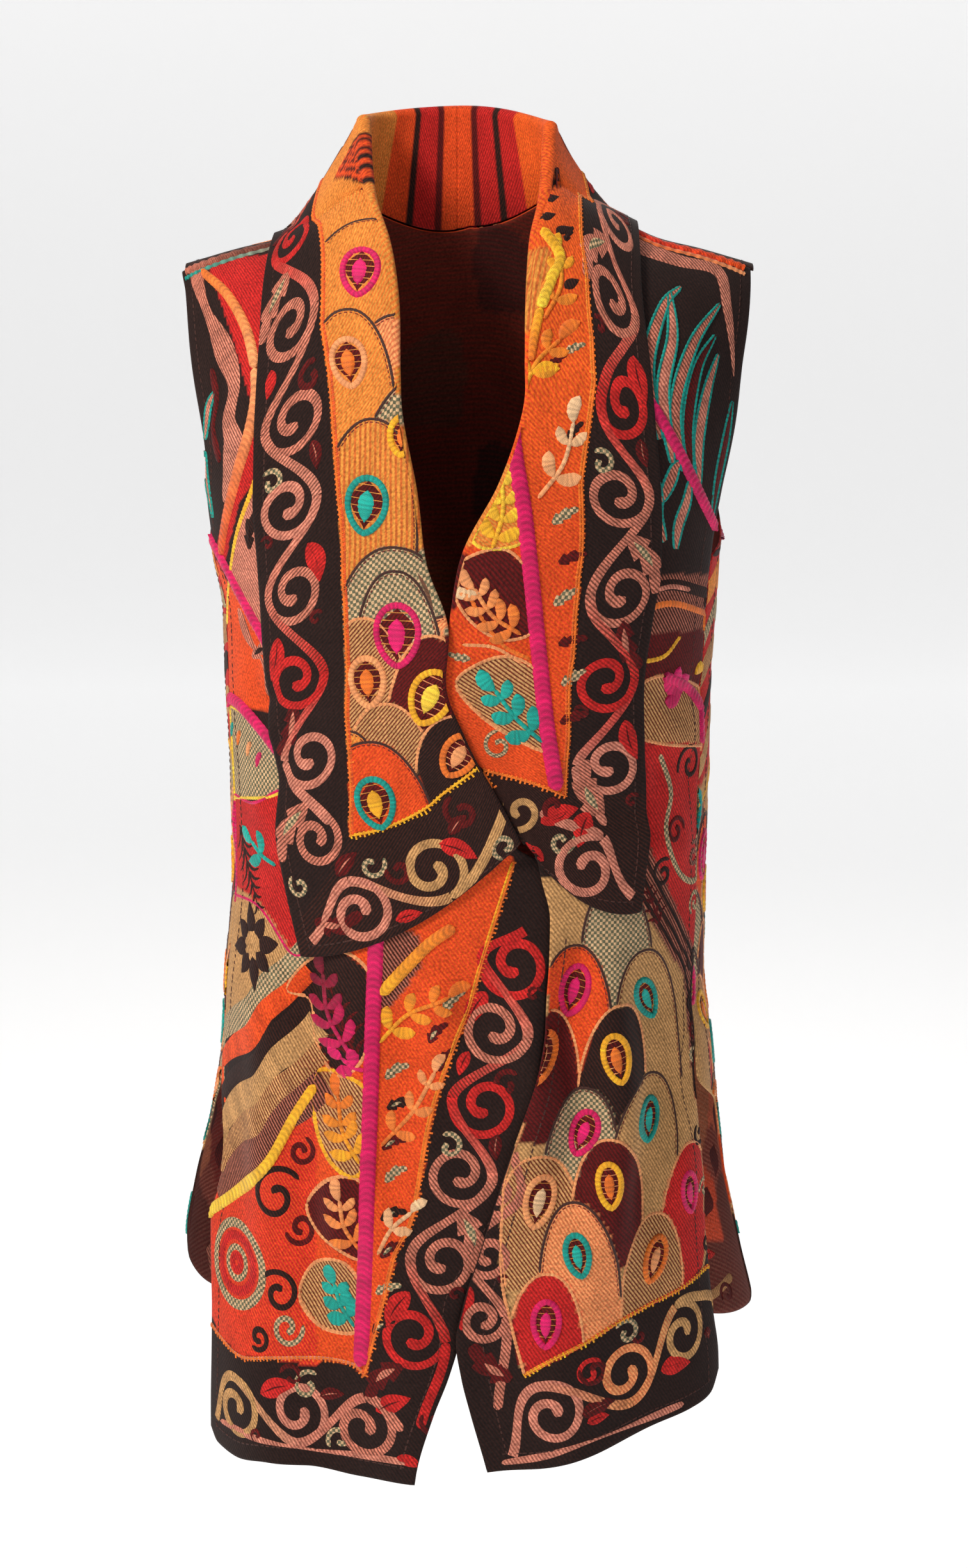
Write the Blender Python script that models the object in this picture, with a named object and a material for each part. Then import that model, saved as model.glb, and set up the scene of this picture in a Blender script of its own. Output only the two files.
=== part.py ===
"""Long open vest with a wide shawl collar, as five cut pieces of cloth in its worn form.

Metres, +Z up, +X to the wearer's left, the front towards -Y. The origin is midway between the shoulders, at the
height where the neck meets them.
"""
import bpy
import bmesh
import numpy as np

CLOTH = 0.0015          # wall of every piece
SEAM = 0.0003           # gap between two pieces at a seam
SEAM_FORWARD = 0.012    # the shoulder seam lies this far in front of the ridge of the shoulder
CHEST = -0.14           # below this height the form is upright, above it it rounds to the shoulder
FRONT_FLAT = 2.5        # how flat the front and the back of a ring are: 2 is an ellipse
SHOULDER_SHARE = 0.20   # share of a panel's rows that lie above the chest
VENT_SHARE = 0.62       # share of its rows that lie above the side vents
VENT_TOP = -0.560       # rows above this height are level and shared by the front and back panels
EDGE_GAP = 0.00045      # seam gap measured along the ring
COLLAR_REST = 0.0032    # middle of a lapel over the middle of the front under it
COLLAR_LAP = 0.0020     # the collar's sewn edge lies this far over the front's edge, middle to middle
ROLL_LAPEL = 0.0016     # radius of the fold along a lapel
ROLL_NECK = 0.0042      # radius of the fold round the neck
LIFT_RIGHT = 0.0052     # the right front is raised where it crosses the left lapel's fold
LIFT_LEFT = 0.0042      # the left front is raised where it hangs over the right one
FOLD_DEPTH = 0.0065     # soft folds at the hem
FOLD_PITCH = 0.105
NECK_X, NECK_Y = -0.008, 0.014

# Rings of the form: height, half width of the front and of the back on the wearer's right and left, and depths.
FORM = np.array([
    # z      front_r front_l back_r  back_l  front   back
    (0.080, 0.212, 0.210, 0.212, 0.210, 0.086, 0.074),
    (0.000, 0.206, 0.206, 0.206, 0.206, 0.098, 0.082),
    (-0.050, 0.200, 0.200, 0.200, 0.200, 0.108, 0.088),
    (-0.100, 0.193, 0.191, 0.193, 0.191, 0.117, 0.093),
    (-0.150, 0.183, 0.180, 0.183, 0.180, 0.124, 0.097),
    (-0.190, 0.1740, 0.1690, 0.1740, 0.1690, 0.128, 0.098),
    (-0.220, 0.1695, 0.1655, 0.1695, 0.1655, 0.129, 0.097),
    (-0.250, 0.1640, 0.1640, 0.1640, 0.1640, 0.129, 0.094),
    (-0.300, 0.1630, 0.1610, 0.1630, 0.1610, 0.127, 0.086),
    (-0.350, 0.1608, 0.1606, 0.1608, 0.1606, 0.123, 0.079),
    (-0.430, 0.1595, 0.1584, 0.1595, 0.1584, 0.122, 0.082),
    (-0.500, 0.1655, 0.1582, 0.1655, 0.1582, 0.126, 0.094),
    (-0.550, 0.1685, 0.1620, 0.1685, 0.1645, 0.129, 0.104),
    (-0.600, 0.1740, 0.1665, 0.1760, 0.1690, 0.132, 0.110),
    (-0.650, 0.1830, 0.1710, 0.1890, 0.1760, 0.134, 0.114),
    (-0.700, 0.1870, 0.1755, 0.1985, 0.1870, 0.135, 0.116),
    (-0.750, 0.1880, 0.1790, 0.2020, 0.1975, 0.136, 0.118),
    (-0.830, 0.1890, 0.1830, 0.2040, 0.2000, 0.137, 0.120)])
FORM_COLUMN = {"front_r": 1, "front_l": 2, "back_r": 3, "back_l": 4, "front": 5, "back": 6}

# Ridge of the shoulder: distance from the middle, height of the cloth.
RIDGE = np.array([(0.000, 0.034), (0.055, 0.020), (0.075, 0.0115), (0.098, 0.0005), (0.125, -0.0118),
                  (0.150, -0.0178), (0.190, -0.0292)])

# Collar, right half: where it is sewn on, where it rolls, and its free edge, from the neck's side to the fastening.
# roll_y is read only round the neck, where the collar stands off the form. The free edge is on the form.
COLLAR_RIGHT = np.array([
    # seam_x  seam_z   roll_x   roll_z   roll_y  edge_x   edge_z
    (-0.0790, 0.0105, -0.0690, 0.0680, 0.0120, -0.1255, -0.0095),
    (-0.0755, -0.0040, -0.0655, 0.0400, -0.0160, -0.1285, -0.0290),
    (-0.0705, -0.0190, -0.0590, 0.0150, -0.0420, -0.1305, -0.0480),
    (-0.0640, -0.0400, -0.0500, -0.0120, -0.0655, -0.1316, -0.0720),
    (-0.0565, -0.0670, -0.0445, -0.0500, -0.0890, -0.1325, -0.1000),
    (-0.0525, -0.0950, -0.0433, -0.0900, -0.1050, -0.1335, -0.1300),
    (-0.0496, -0.1200, -0.0416, -0.1200, -0.1150, -0.1339, -0.1580),
    (-0.0410, -0.1660, -0.0330, -0.1660, -0.1200, -0.1335, -0.2000),
    (-0.0342, -0.2077, -0.0262, -0.2077, -0.1250, -0.1310, -0.2450),
    (-0.0210, -0.2470, -0.0130, -0.2470, -0.1260, -0.1285, -0.2850),
    (-0.0222, -0.2880, -0.0142, -0.2880, -0.1260, -0.1250, -0.3280),
    (-0.0097, -0.3190, -0.0017, -0.3190, -0.1260, -0.1225, -0.3680),
    (0.0013, -0.3420, 0.0093, -0.3420, -0.1260, -0.1212, -0.4070),
    (0.0241, -0.3880, 0.0321, -0.3880, -0.1260, -0.1087, -0.4697)])
COLLAR_LEFT = np.array([
    (0.0620, 0.0160, 0.0530, 0.0640, 0.0120, 0.1075, -0.0040),
    (0.0590, 0.0010, 0.0495, 0.0370, -0.0160, 0.1080, -0.0230),
    (0.0550, -0.0160, 0.0450, 0.0120, -0.0420, 0.1082, -0.0420),
    (0.0510, -0.0380, 0.0390, -0.0110, -0.0655, 0.1100, -0.0640),
    (0.0485, -0.0650, 0.0362, -0.0500, -0.0890, 0.1125, -0.0870),
    (0.0455, -0.0900, 0.0352, -0.0850, -0.1050, 0.1145, -0.1100),
    (0.0415, -0.1144, 0.0335, -0.1144, -0.1150, 0.1160, -0.1280),
    (0.0270, -0.1600, 0.0190, -0.1600, -0.1200, 0.1192, -0.1700),
    (0.0045, -0.2030, -0.0035, -0.2030, -0.1250, 0.1205, -0.2150),
    (-0.0040, -0.2470, -0.0122, -0.2470, -0.1260, 0.1155, -0.2480),
    (-0.0095, -0.2880, -0.0175, -0.2880, -0.1260, 0.1105, -0.2880),
    (0.0025, -0.3190, -0.0055, -0.3190, -0.1260, 0.1110, -0.3300),
    (0.0150, -0.3420, 0.0070, -0.3420, -0.1260, 0.1118, -0.3800),
    (0.0425, -0.3880, 0.0345, -0.3900, -0.1260, 0.1075, -0.4390)])
COLLAR_SAG = {"right": 0.0165, "left": 0.0150}      # the lower edge of a lapel hangs below a straight line
COLLAR_BACK_ROLL = (0.060, 0.0735)                  # y, z of the roll at the middle of the back
COLLAR_BACK_EDGE = -0.040                           # height of its free edge there

# Front edges below the fastening: height, x of the right front's and of the left front's centre edge.
CENTRE_EDGE = np.array([
    # z      right    left
    (-0.388, 0.0241, 0.0425),
    (-0.396, 0.0330, 0.0430),
    (-0.404, 0.0470, 0.0446),
    (-0.414, 0.0590, 0.0466),
    (-0.440, 0.0730, 0.0520),
    (-0.480, 0.0780, 0.0498),
    (-0.512, 0.0770, 0.0489),
    (-0.536, 0.0720, 0.0444),
    (-0.572, 0.0600, 0.0345),
    (-0.618, 0.0390, 0.0201),
    (-0.665, 0.0120, 0.0060),
    (-0.697, -0.0043, -0.0040),
    (-0.721, -0.0072, -0.0084),
    (-0.745, -0.0140, -0.0050),
    (-0.771, -0.0240, 0.0012),
    (-0.812, -0.0358, 0.0120),
    (-0.830, -0.0380, 0.0160)])

# Outer edge of the fronts: armhole, side seam, side vent.
SIDE_EDGE = np.array([
    # z      right    left
    (0.000, -0.1900, 0.1850),
    (-0.028, -0.1878, 0.1832),
    (-0.044, -0.1840, 0.1824),
    (-0.081, -0.1801, 0.1790),
    (-0.120, -0.1750, 0.1733),
    (-0.152, -0.1713, 0.1670),
    (-0.190, -0.1690, 0.1590),
    (-0.215, -0.1660, 0.1565),
    (-0.250, -0.1590, 0.1540),
    (-0.300, -0.1580, 0.1528),
    (-0.350, -0.1565, 0.1512),
    (-0.430, -0.1555, 0.1487),
    (-0.500, -0.1620, 0.1450),
    (-0.535, -0.1652, 0.1440),
    (-0.570, -0.1675, 0.1462),
    (-0.606, -0.1683, 0.1518),
    (-0.636, -0.1720, 0.1562),
    (-0.670, -0.1778, 0.1592),
    (-0.700, -0.1765, 0.1618),
    (-0.727, -0.1752, 0.1640),
    (-0.757, -0.1750, 0.1675),
    (-0.830, -0.1764, 0.1690)])

# Hem of each front against the share of its width, centre edge first.
HEM_RIGHT = np.array([(0.00, -0.8185), (0.20, -0.8185), (0.42, -0.8140), (0.60, -0.8155), (0.80, -0.8215),
                      (0.93, -0.8205), (1.00, -0.8130)])
HEM_LEFT = np.array([(0.00, -0.8115), (0.15, -0.8085), (0.35, -0.8005), (0.58, -0.7930), (0.80, -0.7865),
                     (0.93, -0.7810), (1.00, -0.7680)])

# Back panel: angle of its edge round the ring, 0 at the middle of the back and 90 at the side.
BACK_EDGE = np.array([
    # z      right   left
    (0.000, 66.0, 66.0),
    (-0.030, 66.0, 66.0),
    (-0.100, 65.0, 65.0),
    (-0.150, 67.5, 67.5),
    (-0.178, 73.0, 73.5),
    (-0.196, 82.0, 83.0),
    (-0.206, 90.0, 92.0),
    (-0.214, 99.0, 104.0),
    (-0.230, 103.0, 110.0),
    (-0.250, 104.0, 110.0),
    (-0.500, 101.8, 113.3),
    (-0.535, 101.6, 108.0),
    (-0.570, 98.0, 100.0),
    (-0.610, 92.0, 93.0),
    (-0.690, 86.0, 89.0),
    (-0.830, 84.0, 88.0)])
BACK_HEM = np.array([(-1.00, -0.6850), (-0.93, -0.7180), (-0.65, -0.7600), (0.00, -0.7850), (0.65, -0.7750),
                     (0.93, -0.7490), (1.00, -0.7340)])
BACK_NECK_HALF = 0.0705      # half width of the back neckline, as a share-free distance from NECK_X
BACK_NECK_DROP = 40.0       # degrees round the shoulder from the ridge to the neckline at the middle of the back


def smooth(table, column, x):
    """Monotone cubic through two columns of a table, first column as the key, in either order."""
    keys, values = table[:, 0], table[:, column]
    if keys[0] > keys[-1]:
        keys, values = keys[::-1], values[::-1]
    step = np.diff(keys)
    slope = np.diff(values) / step
    tangent = np.zeros(len(keys))
    tangent[0], tangent[-1] = slope[0], slope[-1]
    for i in range(1, len(keys) - 1):
        if slope[i - 1] * slope[i] > 0.0:
            a, b = 2 * step[i] + step[i - 1], step[i] + 2 * step[i - 1]
            tangent[i] = (a + b) / (a / slope[i - 1] + b / slope[i])
    x = np.clip(np.asarray(x, float), keys[0], keys[-1])
    i = np.clip(np.searchsorted(keys, x, side="right") - 1, 0, len(keys) - 2)
    t = (x - keys[i]) / step[i]
    return ((2 * t ** 3 - 3 * t ** 2 + 1) * values[i] + (t ** 3 - 2 * t ** 2 + t) * step[i] * tangent[i]
            + (3 * t ** 2 - 2 * t ** 3) * values[i + 1] + (t ** 3 - t ** 2) * step[i] * tangent[i + 1])


def ramp(x, low, high):
    """0 at low, 1 at high, smooth between."""
    t = np.clip((np.asarray(x, float) - low) / (high - low), 0.0, 1.0)
    return t * t * (3 - 2 * t)


def half_width(z, x, face):
    right = smooth(FORM, FORM_COLUMN[face + "_r"], z)
    left = smooth(FORM, FORM_COLUMN[face + "_l"], z)
    blend = ramp(x, -0.03, 0.03)
    return right * (1 - blend) + left * blend


def ridge(x):
    return smooth(RIDGE, 1, np.abs(x))


def ring_depth(x, z, face):
    """Distance from the side plane to the cloth at x and z, where the form is upright."""
    share = np.clip(np.abs(x) / half_width(z, x, face), 0.0, 1.0)
    return smooth(FORM, FORM_COLUMN[face], z) * np.sqrt(np.clip(1.0 - share ** FRONT_FLAT, 0.0, 1.0))


def hem_folds(x, z):
    """Soft upright folds that open towards the hem of the fronts."""
    return FOLD_DEPTH * ramp(-z, 0.56, 0.82) * np.cos(2 * np.pi * (x + 0.138) / FOLD_PITCH + 5.0 * (z + 0.8))


def on_front(x, z):
    """Point of the front form at x and z."""
    top = ridge(x)
    q = np.clip((z - CHEST) / (top - CHEST), 0.0, 1.0)
    y = -ring_depth(x, z, "front") * np.sqrt(np.clip(1.0 - q * q, 0.0, 1.0)) - hem_folds(x, z)
    return np.stack([x, y, z], -1)


def form_gap(p):
    """Roughly how far a point is outside the form round the chest, the shoulders and the back."""
    x, y, z = p[..., 0], p[..., 1], p[..., 2]
    front = y < 0.0
    depth = np.where(front, ring_depth(x, z, "front"), ring_depth(x, z, "back"))
    q = np.clip((z - CHEST) / (ridge(x) - CHEST), 0.0, None)
    return np.sqrt(q * q + (y / np.maximum(depth, 0.02)) ** 2) - 1.0


def form_normal(p, step=0.002):
    grad = np.stack([form_gap(p + step * axis) - form_gap(p - step * axis) for axis in np.eye(3)], -1) / (2 * step)
    size = np.maximum(np.linalg.norm(grad, axis=-1, keepdims=True), 1e-6)
    return grad / size, size[..., 0]


def push_out(p, distance):
    """Move points that are nearer to the form than distance out to it."""
    for _ in range(5):
        normal, size = form_normal(p)
        short = np.maximum(distance - form_gap(p) / size, 0.0)
        p = p + normal * np.minimum(short, 0.01)[..., None]
    return p


def centre_edge(z, side):
    """x of a front's inner edge: the collar's seam above the fastening, the free edge below it."""
    collar = COLLAR_RIGHT if side == "right" else COLLAR_LEFT
    seam = np.stack([collar[:, 1], collar[:, 0]], -1)
    column = 1 if side == "right" else 2
    upper = smooth(seam, 1, np.maximum(z, -0.388))
    lower = smooth(CENTRE_EDGE, column, np.minimum(z, -0.388))
    return np.where(z > -0.388, upper, lower)


def lift_right(x, z):
    edge = centre_edge(z, "right")
    return LIFT_RIGHT * ramp(x, edge - 0.045, edge - 0.004) * ramp(-z, 0.222, 0.258) * ramp(z, -0.403, -0.388)


def lift_left(x, z):
    edge = centre_edge(z, "left")
    return LIFT_LEFT * (1 - ramp(x, edge + 0.055, edge + 0.125)) * ramp(-z, 0.386, 0.404)


def raised(p, amount):
    """Points of a front moved out of the form by amount."""
    normal, _ = form_normal(p)
    return p + normal * np.asarray(amount)[..., None]


def row_height(v, hem):
    """Height of a panel's row under the chest: level down to the vents, then bending to the hem."""
    level = CHEST + (VENT_TOP - CHEST) * (v - SHOULDER_SHARE) / (VENT_SHARE - SHOULDER_SHARE)
    below = VENT_TOP + (hem - VENT_TOP) * (v - VENT_SHARE) / (1 - VENT_SHARE)
    return np.where(v < VENT_SHARE, level, below)


def front_point(side, u, v):
    """Middle of a front panel: u from the centre edge to the side edge, v from the shoulder seam to the hem."""
    u, v = np.broadcast_arrays(np.asarray(u, float), np.asarray(v, float))
    sign = -1.0 if side == "right" else 1.0
    column = 1 if side == "right" else 2
    upper = np.clip(v / SHOULDER_SHARE, 0.0, 1.0)
    z_low = row_height(v, smooth(HEM_RIGHT if side == "right" else HEM_LEFT, 1, u))
    x = sign * (0.07 + 0.115 * u)
    z = np.where(v < SHOULDER_SHARE, 0.0, z_low)
    for _ in range(14):
        inner = centre_edge(z, side)
        outer = smooth(SIDE_EDGE, column, z)
        width_in, width_out = half_width(z, inner, "front"), half_width(z, outer, "front")
        angle = np.arcsin(np.clip(inner / width_in, -1, 1)) * (1 - u) + np.arcsin(np.clip(outer / width_out, -1, 1)) * u
        x = np.sin(angle) * half_width(z, x, "front")
        depth = np.maximum(ring_depth(x, z, "front"), 0.02)
        start = np.arcsin(np.clip(SEAM_FORWARD / depth, 0.0, 0.6))
        phi = start + (np.pi / 2 - start) * upper
        z_high = CHEST + (ridge(x) - CHEST) * np.cos(phi)
        z = np.where(v < SHOULDER_SHARE, 0.5 * z + 0.5 * z_high, z_low)
    p = on_front(x, z)
    lift = lift_right(x, z) if side == "right" else lift_left(x, z)
    return raised(p, lift)


def back_edge(z, side):
    """Angle of the back panel's edge round the ring: on the fronts' seam, free at the armhole and the vent."""
    column = 1 if side == "right" else 2
    inner = smooth(SIDE_EDGE, column, z)
    width = half_width(z, inner, "front")
    seam = np.pi - np.arcsin(np.clip(np.abs(inner) / width, 0, 1)) - EDGE_GAP / 0.11
    free = np.radians(smooth(BACK_EDGE, column, z))
    sewn = ramp(-z, 0.207, 0.216) * (1 - ramp(-z, -VENT_TOP, -VENT_TOP + 0.035))
    return free + (seam - free) * sewn


def back_neck(x):
    """Angle round the shoulder, from its ridge, of the back panel's top edge: shoulder seam and neckline."""
    reach = np.clip((BACK_NECK_HALF - np.abs(x - NECK_X)) / BACK_NECK_HALF, 0.0, 1.0)
    start = -np.arcsin(np.clip((SEAM_FORWARD - 2 * SEAM) / np.maximum(ring_depth(x, ridge(x), "front"), 0.02), 0.0, 0.6))
    return start + (np.radians(BACK_NECK_DROP) - start) * np.sqrt(1 - (1 - reach) ** 2)


def back_point(u, v):
    """Middle of the back panel: u from -1 at the wearer's right edge to 1, v from the top edge to the hem."""
    u, v = np.broadcast_arrays(np.asarray(u, float), np.asarray(v, float))
    upper = np.clip(v / SHOULDER_SHARE, 0.0, 1.0)
    z_low = row_height(v, smooth(BACK_HEM, 1, u))
    z = np.where(v < SHOULDER_SHARE, 0.0, z_low)
    x = 0.18 * u
    phi = np.zeros_like(u)
    for _ in range(14):
        edge = np.where(u < 0, back_edge(z, "right"), back_edge(z, "left"))
        angle = edge * u
        width = half_width(z, x, "back")
        x = np.sin(angle) * width
        start = back_neck(x)
        phi = start + (np.pi / 2 - start) * upper
        z_high = CHEST + (ridge(x) - CHEST) * np.cos(phi)
        z = np.where(v < SHOULDER_SHARE, 0.5 * z + 0.5 * z_high, z_low)
    around = np.abs(angle)
    depth_back = ring_depth(x, z, "back")
    flat = np.sqrt(np.clip(1.0 - np.abs(np.sin(angle)) ** FRONT_FLAT, 0.0, 1.0))
    depth_front = smooth(FORM, FORM_COLUMN["front"], z) * flat
    sine = np.where(v < SHOULDER_SHARE, np.sin(phi), 1.0)
    y = np.where(sine < 0, depth_front * sine, depth_back * sine)
    y = np.where(around > np.pi / 2, -depth_front, y)
    return np.stack([x, y, z], -1)


def collar_point(side, k, t):
    """Middle of a collar half. k runs from 0 at the centre back over 2 at the neck's side to 15 at the fastening,
    t from 0 at the seam over 5 at the end of the roll to 11 at the free edge."""
    k, t = np.broadcast_arrays(np.asarray(k, float), np.asarray(t, float))
    table = COLLAR_RIGHT if side == "right" else COLLAR_LEFT
    sign = -1.0 if side == "right" else 1.0
    rows = np.concatenate([np.arange(2, 2 + len(table))[:, None], table], axis=1)

    def at(kk, column):
        return smooth_free(rows, column, np.maximum(kk, 2.0))

    turn = np.clip(k / 2.0, 0.0, 1.0) * np.pi / 2       # 0 at the centre back, a quarter turn at the neck's side

    def neck(kk, y_back, z_back, x_side, y_side, z_side):
        a = np.clip(kk / 2.0, 0.0, 1.0) * np.pi / 2
        return np.stack([NECK_X + (x_side - NECK_X) * np.sin(a), y_side + (y_back - y_side) * np.cos(a),
                         z_back + (z_side - z_back) * (1 - np.cos(a) ** 2)], -1)

    def roll_at(kk):
        x, z, y = at(kk, 3), at(kk, 4), at(kk, 5)
        form = on_front(x, z)
        free = 1 - ramp(kk, 4.6, 6.4)
        base = np.stack([x, np.where(free > 0, free * y + (1 - free) * form[..., 1], form[..., 1]), z], -1)
        back = neck(kk, COLLAR_BACK_ROLL[0], COLLAR_BACK_ROLL[1], rows[0, 3], rows[0, 5], rows[0, 4])
        return np.where((kk < 2.0)[..., None], back, base)

    lift = (lambda x, z: lift_right(x, z)) if side == "right" else (lambda x, z: lift_left(x, z))
    roll = roll_at(k)
    ahead, behind = roll_at(np.minimum(k + 0.05, 15.0)), roll_at(np.maximum(k - 0.05, 0.0))
    tangent = ahead - behind
    tangent = tangent / np.linalg.norm(tangent, axis=-1, keepdims=True)
    away = np.stack([sign * np.sin(turn), np.cos(turn), np.zeros_like(turn)], -1)
    radial = roll - np.array([NECK_X, NECK_Y, 0.0])
    radial[..., 2] = 0.0
    radial = radial / np.linalg.norm(radial, axis=-1, keepdims=True)
    normal, _ = form_normal(roll + np.array([0.0, -0.001, 0.0]))
    mix = ramp(k, 2.0, 6.0)[..., None]
    out = np.where((k < 2.0)[..., None], away, radial * (1 - mix) + normal * mix)
    out = out - tangent * np.sum(out * tangent, -1, keepdims=True)
    out = out / np.linalg.norm(out, axis=-1, keepdims=True)
    inward = np.cross(out, tangent) * -sign
    radius = ROLL_NECK + (ROLL_LAPEL - ROLL_NECK) * ramp(k, 2.5, 7.0)
    base_lift = lift(roll[..., 0], roll[..., 2])
    centre = roll - inward * radius[..., None] + out * (base_lift + (radius + COLLAR_LAP) * ramp(k, 4.0, 6.5))[..., None]

    # sewn edge
    x, z = at(k, 1) + sign * -0.0003, at(k, 2)
    sewn = on_front(x, z)
    sewn[..., 1] = np.minimum(sewn[..., 1], -0.001)
    sewn = sewn + normal * (lift(x, z) + COLLAR_LAP * ramp(k, 3.2, 5.0))[..., None]
    seam_x = NECK_X + (rows[0, 1] - NECK_X) * np.sin(turn)
    phi = back_neck(seam_x)
    seam_z = CHEST + (ridge(seam_x) - CHEST) * np.cos(phi)
    seam_back = np.stack([seam_x, ring_depth(seam_x, seam_z, "back") * np.sin(phi), seam_z], -1)
    sewn = np.where((k < 2.0)[..., None], seam_back, sewn)
    stand_lift = 0.0023 * (1 - ramp(k, 4.0, 6.0))
    sewn = sewn + np.array([0, 0, 1.0]) * stand_lift[..., None]

    # fold, a half turn round its centre
    arc = np.radians(-90 + 180 * np.clip((t - 1.0) / 4.0, 0.0, 1.0))
    fold = centre + (inward * np.cos(arc)[..., None] + out * np.sin(arc)[..., None]) * radius[..., None]
    low = centre - out * radius[..., None]
    high = centre + out * radius[..., None]
    stand = sewn + (low - sewn) * np.clip(t, 0.0, 1.0)[..., None]

    # fall, from the roll to the free edge
    tau = np.clip((t - 5.0) / 6.0, 0.0, 1.0)
    edge_x, edge_z = at(k, 6), at(k, 7)
    sag = COLLAR_SAG[side] * ramp(k, 12.0, 15.0) * np.sin(np.pi * tau) ** 0.8
    view_x = high[..., 0] + (edge_x - high[..., 0]) * tau
    view_z = high[..., 2] + (edge_z - high[..., 2]) * tau - sag
    flat = on_front(view_x, view_z)
    flat_normal, _ = form_normal(flat)
    start = 2 * radius + COLLAR_LAP
    early = 0.014 if side == "left" else 0.0        # the lapel rises a little before the front under it does
    rest = lift(view_x, view_z - early * ramp(tau, 0.0, 0.2)) + COLLAR_REST + (start - COLLAR_REST) * (1 - ramp(tau, 0.0, 0.30))
    flat = flat + flat_normal * rest[..., None]
    edge_side = on_front(edge_x, edge_z)
    edge_back = neck(k, 0.086, COLLAR_BACK_EDGE, rows[0, 6], 0.002, rows[0, 7])
    edge = np.where((k < 2.0)[..., None], edge_back, edge_side)
    c1 = high - inward * 0.032 + out * (0.015 if side == "right" else 0.010)
    c2 = edge + (high - edge) * 0.30 - np.array([0, 0, 0.012])
    s = tau[..., None]
    free_fall = high * (1 - s) ** 3 + 3 * c1 * s * (1 - s) ** 2 + 3 * c2 * s ** 2 * (1 - s) + edge * s ** 3
    over = COLLAR_REST + 0.0012 * (1 - ramp(k, 3.0, 6.0))
    free_fall = push_out(free_fall, over)
    weight = ramp(k, 2.2, 5.5)[..., None]
    fall = free_fall * (1 - weight) + flat * weight
    near = (k < 6.0)[..., None]
    fall = np.where(near, push_out(fall, over), fall)
    p = np.where((t < 1.0)[..., None], stand, np.where((t <= 5.0)[..., None], fold, fall))
    p[..., 0] = np.where((k <= 0.0), NECK_X + sign * SEAM * 0.6, p[..., 0])
    return p


def smooth_free(table, column, x):
    """Like smooth, but with free tangents, for curves that turn back."""
    keys, values = table[:, 0], table[:, column]
    step = np.diff(keys)
    slope = np.diff(values) / step
    tangent = np.concatenate([[slope[0]], (slope[1:] * step[:-1] + slope[:-1] * step[1:]) / (step[1:] + step[:-1]),
                              [slope[-1]]])
    x = np.clip(np.asarray(x, float), keys[0], keys[-1])
    i = np.clip(np.searchsorted(keys, x, side="right") - 1, 0, len(keys) - 2)
    t = (x - keys[i]) / step[i]
    return ((2 * t ** 3 - 3 * t ** 2 + 1) * values[i] + (t ** 3 - 2 * t ** 2 + t) * step[i] * tangent[i]
            + (3 * t ** 2 - 2 * t ** 3) * values[i + 1] + (t ** 3 - t ** 2) * step[i] * tangent[i + 1])


def cloth(name, points, colour, roughness, flip):
    """A piece of cloth from its middle surface, a grid of points, thickened to a closed wall."""
    rows, cols = points.shape[:2]
    bm = bmesh.new()
    verts = [[bm.verts.new(tuple(float(c) for c in points[i, j])) for j in range(cols)] for i in range(rows)]
    for i in range(rows - 1):
        for j in range(cols - 1):
            ring = [verts[i][j], verts[i][j + 1], verts[i + 1][j + 1], verts[i + 1][j]]
            bm.faces.new(ring[::-1] if flip else ring)
    mesh = bpy.data.meshes.new(name)
    bm.to_mesh(mesh)
    bm.free()
    mesh.shade_smooth()
    obj = bpy.data.objects.new(name, mesh)
    bpy.context.scene.collection.objects.link(obj)
    wall = obj.modifiers.new("wall", "SOLIDIFY")
    wall.thickness = CLOTH
    wall.offset = 0.0
    material = bpy.data.materials.new(name + "_cloth")
    material.use_nodes = True
    shader = material.node_tree.nodes["Principled BSDF"]
    shader.inputs["Base Color"].default_value = (*colour, 1.0)
    shader.inputs["Roughness"].default_value = roughness
    shader.inputs["Metallic"].default_value = 0.0
    mesh.materials.append(material)
    return obj


def steps(*spans):
    """Concatenated even steps: (start, end, count) spans that share their ends."""
    out = [spans[0][0]]
    for start, end, count in spans:
        out.extend(start + (end - start) * (i + 1) / count for i in range(count))
    return np.array(out)


def build():
    for obj in list(bpy.data.objects):
        bpy.data.objects.remove(obj, do_unlink=True)

    level = ((0.20, 0.24, 1), (0.24, 0.26, 2), (0.26, 0.275, 3), (0.275, 0.435, 4), (0.435, 0.50, 5), (0.50, VENT_SHARE, 3))
    u = steps((0.0, 0.12, 2), (0.12, 0.88, 10), (0.88, 1.0, 2))[None, :]
    v = steps((0.0, 0.20, 7), *level, (VENT_SHARE, 1.0, 7))[:, None]
    cloth("front_right", front_point("right", u, v), (0.22, 0.07, 0.05), 0.85, False)
    cloth("front_left", front_point("left", u, v), (0.30, 0.12, 0.06), 0.85, True)

    u = steps((-1.0, -0.84, 3), (-0.84, -0.50, 3), (-0.50, 0.50, 12), (0.50, 0.84, 3), (0.84, 1.0, 3))[None, :]
    v = steps((0.0, 0.20, 6), *level, (VENT_SHARE, 1.0, 7))[:, None]
    cloth("back", back_point(u, v), (0.28, 0.12, 0.08), 0.85, True)

    k = steps((0.0, 2.0, 5), (2.0, 4.0, 5), (4.0, 7.0, 5), (7.0, 12.5, 8), (12.5, 15.0, 5))[:, None]
    t = np.arange(0.0, 11.5, 1.0)[None, :]
    cloth("collar_right", collar_point("right", k, t), (0.30, 0.16, 0.08), 0.85, False)
    cloth("collar_left", collar_point("left", k, t), (0.45, 0.10, 0.04), 0.85, True)


build()
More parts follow.
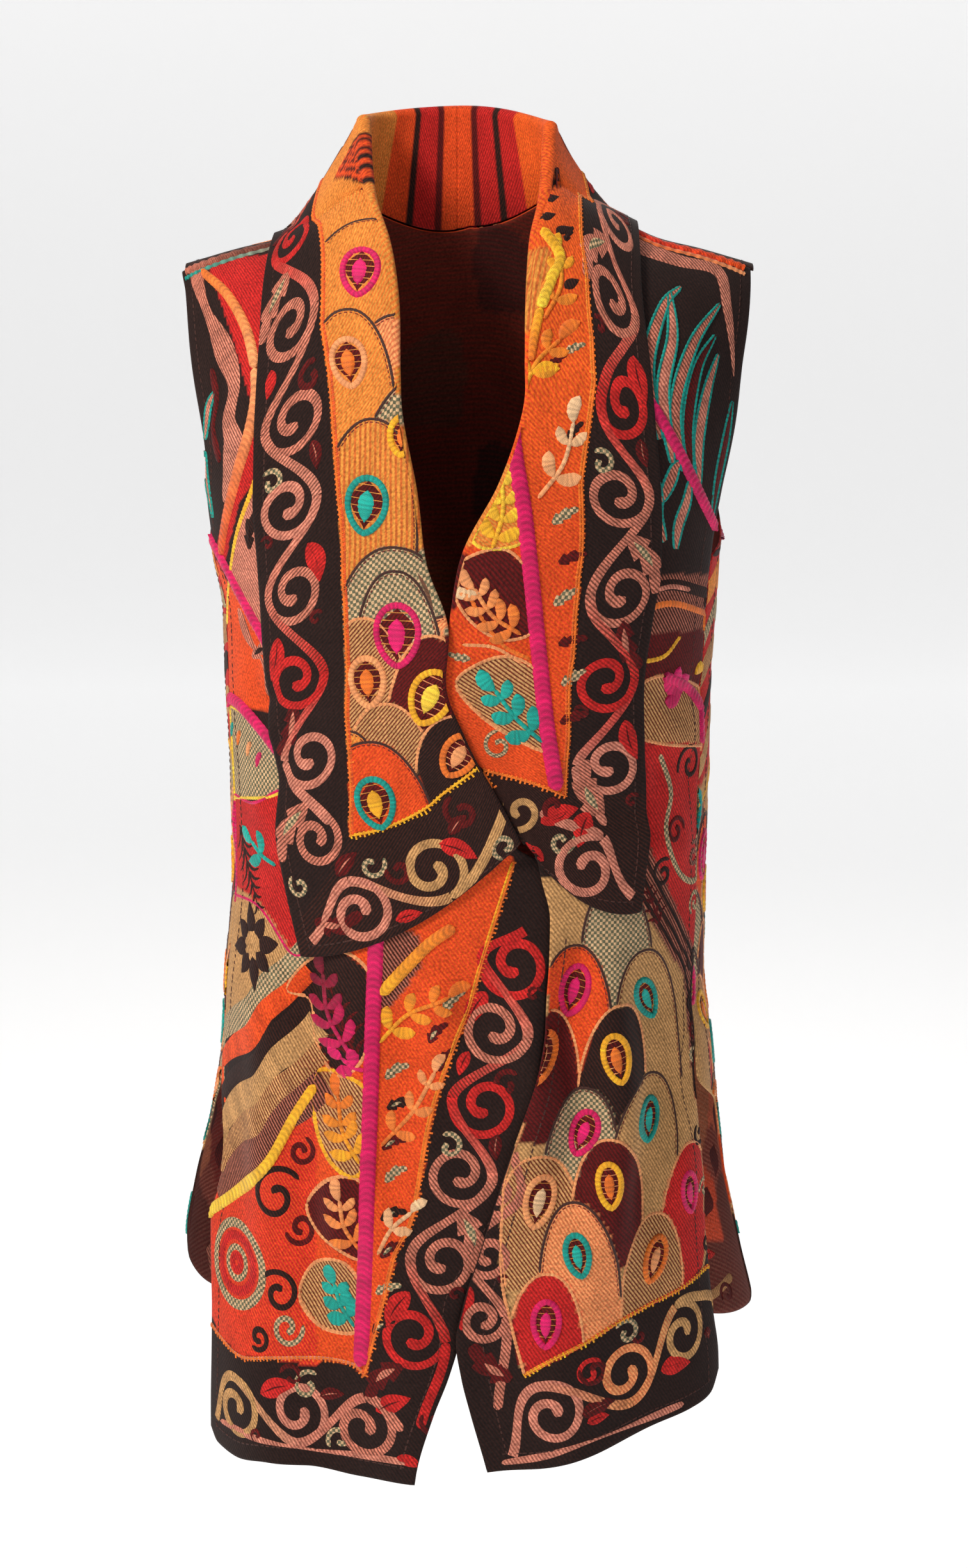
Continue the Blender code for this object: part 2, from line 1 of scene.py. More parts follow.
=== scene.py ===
"""The looks of a long open vest with a wide shawl collar: woven shawl cloth worked with chain stitch.

Metres, +Z up, +X to the wearer's left, the front towards -Y.
"""
import math
import bpy
import numpy as np
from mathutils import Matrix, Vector


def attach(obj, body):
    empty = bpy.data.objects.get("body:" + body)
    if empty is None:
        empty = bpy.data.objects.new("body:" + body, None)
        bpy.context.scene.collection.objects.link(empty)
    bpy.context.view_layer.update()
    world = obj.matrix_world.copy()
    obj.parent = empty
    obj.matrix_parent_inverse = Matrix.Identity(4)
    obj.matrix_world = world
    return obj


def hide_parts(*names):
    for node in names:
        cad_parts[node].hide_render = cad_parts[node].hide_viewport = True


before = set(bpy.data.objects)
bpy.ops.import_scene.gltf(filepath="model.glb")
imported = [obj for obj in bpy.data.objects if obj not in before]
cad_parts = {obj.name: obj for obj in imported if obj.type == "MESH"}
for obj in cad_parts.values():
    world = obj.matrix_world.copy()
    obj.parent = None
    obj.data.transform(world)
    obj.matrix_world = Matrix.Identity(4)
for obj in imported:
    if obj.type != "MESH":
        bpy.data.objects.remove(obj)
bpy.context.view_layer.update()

# ---------------------------------------------------------------------------------------------------------------
# Geometry of the pieces, as the frame has it.
CLOTH = 0.0015          # wall of every piece
SEAM = 0.0003           # gap between two pieces at a seam
SEAM_FORWARD = 0.012    # the shoulder seam lies this far in front of the ridge of the shoulder
CHEST = -0.14           # below this height the form is upright, above it it rounds to the shoulder
FRONT_FLAT = 2.5        # how flat the front and the back of a ring are: 2 is an ellipse
SHOULDER_SHARE = 0.20   # share of a panel's rows that lie above the chest
VENT_SHARE = 0.62       # share of its rows that lie above the side vents
VENT_TOP = -0.560       # rows above this height are level and shared by the front and back panels
EDGE_GAP = 0.00045      # seam gap measured along the ring
COLLAR_REST = 0.0032    # middle of a lapel over the middle of the front under it
COLLAR_LAP = 0.0020     # the collar's sewn edge lies this far over the front's edge, middle to middle
ROLL_LAPEL = 0.0016     # radius of the fold along a lapel
ROLL_NECK = 0.0042      # radius of the fold round the neck
LIFT_RIGHT = 0.0052     # the right front is raised where it crosses the left lapel's fold
LIFT_LEFT = 0.0042      # the left front is raised where it hangs over the right one
FOLD_DEPTH = 0.0065     # soft folds at the hem
FOLD_PITCH = 0.105
NECK_X, NECK_Y = -0.008, 0.014

# Rings of the form: height, half width of the front and of the back on the wearer's right and left, and depths.
FORM = np.array([
    # z      front_r front_l back_r  back_l  front   back
    (0.080, 0.212, 0.210, 0.212, 0.210, 0.086, 0.074),
    (0.000, 0.206, 0.206, 0.206, 0.206, 0.098, 0.082),
    (-0.050, 0.200, 0.200, 0.200, 0.200, 0.108, 0.088),
    (-0.100, 0.193, 0.191, 0.193, 0.191, 0.117, 0.093),
    (-0.150, 0.183, 0.180, 0.183, 0.180, 0.124, 0.097),
    (-0.190, 0.1740, 0.1690, 0.1740, 0.1690, 0.128, 0.098),
    (-0.220, 0.1695, 0.1655, 0.1695, 0.1655, 0.129, 0.097),
    (-0.250, 0.1640, 0.1640, 0.1640, 0.1640, 0.129, 0.094),
    (-0.300, 0.1630, 0.1610, 0.1630, 0.1610, 0.127, 0.086),
    (-0.350, 0.1608, 0.1606, 0.1608, 0.1606, 0.123, 0.079),
    (-0.430, 0.1595, 0.1584, 0.1595, 0.1584, 0.122, 0.082),
    (-0.500, 0.1655, 0.1582, 0.1655, 0.1582, 0.126, 0.094),
    (-0.550, 0.1685, 0.1620, 0.1685, 0.1645, 0.129, 0.104),
    (-0.600, 0.1740, 0.1665, 0.1760, 0.1690, 0.132, 0.110),
    (-0.650, 0.1830, 0.1710, 0.1890, 0.1760, 0.134, 0.114),
    (-0.700, 0.1870, 0.1755, 0.1985, 0.1870, 0.135, 0.116),
    (-0.750, 0.1880, 0.1790, 0.2020, 0.1975, 0.136, 0.118),
    (-0.830, 0.1890, 0.1830, 0.2040, 0.2000, 0.137, 0.120)])
FORM_COLUMN = {"front_r": 1, "front_l": 2, "back_r": 3, "back_l": 4, "front": 5, "back": 6}

# Ridge of the shoulder: distance from the middle, height of the cloth.
RIDGE = np.array([(0.000, 0.034), (0.055, 0.020), (0.075, 0.0115), (0.098, 0.0005), (0.125, -0.0118),
                  (0.150, -0.0178), (0.190, -0.0292)])

# Collar, right half: where it is sewn on, where it rolls, and its free edge, from the neck's side to the fastening.
# roll_y is read only round the neck, where the collar stands off the form. The free edge is on the form.
COLLAR_RIGHT = np.array([
    # seam_x  seam_z   roll_x   roll_z   roll_y  edge_x   edge_z
    (-0.0790, 0.0105, -0.0690, 0.0680, 0.0120, -0.1255, -0.0095),
    (-0.0755, -0.0040, -0.0655, 0.0400, -0.0160, -0.1285, -0.0290),
    (-0.0705, -0.0190, -0.0590, 0.0150, -0.0420, -0.1305, -0.0480),
    (-0.0640, -0.0400, -0.0500, -0.0120, -0.0655, -0.1316, -0.0720),
    (-0.0565, -0.0670, -0.0445, -0.0500, -0.0890, -0.1325, -0.1000),
    (-0.0525, -0.0950, -0.0433, -0.0900, -0.1050, -0.1335, -0.1300),
    (-0.0496, -0.1200, -0.0416, -0.1200, -0.1150, -0.1339, -0.1580),
    (-0.0410, -0.1660, -0.0330, -0.1660, -0.1200, -0.1335, -0.2000),
    (-0.0342, -0.2077, -0.0262, -0.2077, -0.1250, -0.1310, -0.2450),
    (-0.0210, -0.2470, -0.0130, -0.2470, -0.1260, -0.1285, -0.2850),
    (-0.0222, -0.2880, -0.0142, -0.2880, -0.1260, -0.1250, -0.3280),
    (-0.0097, -0.3190, -0.0017, -0.3190, -0.1260, -0.1225, -0.3680),
    (0.0013, -0.3420, 0.0093, -0.3420, -0.1260, -0.1212, -0.4070),
    (0.0241, -0.3880, 0.0321, -0.3880, -0.1260, -0.1087, -0.4697)])
COLLAR_LEFT = np.array([
    (0.0620, 0.0160, 0.0530, 0.0640, 0.0120, 0.1075, -0.0040),
    (0.0590, 0.0010, 0.0495, 0.0370, -0.0160, 0.1080, -0.0230),
    (0.0550, -0.0160, 0.0450, 0.0120, -0.0420, 0.1082, -0.0420),
    (0.0510, -0.0380, 0.0390, -0.0110, -0.0655, 0.1100, -0.0640),
    (0.0485, -0.0650, 0.0362, -0.0500, -0.0890, 0.1125, -0.0870),
    (0.0455, -0.0900, 0.0352, -0.0850, -0.1050, 0.1145, -0.1100),
    (0.0415, -0.1144, 0.0335, -0.1144, -0.1150, 0.1160, -0.1280),
    (0.0270, -0.1600, 0.0190, -0.1600, -0.1200, 0.1192, -0.1700),
    (0.0045, -0.2030, -0.0035, -0.2030, -0.1250, 0.1205, -0.2150),
    (-0.0040, -0.2470, -0.0122, -0.2470, -0.1260, 0.1155, -0.2480),
    (-0.0095, -0.2880, -0.0175, -0.2880, -0.1260, 0.1105, -0.2880),
    (0.0025, -0.3190, -0.0055, -0.3190, -0.1260, 0.1110, -0.3300),
    (0.0150, -0.3420, 0.0070, -0.3420, -0.1260, 0.1118, -0.3800),
    (0.0425, -0.3880, 0.0345, -0.3900, -0.1260, 0.1075, -0.4390)])
COLLAR_SAG = {"right": 0.0165, "left": 0.0150}      # the lower edge of a lapel hangs below a straight line
COLLAR_BACK_ROLL = (0.060, 0.0735)                  # y, z of the roll at the middle of the back
COLLAR_BACK_EDGE = -0.040                           # height of its free edge there

# Front edges below the fastening: height, x of the right front's and of the left front's centre edge.
CENTRE_EDGE = np.array([
    # z      right    left
    (-0.388, 0.0241, 0.0425),
    (-0.396, 0.0330, 0.0430),
    (-0.404, 0.0470, 0.0446),
    (-0.414, 0.0590, 0.0466),
    (-0.440, 0.0730, 0.0520),
    (-0.480, 0.0780, 0.0498),
    (-0.512, 0.0770, 0.0489),
    (-0.536, 0.0720, 0.0444),
    (-0.572, 0.0600, 0.0345),
    (-0.618, 0.0390, 0.0201),
    (-0.665, 0.0120, 0.0060),
    (-0.697, -0.0043, -0.0040),
    (-0.721, -0.0072, -0.0084),
    (-0.745, -0.0140, -0.0050),
    (-0.771, -0.0240, 0.0012),
    (-0.812, -0.0358, 0.0120),
    (-0.830, -0.0380, 0.0160)])

# Outer edge of the fronts: armhole, side seam, side vent.
SIDE_EDGE = np.array([
    # z      right    left
    (0.000, -0.1900, 0.1850),
    (-0.028, -0.1878, 0.1832),
    (-0.044, -0.1840, 0.1824),
    (-0.081, -0.1801, 0.1790),
    (-0.120, -0.1750, 0.1733),
    (-0.152, -0.1713, 0.1670),
    (-0.190, -0.1690, 0.1590),
    (-0.215, -0.1660, 0.1565),
    (-0.250, -0.1590, 0.1540),
    (-0.300, -0.1580, 0.1528),
    (-0.350, -0.1565, 0.1512),
    (-0.430, -0.1555, 0.1487),
    (-0.500, -0.1620, 0.1450),
    (-0.535, -0.1652, 0.1440),
    (-0.570, -0.1675, 0.1462),
    (-0.606, -0.1683, 0.1518),
    (-0.636, -0.1720, 0.1562),
    (-0.670, -0.1778, 0.1592),
    (-0.700, -0.1765, 0.1618),
    (-0.727, -0.1752, 0.1640),
    (-0.757, -0.1750, 0.1675),
    (-0.830, -0.1764, 0.1690)])

# Hem of each front against the share of its width, centre edge first.
HEM_RIGHT = np.array([(0.00, -0.8185), (0.20, -0.8185), (0.42, -0.8140), (0.60, -0.8155), (0.80, -0.8215),
                      (0.93, -0.8205), (1.00, -0.8130)])
HEM_LEFT = np.array([(0.00, -0.8115), (0.15, -0.8085), (0.35, -0.8005), (0.58, -0.7930), (0.80, -0.7865),
                     (0.93, -0.7810), (1.00, -0.7680)])

# Back panel: angle of its edge round the ring, 0 at the middle of the back and 90 at the side.
BACK_EDGE = np.array([
    # z      right   left
    (0.000, 66.0, 66.0),
    (-0.030, 66.0, 66.0),
    (-0.100, 65.0, 65.0),
    (-0.150, 67.5, 67.5),
    (-0.178, 73.0, 73.5),
    (-0.196, 82.0, 83.0),
    (-0.206, 90.0, 92.0),
    (-0.214, 99.0, 104.0),
    (-0.230, 103.0, 110.0),
    (-0.250, 104.0, 110.0),
    (-0.500, 101.8, 113.3),
    (-0.535, 101.6, 108.0),
    (-0.570, 98.0, 100.0),
    (-0.610, 92.0, 93.0),
    (-0.690, 86.0, 89.0),
    (-0.830, 84.0, 88.0)])
BACK_HEM = np.array([(-1.00, -0.6850), (-0.93, -0.7180), (-0.65, -0.7600), (0.00, -0.7850), (0.65, -0.7750),
                     (0.93, -0.7490), (1.00, -0.7340)])
BACK_NECK_HALF = 0.0705      # half width of the back neckline, as a share-free distance from NECK_X
BACK_NECK_DROP = 40.0       # degrees round the shoulder from the ridge to the neckline at the middle of the back


def smooth(table, column, x):
    """Monotone cubic through two columns of a table, first column as the key, in either order."""
    keys, values = table[:, 0], table[:, column]
    if keys[0] > keys[-1]:
        keys, values = keys[::-1], values[::-1]
    step = np.diff(keys)
    slope = np.diff(values) / step
    tangent = np.zeros(len(keys))
    tangent[0], tangent[-1] = slope[0], slope[-1]
    for i in range(1, len(keys) - 1):
        if slope[i - 1] * slope[i] > 0.0:
            a, b = 2 * step[i] + step[i - 1], step[i] + 2 * step[i - 1]
            tangent[i] = (a + b) / (a / slope[i - 1] + b / slope[i])
    x = np.clip(np.asarray(x, float), keys[0], keys[-1])
    i = np.clip(np.searchsorted(keys, x, side="right") - 1, 0, len(keys) - 2)
    t = (x - keys[i]) / step[i]
    return ((2 * t ** 3 - 3 * t ** 2 + 1) * values[i] + (t ** 3 - 2 * t ** 2 + t) * step[i] * tangent[i]
            + (3 * t ** 2 - 2 * t ** 3) * values[i + 1] + (t ** 3 - t ** 2) * step[i] * tangent[i + 1])


def ramp(x, low, high):
    """0 at low, 1 at high, smooth between."""
    t = np.clip((np.asarray(x, float) - low) / (high - low), 0.0, 1.0)
    return t * t * (3 - 2 * t)


def half_width(z, x, face):
    right = smooth(FORM, FORM_COLUMN[face + "_r"], z)
    left = smooth(FORM, FORM_COLUMN[face + "_l"], z)
    blend = ramp(x, -0.03, 0.03)
    return right * (1 - blend) + left * blend


def ridge(x):
    return smooth(RIDGE, 1, np.abs(x))


def ring_depth(x, z, face):
    """Distance from the side plane to the cloth at x and z, where the form is upright."""
    share = np.clip(np.abs(x) / half_width(z, x, face), 0.0, 1.0)
    return smooth(FORM, FORM_COLUMN[face], z) * np.sqrt(np.clip(1.0 - share ** FRONT_FLAT, 0.0, 1.0))


def hem_folds(x, z):
    """Soft upright folds that open towards the hem of the fronts."""
    return FOLD_DEPTH * ramp(-z, 0.56, 0.82) * np.cos(2 * np.pi * (x + 0.138) / FOLD_PITCH + 5.0 * (z + 0.8))


def on_front(x, z):
    """Point of the front form at x and z."""
    top = ridge(x)
    q = np.clip((z - CHEST) / (top - CHEST), 0.0, 1.0)
    y = -ring_depth(x, z, "front") * np.sqrt(np.clip(1.0 - q * q, 0.0, 1.0)) - hem_folds(x, z)
    return np.stack([x, y, z], -1)


def form_gap(p):
    """Roughly how far a point is outside the form round the chest, the shoulders and the back."""
    x, y, z = p[..., 0], p[..., 1], p[..., 2]
    front = y < 0.0
    depth = np.where(front, ring_depth(x, z, "front"), ring_depth(x, z, "back"))
    q = np.clip((z - CHEST) / (ridge(x) - CHEST), 0.0, None)
    return np.sqrt(q * q + (y / np.maximum(depth, 0.02)) ** 2) - 1.0


def form_normal(p, step=0.002):
    grad = np.stack([form_gap(p + step * axis) - form_gap(p - step * axis) for axis in np.eye(3)], -1) / (2 * step)
    size = np.maximum(np.linalg.norm(grad, axis=-1, keepdims=True), 1e-6)
    return grad / size, size[..., 0]


def push_out(p, distance):
    """Move points that are nearer to the form than distance out to it."""
    for _ in range(5):
        normal, size = form_normal(p)
        short = np.maximum(distance - form_gap(p) / size, 0.0)
        p = p + normal * np.minimum(short, 0.01)[..., None]
    return p


def centre_edge(z, side):
    """x of a front's inner edge: the collar's seam above the fastening, the free edge below it."""
    collar = COLLAR_RIGHT if side == "right" else COLLAR_LEFT
    seam = np.stack([collar[:, 1], collar[:, 0]], -1)
    column = 1 if side == "right" else 2
    upper = smooth(seam, 1, np.maximum(z, -0.388))
    lower = smooth(CENTRE_EDGE, column, np.minimum(z, -0.388))
    return np.where(z > -0.388, upper, lower)


def lift_right(x, z):
    edge = centre_edge(z, "right")
    return LIFT_RIGHT * ramp(x, edge - 0.045, edge - 0.004) * ramp(-z, 0.222, 0.258) * ramp(z, -0.403, -0.388)


def lift_left(x, z):
    edge = centre_edge(z, "left")
    return LIFT_LEFT * (1 - ramp(x, edge + 0.055, edge + 0.125)) * ramp(-z, 0.386, 0.404)


def raised(p, amount):
    """Points of a front moved out of the form by amount."""
    normal, _ = form_normal(p)
    return p + normal * np.asarray(amount)[..., None]


def row_height(v, hem):
    """Height of a panel's row under the chest: level down to the vents, then bending to the hem."""
    level = CHEST + (VENT_TOP - CHEST) * (v - SHOULDER_SHARE) / (VENT_SHARE - SHOULDER_SHARE)
    below = VENT_TOP + (hem - VENT_TOP) * (v - VENT_SHARE) / (1 - VENT_SHARE)
    return np.where(v < VENT_SHARE, level, below)


def front_point(side, u, v):
    """Middle of a front panel: u from the centre edge to the side edge, v from the shoulder seam to the hem."""
    u, v = np.broadcast_arrays(np.asarray(u, float), np.asarray(v, float))
    sign = -1.0 if side == "right" else 1.0
    column = 1 if side == "right" else 2
    upper = np.clip(v / SHOULDER_SHARE, 0.0, 1.0)
    z_low = row_height(v, smooth(HEM_RIGHT if side == "right" else HEM_LEFT, 1, u))
    x = sign * (0.07 + 0.115 * u)
    z = np.where(v < SHOULDER_SHARE, 0.0, z_low)
    for _ in range(14):
        inner = centre_edge(z, side)
        outer = smooth(SIDE_EDGE, column, z)
        width_in, width_out = half_width(z, inner, "front"), half_width(z, outer, "front")
        angle = np.arcsin(np.clip(inner / width_in, -1, 1)) * (1 - u) + np.arcsin(np.clip(outer / width_out, -1, 1)) * u
        x = np.sin(angle) * half_width(z, x, "front")
        depth = np.maximum(ring_depth(x, z, "front"), 0.02)
        start = np.arcsin(np.clip(SEAM_FORWARD / depth, 0.0, 0.6))
        phi = start + (np.pi / 2 - start) * upper
        z_high = CHEST + (ridge(x) - CHEST) * np.cos(phi)
        z = np.where(v < SHOULDER_SHARE, 0.5 * z + 0.5 * z_high, z_low)
    p = on_front(x, z)
    lift = lift_right(x, z) if side == "right" else lift_left(x, z)
    return raised(p, lift)


def back_edge(z, side):
    """Angle of the back panel's edge round the ring: on the fronts' seam, free at the armhole and the vent."""
    column = 1 if side == "right" else 2
    inner = smooth(SIDE_EDGE, column, z)
    width = half_width(z, inner, "front")
    seam = np.pi - np.arcsin(np.clip(np.abs(inner) / width, 0, 1)) - EDGE_GAP / 0.11
    free = np.radians(smooth(BACK_EDGE, column, z))
    sewn = ramp(-z, 0.207, 0.216) * (1 - ramp(-z, -VENT_TOP, -VENT_TOP + 0.035))
    return free + (seam - free) * sewn


def back_neck(x):
    """Angle round the shoulder, from its ridge, of the back panel's top edge: shoulder seam and neckline."""
    reach = np.clip((BACK_NECK_HALF - np.abs(x - NECK_X)) / BACK_NECK_HALF, 0.0, 1.0)
    start = -np.arcsin(np.clip((SEAM_FORWARD - 2 * SEAM) / np.maximum(ring_depth(x, ridge(x), "front"), 0.02), 0.0, 0.6))
    return start + (np.radians(BACK_NECK_DROP) - start) * np.sqrt(1 - (1 - reach) ** 2)


def back_point(u, v):
    """Middle of the back panel: u from -1 at the wearer's right edge to 1, v from the top edge to the hem."""
    u, v = np.broadcast_arrays(np.asarray(u, float), np.asarray(v, float))
    upper = np.clip(v / SHOULDER_SHARE, 0.0, 1.0)
    z_low = row_height(v, smooth(BACK_HEM, 1, u))
    z = np.where(v < SHOULDER_SHARE, 0.0, z_low)
    x = 0.18 * u
    phi = np.zeros_like(u)
    for _ in range(14):
        edge = np.where(u < 0, back_edge(z, "right"), back_edge(z, "left"))
        angle = edge * u
        width = half_width(z, x, "back")
        x = np.sin(angle) * width
        start = back_neck(x)
        phi = start + (np.pi / 2 - start) * upper
        z_high = CHEST + (ridge(x) - CHEST) * np.cos(phi)
        z = np.where(v < SHOULDER_SHARE, 0.5 * z + 0.5 * z_high, z_low)
    around = np.abs(angle)
    depth_back = ring_depth(x, z, "back")
    flat = np.sqrt(np.clip(1.0 - np.abs(np.sin(angle)) ** FRONT_FLAT, 0.0, 1.0))
    depth_front = smooth(FORM, FORM_COLUMN["front"], z) * flat
    sine = np.where(v < SHOULDER_SHARE, np.sin(phi), 1.0)
    y = np.where(sine < 0, depth_front * sine, depth_back * sine)
    y = np.where(around > np.pi / 2, -depth_front, y)
    return np.stack([x, y, z], -1)


def collar_point(side, k, t):
    """Middle of a collar half. k runs from 0 at the centre back over 2 at the neck's side to 15 at the fastening,
    t from 0 at the seam over 5 at the end of the roll to 11 at the free edge."""
    k, t = np.broadcast_arrays(np.asarray(k, float), np.asarray(t, float))
    table = COLLAR_RIGHT if side == "right" else COLLAR_LEFT
    sign = -1.0 if side == "right" else 1.0
    rows = np.concatenate([np.arange(2, 2 + len(table))[:, None], table], axis=1)

    def at(kk, column):
        return smooth_free(rows, column, np.maximum(kk, 2.0))

    turn = np.clip(k / 2.0, 0.0, 1.0) * np.pi / 2       # 0 at the centre back, a quarter turn at the neck's side

    def neck(kk, y_back, z_back, x_side, y_side, z_side):
        a = np.clip(kk / 2.0, 0.0, 1.0) * np.pi / 2
        return np.stack([NECK_X + (x_side - NECK_X) * np.sin(a), y_side + (y_back - y_side) * np.cos(a),
                         z_back + (z_side - z_back) * (1 - np.cos(a) ** 2)], -1)

    def roll_at(kk):
        x, z, y = at(kk, 3), at(kk, 4), at(kk, 5)
        form = on_front(x, z)
        free = 1 - ramp(kk, 4.6, 6.4)
        base = np.stack([x, np.where(free > 0, free * y + (1 - free) * form[..., 1], form[..., 1]), z], -1)
        back = neck(kk, COLLAR_BACK_ROLL[0], COLLAR_BACK_ROLL[1], rows[0, 3], rows[0, 5], rows[0, 4])
        return np.where((kk < 2.0)[..., None], back, base)

    lift = (lambda x, z: lift_right(x, z)) if side == "right" else (lambda x, z: lift_left(x, z))
    roll = roll_at(k)
    ahead, behind = roll_at(np.minimum(k + 0.05, 15.0)), roll_at(np.maximum(k - 0.05, 0.0))
    tangent = ahead - behind
    tangent = tangent / np.linalg.norm(tangent, axis=-1, keepdims=True)
    away = np.stack([sign * np.sin(turn), np.cos(turn), np.zeros_like(turn)], -1)
    radial = roll - np.array([NECK_X, NECK_Y, 0.0])
    radial[..., 2] = 0.0
    radial = radial / np.linalg.norm(radial, axis=-1, keepdims=True)
    normal, _ = form_normal(roll + np.array([0.0, -0.001, 0.0]))
    mix = ramp(k, 2.0, 6.0)[..., None]
    out = np.where((k < 2.0)[..., None], away, radial * (1 - mix) + normal * mix)
    out = out - tangent * np.sum(out * tangent, -1, keepdims=True)
    out = out / np.linalg.norm(out, axis=-1, keepdims=True)
    inward = np.cross(out, tangent) * -sign
    radius = ROLL_NECK + (ROLL_LAPEL - ROLL_NECK) * ramp(k, 2.5, 7.0)
    base_lift = lift(roll[..., 0], roll[..., 2])
    centre = roll - inward * radius[..., None] + out * (base_lift + (radius + COLLAR_LAP) * ramp(k, 4.0, 6.5))[..., None]

    # sewn edge
    x, z = at(k, 1) + sign * -0.0003, at(k, 2)
    sewn = on_front(x, z)
    sewn[..., 1] = np.minimum(sewn[..., 1], -0.001)
    sewn = sewn + normal * (lift(x, z) + COLLAR_LAP * ramp(k, 3.2, 5.0))[..., None]
    seam_x = NECK_X + (rows[0, 1] - NECK_X) * np.sin(turn)
    phi = back_neck(seam_x)
    seam_z = CHEST + (ridge(seam_x) - CHEST) * np.cos(phi)
    seam_back = np.stack([seam_x, ring_depth(seam_x, seam_z, "back") * np.sin(phi), seam_z], -1)
    sewn = np.where((k < 2.0)[..., None], seam_back, sewn)
    stand_lift = 0.0023 * (1 - ramp(k, 4.0, 6.0))
    sewn = sewn + np.array([0, 0, 1.0]) * stand_lift[..., None]

    # fold, a half turn round its centre
    arc = np.radians(-90 + 180 * np.clip((t - 1.0) / 4.0, 0.0, 1.0))
    fold = centre + (inward * np.cos(arc)[..., None] + out * np.sin(arc)[..., None]) * radius[..., None]
    low = centre - out * radius[..., None]
    high = centre + out * radius[..., None]
    stand = sewn + (low - sewn) * np.clip(t, 0.0, 1.0)[..., None]

    # fall, from the roll to the free edge
    tau = np.clip((t - 5.0) / 6.0, 0.0, 1.0)
    edge_x, edge_z = at(k, 6), at(k, 7)
    sag = COLLAR_SAG[side] * ramp(k, 12.0, 15.0) * np.sin(np.pi * tau) ** 0.8
    view_x = high[..., 0] + (edge_x - high[..., 0]) * tau
    view_z = high[..., 2] + (edge_z - high[..., 2]) * tau - sag
    flat = on_front(view_x, view_z)
    flat_normal, _ = form_normal(flat)
    start = 2 * radius + COLLAR_LAP
    early = 0.014 if side == "left" else 0.0        # the lapel rises a little before the front under it does
    rest = lift(view_x, view_z - early * ramp(tau, 0.0, 0.2)) + COLLAR_REST + (start - COLLAR_REST) * (1 - ramp(tau, 0.0, 0.30))
    flat = flat + flat_normal * rest[..., None]
    edge_side = on_front(edge_x, edge_z)
    edge_back = neck(k, 0.086, COLLAR_BACK_EDGE, rows[0, 6], 0.002, rows[0, 7])
    edge = np.where((k < 2.0)[..., None], edge_back, edge_side)
    c1 = high - inward * 0.032 + out * (0.015 if side == "right" else 0.010)
    c2 = edge + (high - edge) * 0.30 - np.array([0, 0, 0.012])
    s = tau[..., None]
    free_fall = high * (1 - s) ** 3 + 3 * c1 * s * (1 - s) ** 2 + 3 * c2 * s ** 2 * (1 - s) + edge * s ** 3
    over = COLLAR_REST + 0.0012 * (1 - ramp(k, 3.0, 6.0))
    free_fall = push_out(free_fall, over)
    weight = ramp(k, 2.2, 5.5)[..., None]
    fall = free_fall * (1 - weight) + flat * weight
    near = (k < 6.0)[..., None]
    fall = np.where(near, push_out(fall, over), fall)
    p = np.where((t < 1.0)[..., None], stand, np.where((t <= 5.0)[..., None], fold, fall))
    p[..., 0] = np.where((k <= 0.0), NECK_X + sign * SEAM * 0.6, p[..., 0])
    return p


def smooth_free(table, column, x):
    """Like smooth, but with free tangents, for curves that turn back."""
    keys, values = table[:, 0], table[:, column]
    step = np.diff(keys)
    slope = np.diff(values) / step
    tangent = np.concatenate([[slope[0]], (slope[1:] * step[:-1] + slope[:-1] * step[1:]) / (step[1:] + step[:-1]),
                              [slope[-1]]])
    x = np.clip(np.asarray(x, float), keys[0], keys[-1])
    i = np.clip(np.searchsorted(keys, x, side="right") - 1, 0, len(keys) - 2)
    t = (x - keys[i]) / step[i]
    return ((2 * t ** 3 - 3 * t ** 2 + 1) * values[i] + (t ** 3 - 2 * t ** 2 + t) * step[i] * tangent[i]
            + (3 * t ** 2 - 2 * t ** 3) * values[i + 1] + (t ** 3 - t ** 2) * step[i] * tangent[i + 1])


# ---------------------------------------------------------------------------------------------------------------
# The picture's frame, 1235 wide and 2000 high: camera place, downward pitch and focal length.
PITCH = math.radians(11.0)
FOCAL = 4277.6
CAMERA = np.array([0.00966, -2.2242, 0.0573])


def picture(p):
    """Where points fall in the picture's frame."""
    d = p - CAMERA
    w = d[..., 1] * math.cos(PITCH) - d[..., 2] * math.sin(PITCH)
    v = d[..., 1] * math.sin(PITCH) + d[..., 2] * math.cos(PITCH)
    return np.stack([617.5 + FOCAL * d[..., 0] / w, 1000.0 - FOCAL * v / w], -1)


def at(x, y, depth=-0.12):
    """x and z of a picture point on the upright plane at depth."""
    a, b = (np.asarray(x, float) - 617.5) / FOCAL, -(np.asarray(y, float) - 1000.0) / FOCAL
    dy = math.cos(PITCH) + math.sin(PITCH) * b
    dz = -math.sin(PITCH) + math.cos(PITCH) * b
    t = (depth - CAMERA[1]) / dy
    return CAMERA[0] + a * t, CAMERA[2] + dz * t


